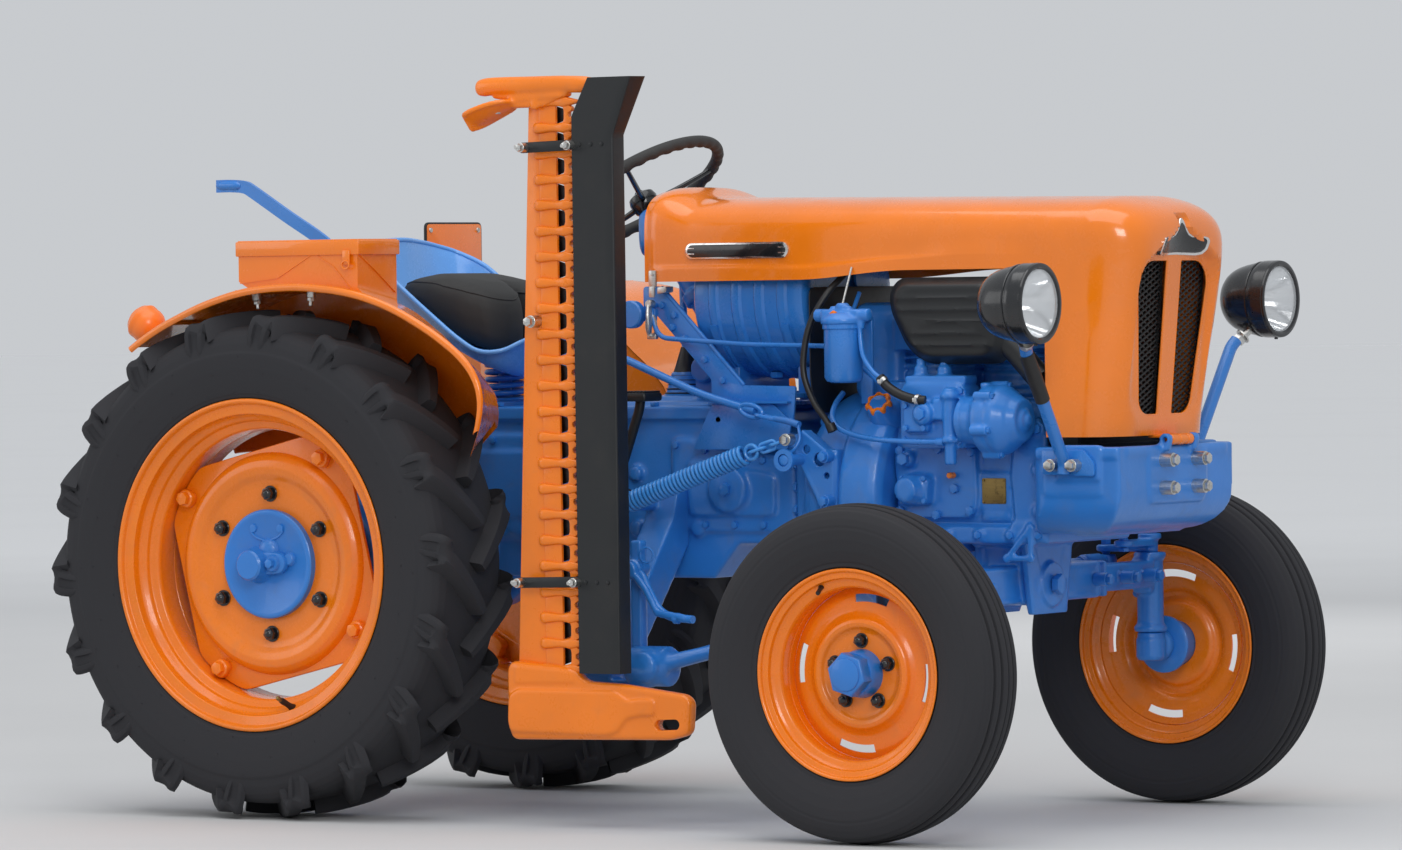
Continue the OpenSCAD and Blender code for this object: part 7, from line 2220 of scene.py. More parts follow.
    def nuts(self) -> Skin:
        """Painted bolt heads and nuts all over the engine's side."""
        y = self.side_y
        posts = [(x, z) for x in (1250, 1622) for z in (620, 700, 780)]
        cover = ((1308, 620), (1392, 612), (1470, 620), (1474, 736), (1398, 742), (1310, 738), (1434, 664))
        made = []
        for seat, across, head, places in (
            (y - 16, 17, 9, cover),
            (y - 43, 10, 6, ((1330, 640), (1380, 640), (1330, 684), (1380, 684))),
            (y - 13, 17, 8, posts),
            (y - 13, 14, 7, [(x, 573) for x in self.flange_bolts]),
        ):
            made += [bolt((x, seat, z), -Y_AXIS, across, head, 0) for x, z in places]
        gx, gy, gz = self.governor
        made += [bolt((gx + 16, gy + s, gz + c), X_AXIS, 12, 6, 0)
            for c, s in on_circle(self.governor_circle, 6, 14)]
        for seat, across, head, places in (
            (-242, 11, 6, ((1370, 784), (1412, 784), (1370, 828))),
            (-224, 13, 7, ((1356, 760), (1486, 760), (1486, 856))),
            (y - 36, 22, 12, ((1330, 722),)),
            (-254, 22, 9, ((1412, 812),)),
        ):
            made += [bolt((x, seat, z), -Y_AXIS, across, head, 0) for x, z in places]
        made += [bolt((1180, -226, z), -Y_AXIS, 17, 9, 22) for z in (728, 640)]
        return joined(made)

    def filter(self) -> tuple[Skin, Skin, Skin]:
        """Fuel filter: bowl with a rolled rim and a soft foot, cast head with its lugs, and the plug."""
        x, y = 1221.0, -233.0
        bowl = lathe([(24, 873), (33, 876), (38, 884), (38, 978), (41, 980), (41, 988), (38, 990)],
            (x, y, 0), Z_AXIS, 48)
        head = joined([
            turned([(0, 988), (43, 988), (44, 992), (44, 998), (38, 1004), (30, 1010), (0, 1012)],
                (x, y, 0), Z_AXIS, 48),
            block((x - 44, y - 16, 994), (x + 44, y + 16, 1018), 6),
            turned([(0, 0), (13, 0), (13, 26), (0, 28)], (x - 36, y, 1006), -X_AXIS, 24),
            turned([(0, 0), (13, 0), (13, 26), (0, 28)], (x + 36, y, 1006), X_AXIS, 24),
            lathe([(14, 1014), (14, 1026), (10, 1030)], (x, y, 0), Z_AXIS, 24),
            bolt((x + 16, y - 4, 1016), Z_AXIS, 13, 8, 0), bolt((x - 20, y - 2, 1016), Z_AXIS, 13, 8, 0),
            bolt((x + 58, y, 1006), X_AXIS, 17, 6, 0), bolt((x - 58, y, 1006), -X_AXIS, 17, 6, 0),
            lathe([(9, 0), (9, 18)], (x + 42, y - 2, 996), -Z_AXIS, 18),
        ])
        plug = joined([bolt((x - 8, y - 16, 1008), -Y_AXIS, 13, 9, 0),
            lathe([(5, 0), (5, 14)], (x - 8, y - 14, 1008), -Y_AXIS, 16)])
        return bowl, head, plug

    def pipes(self) -> tuple[Skin, Skin]:
        """Blue steel pipes, and black hoses, one of them with a collar on its lower end."""
        steel = joined([
            tube(curve([(1263, -238, 990), (1266, -240, 960), (1276, -246, 925), (1300, -250, 895),
                (1322, -252, 880)], 36), 5.0, 12),
            tube(curve([(1166, -150, 852), (1164, -176, 830), (1172, -200, 806), (1196, -214, 784),
                (1240, -224, 770), (1300, -238, 762), (1380, -246, 758), (1448, -240, 757)], 60), 5.5, 12),
            tube(curve([(1188, -120, 1050), (1186, -150, 1000), (1190, -176, 958), (1206, -196, 940)], 30),
                4.5, 12),
            tube(curve([(1378, -196, 918), (1376, -196, 936), (1366, -180, 948), (1346, -120, 960)], 24),
                4.0, 10),
            tube(curve([(1432, -196, 918), (1436, -196, 938), (1452, -180, 950), (1500, -120, 960)], 24),
                4.0, 10),
            lathe([(8, 0), (8, 16)], (1440, -240, 757), X_AXIS, 18),
        ])
        hose = joined([
            tube(curve([(1318, -252, 884), (1336, -254, 866), (1366, -256, 850), (1398, -252, 840),
                (1418, -246, 838)], 36), 9.5, 14),
            tube(curve([(1172, -150, 1086), (1158, -190, 1050), (1134, -214, 994), (1122, -222, 937),
                (1124, -226, 886), (1147, -228, 835), (1174, -228, 801), (1187, -226, 778)], 60), 6.5, 14),
            turned([(6, 0), (10, 0), (10, 16), (6, 16)], (1183, -227, 792), [0.4, 0.05, -0.9], 20, True),
        ])
        return steel, hose

    def clamps(self) -> Skin:
        """Screw clamps on the hose's ends and the steel rod above the filter."""
        made = []
        for place, along in (((1326, -253, 876), (0.7, 0, -0.7)), ((1404, -250, 839.5), (1, 0.05, -0.1))):
            made.append(turned([(9, -4), (11, -4), (11, 4), (9, 4)], place, along, 24, True))
            made.append(block((place[0] - 5, place[1] - 15, place[2] - 4),
                (place[0] + 5, place[1] - 9, place[2] + 4), 1))
        made.append(tube([[1221, -233, 1028], [1222, -200, 1100]], 2.2, 10))
        return joined(made)

    def oil_cap(self) -> tuple[Skin, Skin]:
        """Lobed orange oil cap, its radius 25.5 + 2.8 cos(7 a), and the blue middle."""
        a = full_turn(84)
        wave = 25.5 + 2.8 * np.cos(7 * a)
        rows = []
        for scale, lift in ((0.05, 0), (0.94, 0), (1.0, 2.5), (1.0, 9), (0.93, 13), (0.72, 13.5),
                (0.7, 11), (0.05, 11)):
            rows.append(np.stack([wave * scale * np.cos(a), wave * scale * np.sin(a),
                np.full_like(a, lift)], 1))
        cap = grid(np.array(rows), around=True, ends=True).posed(self.oil_filler, self.filler_axis)
        middle = lathe([(17.5, 8), (17.5, 12), (16, 13.5)], (0, 0, 0), Z_AXIS, 32)
        return cap, middle.posed(self.oil_filler, self.filler_axis)

    def muffler(self) -> tuple[Skin, Skin]:
        """Flat pressed silencer: two dished halves with a seam, five soft flutes and a bent spout."""
        outline = rounded([(1309, 1052), (1334, 1078), (1560, 1078), (1592, 1052), (1597, 1004),
            (1592, 934), (1566, 908), (1410, 908), (1378, 918), (1348, 944), (1312, 1014)], 24, 6)
        centre = np.array([1458.0, 994.0])
        u = np.concatenate([np.linspace(0, 0.2, 8), np.linspace(0.26, 0.985, 18)])[:, None, None]
        flat = outline[None] * (1 - u) + centre * u
        belly = 32 * smooth(u[..., 0] / 0.24) ** 0.7 + 3 * smooth((u[..., 0] - 0.2) / 0.6)
        flutes = 0.0
        for k in range(5):
            level = 946 + 23 * k
            left, right = 1372 - 9 * k, 1572
            flutes = flutes + 3.6 * np.exp(-((flat[..., 1] - level) / 4.2) ** 2) * smooth(
                (flat[..., 0] - left) / 14) * smooth((right - flat[..., 0]) / 14)
        rows = []
        for s in (-1, 1):
            y = -197 + s * (3 + belly + (flutes if s < 0 else 0 * belly))
            half = np.concatenate([flat[..., :1], (y + 0 * flat[..., 0])[..., None], flat[..., 1:]], -1)
            rows.append(half[::-1] if s < 0 else half)
        body = grid(np.concatenate(rows), around=True, ends=True)
        edge = inset(outline, -4.0)
        seam = prism(edge, -200, -194, 1.2)
        spout_path = curve([(1560, -192, 960), (1592, -192, 934), (1622, -194, 906), (1650, -196, 878)], 24)
        outside = tube(spout_path, 25.0, 24)
        mouth = np.array(spout_path[-1]), np.array(spout_path[-1] - spout_path[-2])
        lip = turned([(20, -1), (26, -1), (26, 2), (20, 2)], tuple(mouth[0]), mouth[1], 28, True)
        # A black disc at the spout's mouth, standing for the open bore: painted shade.
        hole = lathe([(21, 0.4), (21, 1.2)], tuple(mouth[0]), mouth[1], 28)
        flange = block((1352, -168, 950), (1420, -98, 1006), 6)
        return joined([body, seam, outside, lip, flange]), hole

    def build(self, bench: Bench) -> None:
        """Makes the engine's pieces."""
        bench.casting("engine_casting", ("engine_block",), Finish.BLUE_CAST, self.block_skins()
            + self.head_skins() + [self.bracket()], 4.0, 3)
        holder = bench.casting("spring_bracket", (), Finish.BLUE_CAST, self.spring_bracket(), 3.0, 2)
        self.bracket_holes(holder)
        bench.casting("pump_casting", ("injection_pump",), Finish.BLUE_CAST, self.pump_skins(), 3.0, 3)
        bench.piece("engine_nuts", self.nuts(), Finish.BLUE_CAST)
        bowl, head, plug = self.filter()
        bench.piece("filter_bowl", bowl, Finish.BLUE_SHEET, ("fuel_filter",))
        bench.casting("filter_head", (), Finish.BLUE_CAST, [head], 2.5, 2)
        bench.piece("filter_plug", plug, Finish.ORANGE_CAST)
        foot = block((1203, -224, 994), (1231, -139, 1002), 2) + block((1203, -143, 830),
            (1231, -135, 1002), 2)
        bench.piece("filter_bracket", foot, Finish.BLUE_CAST)
        steel, hose = self.pipes()
        bench.piece("steel_pipes", steel, Finish.BLUE_SHEET)
        bench.piece("rubber_hoses", hose, Finish.HOSE)
        bench.piece("hose_clamps", self.clamps(), Finish.ZINC)
        cap, middle = self.oil_cap()
        bench.piece("oil_cap", cap, Finish.ORANGE_CAST)
        bench.piece("oil_cap_middle", middle, Finish.BLUE_SHEET)
        stub = lathe([(6, 0), (6, 16), (4.5, 18)], (1434, -172, 690), -Y_AXIS, 16)
        bench.piece("orange_stub", stub, Finish.ORANGE_CAST)
        plate = prism(rounded([(1490, 634), (1544, 634), (1544, 684), (1490, 684)], 3), -157, -154, 0.5)
        pins = joined([turned([(0, 0), (2.6, 0), (2.2, 1.4), (0, 1.8)], (x, -157, z), -Y_AXIS, 10)
            for x in (1494, 1540) for z in (638, 680)])
        bench.piece("bare_name_plate", plate + pins, Finish.PLATE)
        can, hole = self.muffler()
        bench.piece("silencer_can", can, Finish.BLACK_SHEET, ("muffler",))
        # The black disc in the spout's mouth is painted shade.
        bench.piece("silencer_mouth_painted_shade", hole, Finish.HOSE)


@dataclass
class TankAndCowl:
    """Ribbed fuel drum, cowl side plates, rods and the radiator behind the nose."""

    tank_x: float = 815.0
    length: float = 272.0
    tank_z: float = 1047.0
    radius: float = 165.0

    def drum(self) -> Skin:
        """The drum as one revolve: dished ends, four raised bands with soft flanks."""
        profile = [(0.0, 4.0), (90.0, 2.0), (140.0, 0.0), (156.0, 2.0), (163.0, 8.0), (165.0, 16.0)]
        for k in range(1, 5):
            x = self.length * k / 5
            profile += [(165.0, x - 13), (169.5, x - 8), (170.2, x), (169.5, x + 8), (165.0, x + 13)]
        profile += [(165.0, self.length - 16), (163.0, self.length - 8), (156.0, self.length - 2),
            (140.0, self.length), (90.0, self.length - 2), (0.0, self.length - 4)]
        return turned(profile, (self.tank_x, 0, self.tank_z), X_AXIS, 96)

    def cradle(self) -> Skin:
        """Feet and two straps under the drum, its drain plug and a round plug on its front end."""
        made = [block((x, -92, self.tank_z - self.radius - 32), (x + 30, 92, self.tank_z - self.radius
            + 22), 3) for x in (851, 1021)]
        for x in (858, 1030):
            a = np.radians(np.linspace(200, 340, 40))
            path = np.stack([np.full_like(a, x + 8.0), 171.5 * np.cos(a), self.tank_z + 171.5 * np.sin(a)],
                1)
            made.append(ribbon(path, X_AXIS, 16, 2.4))
        made.append(bolt((950, -60, 893), -Z_AXIS, 24, 12, 0))
        made.append(turned([(0, 0), (26, 0), (26, 6), (0, 8)], (1088, 40, 1080), X_AXIS, 28))
        return joined(made)

    def plates(self) -> Skin:
        """Cowl side plates with folded edges, bolts and the round boss, and the floor between them."""
        side = rounded([(699, 1068), (740, 1068), (938, 868), (1063, 866), (1055, 792), (1011, 828),
            (861, 828), (861, 880), (731, 1010), (699, 1010)], 7, 4)
        made = []
        plate = prism(side, -164, -158, 1.2)
        edge = tube([[742.0, -161, 1066], [840, -161, 967], [938, -161, 868]], 4.5, 10)
        low = ribbon([[864.0, -170, 834], [960, -170, 834], [1052, -170, 834]], Y_AXIS, 20, 4)
        panel = prism(rounded([(818, 740), (1046, 740), (1054, 796), (1010, 832), (866, 832)], 8), -170,
            -165, 1)
        for x, z in ((745, 1030), (775, 1010), (770, 985), (800, 962), (848, 920), (890, 878), (1020, 800),
                (880, 800)):
            made.append(bolt((x, -164, z), -Y_AXIS, 13, 6, 0))
        half = joined([plate, edge, low, panel] + made)
        boss = turned([(0, 0), (25, 0), (28, 3), (28, 18), (25, 21), (0, 22)], (681, -168, 1012), -Y_AXIS,
            36)
        arm = block((671, -170, 998), (731, -160, 1024), 3)
        floor = block((861, -160, 827.3), (1011, 160, 835), 2)
        beams = [block((x, -160, 841.7), (x + 30, 160, 851.7), 2) for x in (851, 1021)]
        return joined([both_sides(half), boss, arm, floor] + beams)

    def rods(self) -> tuple[Skin, Skin]:
        """Throttle rod to the pump, lift rod with its link-like end, and the frayed cord at its tip."""
        throttle = bent_bar([(731, -164, 1030), (731, -188, 1030), (751, -190, 965), (960, -190, 950),
            (1170, -190, 945), (1250, -190, 894), (1320, -194, 842), (1345, -194, 834)], 5.0, 26, 12)
        lift = bent_bar([(410, -160, 850), (410, -168, 872), (500, -190, 902), (651, -204, 934),
            (861, -206, 852), (980, -214, 822), (1000, -216, 818)], 8.0, 40, 14)
        a = full_turn(30)
        loop = np.stack([992 + 26 * np.cos(a), -218 + 0 * a, 818 + 12 * np.sin(a) - 5 * np.cos(a)], 1)
        link = np.stack([1026 + 22 * np.cos(a), -218 + 7 * np.sin(a), 806 - 4 * np.cos(a)], 1)
        tail = curve([(1046, -219, 803), (1080, -222, 798), (1110, -226, 790)], 20)
        wire = curve([(1108, -226, 790), (1120, -240, 760), (1118, -268, 738), (1113, -286, 742)], 20)
        ring = turned([(12.5, -4), (22, -4), (22, 4), (12.5, 4)], (1113, -286, 722), Y_AXIS, 30, True)
        rod = joined([throttle, lift, tube(loop, 4.8, 10, loop=True), tube(link, 4.6, 10, loop=True), ring])
        frayed = joined([tube(tail, np.linspace(6.0, 7.5, 20), 12), tube(wire, 3.2, 10)])
        return rod, frayed

    def radiator(self) -> Skin:
        """Core with close fins between its tanks, and the filler's cap."""
        made = [block((1668, -158, 707), (1710, 158, 1100), 3),
            block((1658, -172, 1094), (1720, 172, 1142), 12), block((1658, -146, 592), (1720, 146, 708), 8)]
        for z in np.arange(716.0, 1092.0, 8.0):
            made.append(block((1664, -160, z), (1716, 160, z + 2.4), 0.4))
        made.append(turned([(0, 0), (30, 0), (30, 12), (0, 14)], (1690, 0, 1138), Z_AXIS, 32))
        for y in (-161, 161):
            made.append(block((1660, y - 5, 700), (1716, y + 5, 1100), 2))
        return joined(made)

    def build(self, bench: Bench) -> None:
        """Makes the tank's and the cowl's pieces."""
        bench.piece("fuel_drum", self.drum(), Finish.BLUE_SHEET, ("fuel_tank",))
        bench.piece("fuel_cradle", self.cradle(), Finish.BLUE_CAST)
        bench.piece("cowl_plates", self.plates(), Finish.BLUE_SHEET, ("cowl_bracket",))
        rod, frayed = self.rods()
        bench.piece("rods_and_links", rod, Finish.BLUE_SHEET, ("control_rods",))
        bench.piece("lift_rod_tail", frayed, Finish.BLUE_CAST)
        bench.piece("radiator_core", self.radiator(), Finish.BLACK_SHEET, ("radiator",))
        # A black sheet across the space under the hood behind the drum: painted shade.
        shade_sheet_outline = rounded([(-158, 812), (158, 812), (176, 880), (176, 1062), (-176, 1062), (-176, 880)], 18,
            4)
        bench.piece("painted_shade_sheet", prism(shade_sheet_outline, 1104, 1107, 0.8, Plane.YZ), Finish.BLACK_SHEET)


@dataclass
class Transmission:
    """Clutch bell, gearbox with its turret and gaiter, rear axle case and drawbar."""

    bell_x: float = 1087.0
    half_width: float = 128.0
    crank_z: float = 640.0
    bell_circle: float = 176.0
    trumpet_circle: float = 122.0
    lever_x: float = 691.0

    def bell_skins(self) -> list[Skin]:
        """Rings and flange lugs of the clutch bell."""
        made = [
            lathe([(178, 0), (186, 6), (186, 18), (178, 24)], (self.bell_x, 0, self.crank_z), X_AXIS, 72),
            lathe([(205, 20), (214, 40), (218, 70), (219, 108), (232, 118), (234, 150), (232, 180),
                (224, 196), (208, 204)], (self.bell_x, 0, self.crank_z), X_AXIS, 96),
        ]
        for c, s in on_circle(self.bell_circle, 10, 12):
            made.append(lathe([(15, -2), (15, 26)], (self.bell_x, c, self.crank_z + s), X_AXIS, 20))
        return made

    def gearbox_skins(self) -> list[Skin]:
        """Side mouldings, flanges, cover steps and bosses of the gearbox."""
        hw = self.half_width
        side = [
            prism(rounded([(210, 560), (560, 560), (560, 770), (210, 770)], 24), -hw - 9, -hw + 6, 4),
            prism(rounded([(742, 574), (1040, 574), (1040, 724), (742, 764)], 22), -hw - 9, -hw + 6, 4),
            prism(rounded([(786, 606), (996, 606), (996, 690), (786, 716)], 18), -hw - 17, -hw + 6, 4),
            prism(rounded([(250, 596), (516, 596), (516, 736), (250, 736)], 18), -hw - 16, -hw + 6, 4),
            lathe([(52, 0), (52, 8), (46, 12), (46, 22), (20, 26)], (890, -hw - 10, 660), -Y_AXIS, 44),
            lathe([(20, 0), (20, 30)], (1076, -hw - 4, 568), -Y_AXIS, 28),
        ]
        both = both_sides(joined(side))
        made = [both, prism(rounded([(420, -118), (900, -118), (900, 118), (420, 118)], 18), 824, 836, 3,
            Plane.XY), prism(rounded([(600, -84), (782, -84), (782, 84), (600, 84)], 20), 832, 846, 4,
            Plane.XY), block((168, -hw - 20, 520), (196, hw + 20, 812), 6),
            block((1050, -hw - 22, 552), (1084, hw + 22, 724), 6)]
        return made

    def gearbox_nuts(self) -> Skin:
        """Bolt heads along the covers, flanges and bells."""
        hw = self.half_width
        cover = [(x, z) for x in (224, 304, 384, 464, 546) for z in (572, 758)]
        cover += [(x, 588) for x in (756, 826, 896, 966, 1028)]
        cover += [(756, 748), (826, 738), (896, 728), (966, 718), (1028, 712)]
        made = [bolt((x, -hw - 9, z), -Y_AXIS, 13, 7, 0) for x, z in cover]
        made += [bolt((1050, -hw - 12, z), -X_AXIS, 17, 9, 0) for z in (576, 620, 664, 708)]
        made += [bolt((x, -hw - 2, 827), Z_AXIS, 17, 8, 0) for x in (236, 316, 396, 476, 620, 700, 840,
            890)]
        made = [both_sides(joined(made))]
        for c, s in on_circle(self.bell_circle, 10, 12):
            made.append(bolt((self.bell_x - 2, c, self.crank_z + s), -X_AXIS, 17, 9, 0))
        made.append(bolt((890, -hw - 34, 660), -Y_AXIS, 24, 10, 0))
        return joined(made)

    def gaiter(self) -> Skin:
        """Rubber bellows and cone at the gear lever's foot, its folds 5.5 mm deep."""
        profile = [(0.0, 838.0), (46.0, 838.0), (48.0, 842.0)]
        for k in range(5):
            z, r = 846 + 9 * k, 46 - 3.4 * k
            profile += [(r - 5.5, z), (r, z + 4.5)]
        profile += [(26.0, 896.0), (22.0, 908.0), (14.0, 934.0), (11.0, 944.0), (0.0, 945.0)]
        return turned(profile, (self.lever_x, 0, 0), Z_AXIS, 48)

    def axle_skins(self) -> list[Skin]:
        """Steps and ribs of the trumpets and brake cases, and the bosses of their bolts."""
        made = []
        for s in (-1, 1):
            axis = s * Y_AXIS
            made.append(lathe([(128, 0), (132, 6), (132, 20), (118, 30), (104, 56), (84, 62)],
                (0, s * 146, REAR_AXLE_Z), axis, 64))
            made.append(lathe([(120, 0), (124, 6), (124, 52), (118, 60), (100, 64)],
                (0, s * 248, REAR_AXLE_Z), axis, 64))
            made.append(lathe([(86, 0), (96, 8), (96, 30), (84, 36)], (0, s * 410, REAR_AXLE_Z), axis, 56))
            for k in range(8):
                a = math.radians(45 * k + 20)
                made.append(lathe([(15, 0), (15, 26)], (self.trumpet_circle * math.cos(a), s * 146,
                    REAR_AXLE_Z + self.trumpet_circle * math.sin(a)), axis, 20))
                rib = np.array([[86 * math.cos(a), s * 306, REAR_AXLE_Z + 86 * math.sin(a)],
                    [78 * math.cos(a), s * 416, REAR_AXLE_Z + 78 * math.sin(a)]])
                made.append(tube(rib, 7.0, 10))
        made.append(prism(rounded([(-104, -124), (134, -124), (134, 124), (-104, 124)], 22), 830, 846, 4,
            Plane.XY))
        made.append(lathe([(62, 0), (62, 16), (50, 22)], (-140, 0, TAKE_OFF_Z), -X_AXIS, 44))
        return made

    def axle_nuts(self) -> Skin:
        """Bolts round the trumpets' flanges and the rear cover."""
        made = []
        for hand in (-1, 1):
            for c, s in on_circle(self.trumpet_circle, 8, 20):
                made.append(bolt((c, hand * 172, REAR_AXLE_Z + s), hand * Y_AXIS, 17, 9, 0))
        for c, s in on_circle(52, 4, 45):
            made.append(bolt((-156, c, TAKE_OFF_Z + s), -X_AXIS, 13, 7, 0))
        return joined(made)

    def take_off(self) -> Skin:
        """Splined shaft end behind the axle: six teeth on a 35 mm shaft."""
        a = full_turn(72)
        r = 15.0 + 2.4 * np.clip(2.2 * np.cos(6 * a), -1, 1)
        rows = [np.stack([np.full_like(a, x), r * k * np.cos(a), TAKE_OFF_Z + r * k * np.sin(a)], 1)
            for x, k in ((-268.5, 0.02), (-269, 0.82), (-265, 1.0), (-190, 1.0), (-189, 0.02))]
        return grid(np.array(rows), around=True, ends=True)

    def build(self, bench: Bench) -> None:
        """Makes the transmission's pieces."""
        bench.casting("clutch_bell", ("bell_housing",), Finish.BLUE_CAST, self.bell_skins(), 4.0, 3)
        bench.casting("gearbox_casting", ("gearbox",), Finish.BLUE_CAST, self.gearbox_skins(), 4.5, 3)
        bench.piece("gearbox_nuts", self.gearbox_nuts(), Finish.BLUE_CAST)
        bench.piece("lever_gaiter", self.gaiter(), Finish.HOSE)
        bench.casting("rear_axle_casting", ("rear_axle",), Finish.BLUE_CAST, self.axle_skins(), 4.5, 3)
        bench.piece("axle_nuts", self.axle_nuts(), Finish.BLUE_CAST)
        bench.casting("drawbar_plate", ("drawbar",), Finish.BLUE_CAST, [], 3.0, 2)
        bench.piece("take_off_splines", self.take_off(), Finish.STEEL)


@dataclass
class FrontEnd:
    """Cast support, beam axle, knuckles and the steering's rods and arms."""

    axle_x: float = 1487.0
    front_x: float = 1839.0
    half_width: float = 219.0
    top: float = 747.0
    beam_z: float = 471.0
    kingpin_y: float = 491.5
    arm_z: float = 515.3
    steer_arm: float = 103.0

    def support_skins(self) -> list[Skin]:
        """Top rim, front plate, side pads and stiffening beads of the support."""
        hw, top, x1 = self.half_width, self.top, self.front_x
        made = [
            prism(rounded([(1650, 724), (1836, 724), (1836, 745), (1650, 745)], 4), -hw - 4, -hw + 8, 3),
            prism(rounded([(1668, 650), (1800, 650), (1800, 706), (1668, 706)], 14), -hw - 3, -hw + 6, 2.5),
            block((1640, -hw + 30, 592), (1660, hw - 30, 640), 6),
            block((1700, -hw + 60, 572), (1760, hw - 60, 584), 5),
        ]
        pair = both_sides(joined(made))
        plate = prism(rounded([(-104, 634), (104, 634), (112, 660), (112, 742), (-112, 742), (-112, 660)],
            14), x1 - 8, x1 + 4, 3, Plane.YZ)
        return [pair, plate, block((x1 - 20, -hw + 24, top - 22), (x1 + 3, hw - 24, top - 1), 5)]

    def support_nuts(self) -> Skin:
        """Long bolts of the front plate, and those of the flange to the engine."""
        made = []
        for z in (664, 718):
            made.append(bolt((self.front_x + 4, -62, z), X_AXIS, 19, 9, 26))
        for z in (620, 680, 730):
            made.append(bolt((1650, -self.half_width + 26, z), -X_AXIS, 17, 9, 0))
        return both_sides(joined(made))

    def axle_skins(self) -> list[Skin]:
        """Pivot bracket's ribs, beam flanges, clamp collars and housings' rims."""
        x, z = self.axle_x, self.beam_z
        made = []
        for dx in (-58, 46):
            outline = rounded([(-90, 562), (-64, z - 52), (64, z - 52), (90, 562), (62, 562), (34, z + 26),
                (-34, z + 26), (-62, 562)], 8, 3)
            made.append(prism(outline, x + dx - 2, x + dx + 16, 3, Plane.YZ))
        made += [
            lathe([(40, 0), (44, 5), (44, 14)], (x - 70, 0, z), X_AXIS, 40),
            lathe([(40, 0), (44, 5), (44, 14)], (x + 56, 0, z), X_AXIS, 40),
            block((x - 33, -236, z + 26), (x + 33, 236, z + 37), 4), block((x - 33, -236, z - 37),
                (x + 33, 236, z - 26), 4),
            block((x - 66, -94, 549), (x + 66, 94, 562), 4),
        ]
        half = []
        for y in (236, 262):
            half.append(block((x - 33, y - 7, z - 36), (x + 33, y + 7, z + 36), 4))
        hy = self.kingpin_y
        half.append(turned([(16, 0), (33, 0), (34, 3), (34, 10), (31, 13), (28, 16), (16, 16)],
            (x, hy, 353.5), Z_AXIS, 40, True))
        half.append(turned([(16, 0), (29, 0), (33, 4), (33, 12), (16, 12)], (x, hy, 501), Z_AXIS, 40, True))
        half.append(block((x - 22, 452, z - 40), (x + 22, hy - 20, z + 38), 8))
        half.append(lathe([(8, 0), (8, 8), (4, 14)], (x - 27, hy, 430), -X_AXIS, 16))
        made.append(both_sides(joined(half)))
        return made

    def axle_nuts(self) -> Skin:
        """Through bolts of the sliding beam and the bracket's bolts."""
        x, z = self.axle_x, self.beam_z
        half = []
        for y in (222, 330, 420):
            half.append(bolt((x + 34, y, z), X_AXIS, 19, 10, 27))
            half.append(bolt((x - 34, y, z), -X_AXIS, 19, 10, 27))
        for dx in (-50, 50):
            half.append(bolt((x + dx, 76, 549), -Z_AXIS, 19, 11, 0))
        half.append(bolt((x + 74, 0, z), X_AXIS, 36, 16, 0))
        return both_sides(joined(half))

    def knuckle_skins(self, left: bool) -> Skin:
        """Collars, spindle steps and arm eyes of a knuckle, drawn for the right side."""
        x, y = self.axle_x, -self.kingpin_y
        made = [
            lathe([(24, 0), (30, 5), (30, 40), (27, 46), (27, 54)], (x, y, 297), Z_AXIS, 40),
            lathe([(30, 0), (33, 4), (33, 14), (28, 20), (24, 26)], (x, y - 22, 325), -Y_AXIS, 40),
            lathe([(24, 0), (24, 10), (20, 12)], (x, y, self.arm_z + 26), Z_AXIS, 32),
            lathe([(17, 0), (20, 3), (20, 11), (17, 14)], (x - self.steer_arm, y, self.arm_z), Z_AXIS, 32),
        ]
        if left:
            made.append(lathe([(17, 0), (20, 3), (20, 11), (17, 14)],
                (x, y + self.steer_arm, self.arm_z + 13), Z_AXIS, 32))
        return joined(made)

    def knuckle_nuts(self, left: bool) -> Skin:
        """Nut of the kingpin and of the ball pins."""
        x, y = self.axle_x, -self.kingpin_y
        made = [bolt((x, y, self.arm_z + 38), Z_AXIS, 30, 14, 0),
            bolt((x - self.steer_arm, y, self.arm_z + 14), Z_AXIS, 19, 11, 0)]
        if left:
            made.append(bolt((x, y + self.steer_arm, self.arm_z + 12), -Z_AXIS, 19, 8, 0))
        return joined(made)

    def link_ends(self) -> tuple[Skin, Skin]:
        """Collars, seals and lock nuts on the tie rod, and the same on the drag link."""
        x, z = self.axle_x - self.steer_arm, self.arm_z - 20
        y = self.kingpin_y
        half = [
            turned([(8.6, 0), (19, 0), (22, 4), (22, 20), (18, 26), (8.6, 26)], (x, y, z - 13), Z_AXIS, 32,
                True),
            lathe([(13, 0), (17, 5), (17, 64), (13, 70)], (x, y - 96, z), Y_AXIS, 28),
            bolt((x, y - 96, z), -Y_AXIS, 26, 12, 0),
        ]
        tie = both_sides(joined(half))
        a, b = np.array([789.0, 210.0, 727.0]), np.array([1461.0, 395.5, 567.3])
        along = unit(b - a)
        drag = joined([
            lathe([(13, 0), (17, 5), (17, 80), (13, 86)], tuple(a + 14 * along), along, 28),
            lathe([(13, 0), (17, 5), (17, 80), (13, 86)], tuple(b - 92 * along), along, 28),
            bolt(tuple(a + 100 * along), along, 26, 12, 0), bolt(tuple(b - 92 * along), -along, 26, 12, 0),
        ])
        return tie, drag

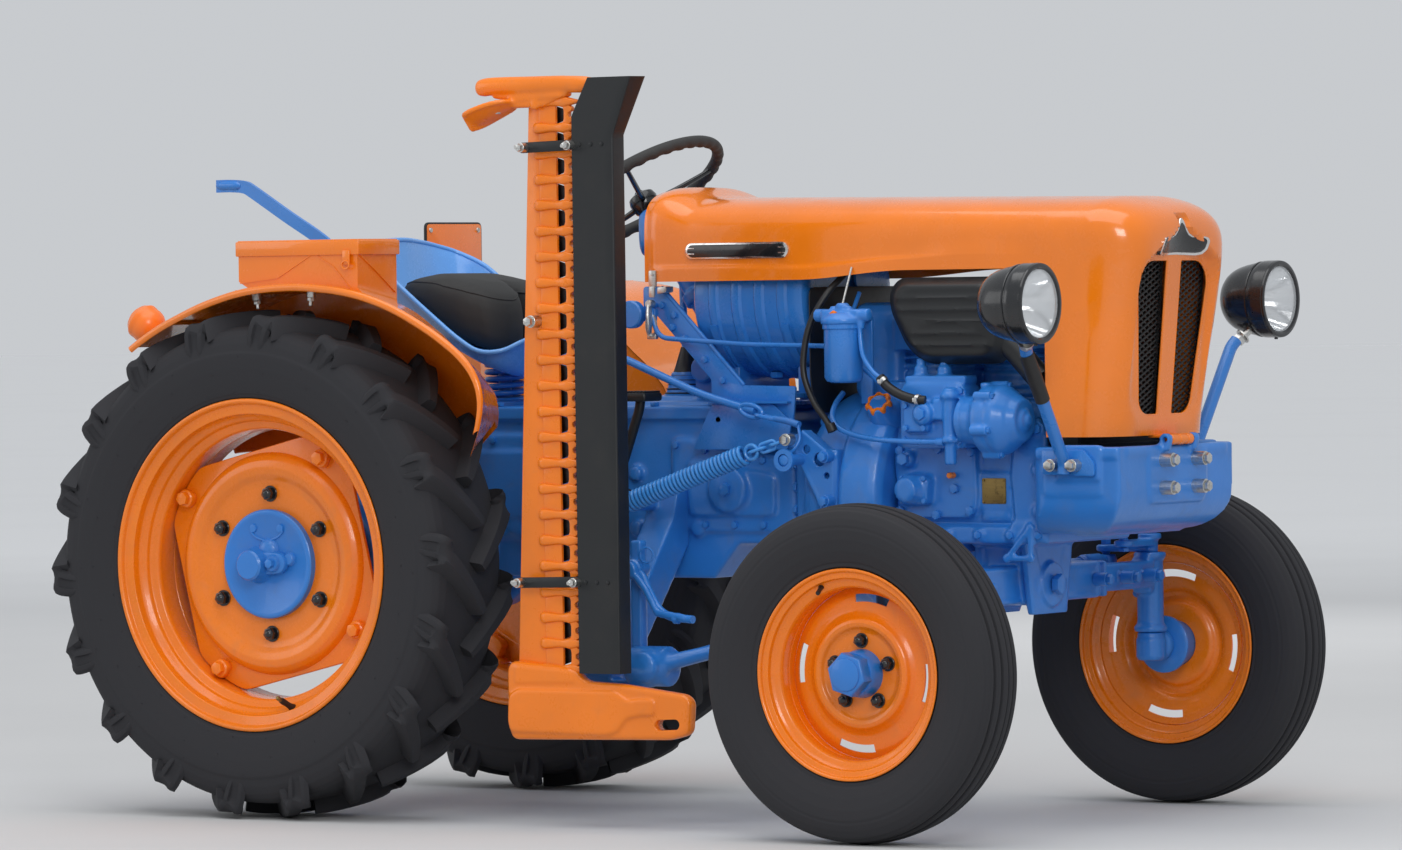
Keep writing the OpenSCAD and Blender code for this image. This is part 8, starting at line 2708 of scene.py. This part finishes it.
    def build(self, bench: Bench) -> None:
        """Makes the front end's pieces."""
        bench.casting("support_casting", ("front_support",), Finish.BLUE_CAST, self.support_skins(), 4.0, 3)
        bench.piece("support_nuts", self.support_nuts(), Finish.ZINC)
        bench.casting("front_axle_casting", ("front_axle",), Finish.BLUE_CAST, self.axle_skins(), 3.5, 3)
        bench.piece("front_axle_nuts", self.axle_nuts(), Finish.BLUE_CAST)
        for side in ("right", "left"):
            left = side == "left"
            skin, nuts = self.knuckle_skins(left), self.knuckle_nuts(left)
            if left:
                skin, nuts = skin.mirrored(), nuts.mirrored()
            node = "knuckle_" + side
            bench.casting("cast_" + node, (node,), Finish.BLUE_CAST, [skin], 2.8, 2, body=node)
            bench.piece("nuts_of_" + node, nuts, Finish.BLUE_CAST, body=node)
        tie, drag = self.link_ends()
        bench.casting("tie_rod_bar", ("tie_rod",), Finish.BLUE_CAST, [], 2.5, 2, body="tie_rod")
        bench.piece("tie_rod_ends", tie, Finish.BLUE_CAST, body="tie_rod")
        bench.casting("drag_link_bar", ("drag_link",), Finish.BLUE_CAST, [], 2.5, 2, body="drag_link")
        bench.piece("drag_link_ends", drag, Finish.BLUE_CAST, body="drag_link")
        bench.casting("drop_arm_forging", ("drop_arm",), Finish.BLUE_CAST, [
            lathe([(17, 0), (20, 4), (20, 20)], (779, 170, 898.97), Y_AXIS, 32)], 2.5, 2, body="drop_arm")


@dataclass
class Headlamps:
    """Pair of bowl lamps on raked posts."""

    front_x: float = 1815.0
    y: float = 463.0
    z: float = 1025.0
    radius: float = 77.5

    def shell(self) -> Skin:
        """Onion-shaped shell as one revolve from the nut round the rim and back along the inside."""
        r = self.radius
        outer = [(0, -127.5), (10, -127.5), (22, -125.5), (34, -121), (44, -115), (53, -107), (60, -97),
            (65, -86), (69.5, -70), (73, -52), (74.8, -38), (75.4, -36), (77, -33), (77.4, -27),
            (r - 0.2, -22), (r - 0.1, -12), (r - 0.1, -4), (r - 2.5, -1.2), (r - 6, -0.4), (r - 9.5, -0.6),
            (r - 11.6, -2.4)]
        inner = [(r - 11.8, -8), (r - 9, -22), (66, -34), (62, -62), (50, -92), (36, -110), (0, -118)]
        return turned(outer + inner, (self.front_x, self.y, self.z), X_AXIS, 80)

    def reflector(self) -> Skin:
        """Bright parabolic bowl behind the lens, x = -92 + r squared / 49, with a small bulb cap."""
        r = np.linspace(4, 64.5, 20)
        profile = [(0.0, -93.0)] + [(float(v), -92.0 + float(v) ** 2 / 49.0) for v in r]
        bulb = turned([(0, -90), (8, -88), (9, -62), (8, -50), (5, -44), (0, -43)],
            (self.front_x, self.y, self.z), X_AXIS, 24)
        back = [(float(v) + 0.6, -93.2 + float(v) ** 2 / 49.0) for v in r[::-1]] + [(0.0, -94.5)]
        return turned(profile + back, (self.front_x, self.y, self.z), X_AXIS, 72) + bulb

    def lens(self) -> Skin:
        """Moulded glass: a shallow dome with vertical flutes every 7.5 mm on its inner face."""
        rings, n = np.linspace(0.02, 1, 30), 120
        a = full_turn(n)
        rr = (self.radius - 12.2) * rings[:, None]
        yy, zz = rr * np.cos(a), rr * np.sin(a)
        front = 7.6 - 9.4 * rings[:, None] ** 2.2 + 0 * a
        back = front - 3.6 - 0.55 * np.abs(np.sin(np.pi * yy / 7.5)) * (1 - smooth((rings[:, None] - 0.86)
            / 0.1))
        out = np.stack([front, yy, zz], -1)
        into = np.stack([back, yy, zz], -1)[::-1]
        return grid(np.concatenate([out, into]), around=True, ends=True).moved((self.front_x, self.y,
            self.z))

    def rim(self) -> Skin:
        """Rolled rim ring, the clamp screw under it and the seam's bead."""
        r = self.radius
        place = (self.front_x, self.y, self.z)
        ring = turned([(r - 11.4, -1), (r - 8.5, 1.4), (r - 4, 1.8), (r - 1, 0.6), (r - 0.4, -3),
            (r - 4, -4)], place, X_AXIS, 80, True)
        bead = turned([(72.6, -44.5), (75.6, -44), (76, -42), (75.6, -40), (73.4, -39.5)], place, X_AXIS,
            80, True)
        screw = bolt((self.front_x - 12, self.y, self.z - r + 1), -Z_AXIS, 7, 4, 0)
        return joined([ring, bead, screw])

    def fixing(self) -> Skin:
        """Zinc nut, washer and stud between the shell and its post, and the bracket's two bolts."""
        a, b = np.array([1741.0, 399.0, 934.0]), np.array([1763.0, 431.0, 966.0])
        along = unit(b - a)
        stud = joined([
            lathe([(8, 0), (8, 46)], tuple(a), along, 24),
            lathe([(16, 0), (16, 3)], tuple(a + 26 * along), along, 28),
            bolt(tuple(a + 12 * along), along, 22, 12, 0),
        ])
        low = joined([bolt((x, 236, 712), Y_AXIS, 17, 9, 22) for x in (1705, 1753)])
        return stud + low

    def post(self) -> Skin:
        """Raked bar with a soft bend, and a flattened foot with rounded corners."""
        bar = bent_bar([(1730, 246, 696), (1732, 246, 716), (1739, 392, 930), (1745, 404, 944)], 12.5, 24,
            20)
        foot = prism(rounded([(1674, 694), (1792, 690), (1792, 716), (1768, 742), (1674, 742)], 8), 227,
            236, 2)
        return bar + foot

    def painted_shade_tube(self) -> Skin:
        """Black tube over the upper part of the right post, with its soft ends: painted shade on the post.
        """
        path = np.array([[1736.2, -330, 839], [1737.5, -362, 885], [1739, -392, 929]])
        return tube(path, np.array([14.4, 15.4, 14.2]), 24)

    def build(self, bench: Bench) -> None:
        """Makes both lamps."""
        pieces = (
            ("posts_bent", both_sides(self.post()), Finish.BLUE_SHEET, ("lamp_posts",)),
            # The black tube on the right post is painted shade.
            ("post_painted_shade", self.painted_shade_tube(), Finish.HOSE, ()),
            ("shells", both_sides(self.shell()), Finish.BLACK_GLOSS, ("headlamps",)),
            ("rims", both_sides(self.rim()), Finish.BLACK_GLOSS, ()),
            ("reflectors", both_sides(self.reflector()), Finish.MIRROR, ()),
            ("lenses", both_sides(self.lens()), Finish.GLASS, ("headlamp_lenses",)),
            ("fixings", both_sides(self.fixing()), Finish.ZINC, ()),
        )
        for word, skin, finish, nodes in pieces:
            bench.piece("lamp_" + word, skin, finish, nodes)


PARTS: list = [
    RearWheel("right"),
    RearWheel("left"),
    FrontWheel("right"),
    FrontWheel("left"),
    Hood(),
    CutterBar(),
    MowerLinkage(),
    Seat(),
    Fender("right"),
    Fender("left"),
    DriverPlace(),
    Engine(),
    TankAndCowl(),
    Transmission(),
    FrontEnd(),
    Headlamps(),
]


@dataclass
class Studio:
    """Pale floor, soft lamps and the camera at the photograph's viewing angle."""

    camera_at: Point = (8196.5, -12090.4, 1062.6)
    look_at: Point = (49.2, 0.0, 785.2)
    lens: float = 184.27
    sensor: float = 36.0
    far_clip: float = 200.0
    roll: float = -0.82
    floor_half: float = 90000.0
    floor_near: float = 0.6
    floor_far: float = 1.0
    sky_tone: float = 0.62
    lamps_aim: Point = (0, 0, 0.7)

    def floor(self) -> None:
        """A wide floor that catches the shadow and pales with the distance, to meet the sky."""
        span = np.linspace(-self.floor_half, self.floor_half, 9)
        skin = grid(np.stack(np.meshgrid(span, span, [0.0], indexing="ij"), -1)[:, :, 0])
        mesh = to_mesh("floor", skin)
        floor = linked("floor", mesh)
        s = Shade("floor_matt")
        drift = s.noise(0.6, 5.0)
        away = s.node("VectorMath", {"operation": "LENGTH"}, Vector=s.place).outputs["Value"]
        reach = s.maths("ADD", s.ramp(away, 3.0, 17.0), s.ramp(drift, 0.3, 0.7, -0.03, 0.03))
        tone = s.blend(reach, colour(*[self.floor_near] * 3), colour(*[self.floor_far] * 3))
        mesh.materials.append(s.wire(Base_Color=tone, Roughness=0.85, Specular_IOR_Level=0.2))

    def world(self) -> None:
        """An even pale sky."""
        world = bpy.data.worlds.new("sky")
        bpy.context.scene.world = world
        world.use_nodes = True
        back = world.node_tree.nodes["Background"]
        back.inputs["Color"].default_value = (0.93, 0.96, 1.0, 1.0)
        back.inputs["Strength"].default_value = self.sky_tone

    def lamp(self, name: str, place: Point, size: float, power: float) -> bpy.types.Object:
        """A square soft lamp, in metres and watts, aimed at the tractor's middle."""
        data = bpy.data.lights.new(name, "AREA")
        data.size = size
        data.energy = power
        lamp = linked(name, data)
        lamp.location = place
        lamp.rotation_euler = (Vector(self.lamps_aim) - Vector(place)).to_track_quat("-Z", "Y").to_euler()
        return lamp

    def camera(self) -> None:
        """The camera: it looks from its place at the middle of the picture, rolled a little."""
        data = bpy.data.cameras.new("camera")
        data.lens = self.lens
        data.sensor_width = self.sensor
        data.clip_end = self.far_clip
        camera = linked("camera", data)
        eye, aim = Vector(self.camera_at) * MM, Vector(self.look_at) * MM
        turn = (aim - eye).to_track_quat("-Z", "Y").to_matrix()
        roll = math.radians(self.roll)
        c, s = math.cos(roll), math.sin(roll)
        spin = type(turn)(((c, -s, 0), (s, c, 0), (0, 0, 1)))
        camera.matrix_world = (turn @ spin).to_4x4()
        camera.location = eye
        bpy.context.scene.camera = camera

    def build(self) -> None:
        """Sets the whole studio."""
        self.floor()
        self.world()
        self.lamp("top_lamp", (0.5, -1.5, 6.5), 6.0, 190.0)
        self.lamp("key_lamp", (6.0, -7.0, 4.5), 3.0, 240.0)
        self.lamp("side_lamp", (-6.5, -5.0, 3.2), 4.0, 60.0)
        self.lamp("back_lamp", (-3.0, 7.0, 4.0), 4.0, 70.0).visible_glossy = False
        bpy.context.scene.view_settings.view_transform = "Standard"
        self.camera()


def main() -> None:
    """Builds the studio and every sub-assembly."""
    logging.basicConfig(level=logging.INFO, format="%(message)s")
    Studio().build()
    bench = Bench()
    for part in PARTS:
        part.build(bench)
    LOG.info("%d pieces", len(bench.made))


if __name__ == "__main__":
    main()
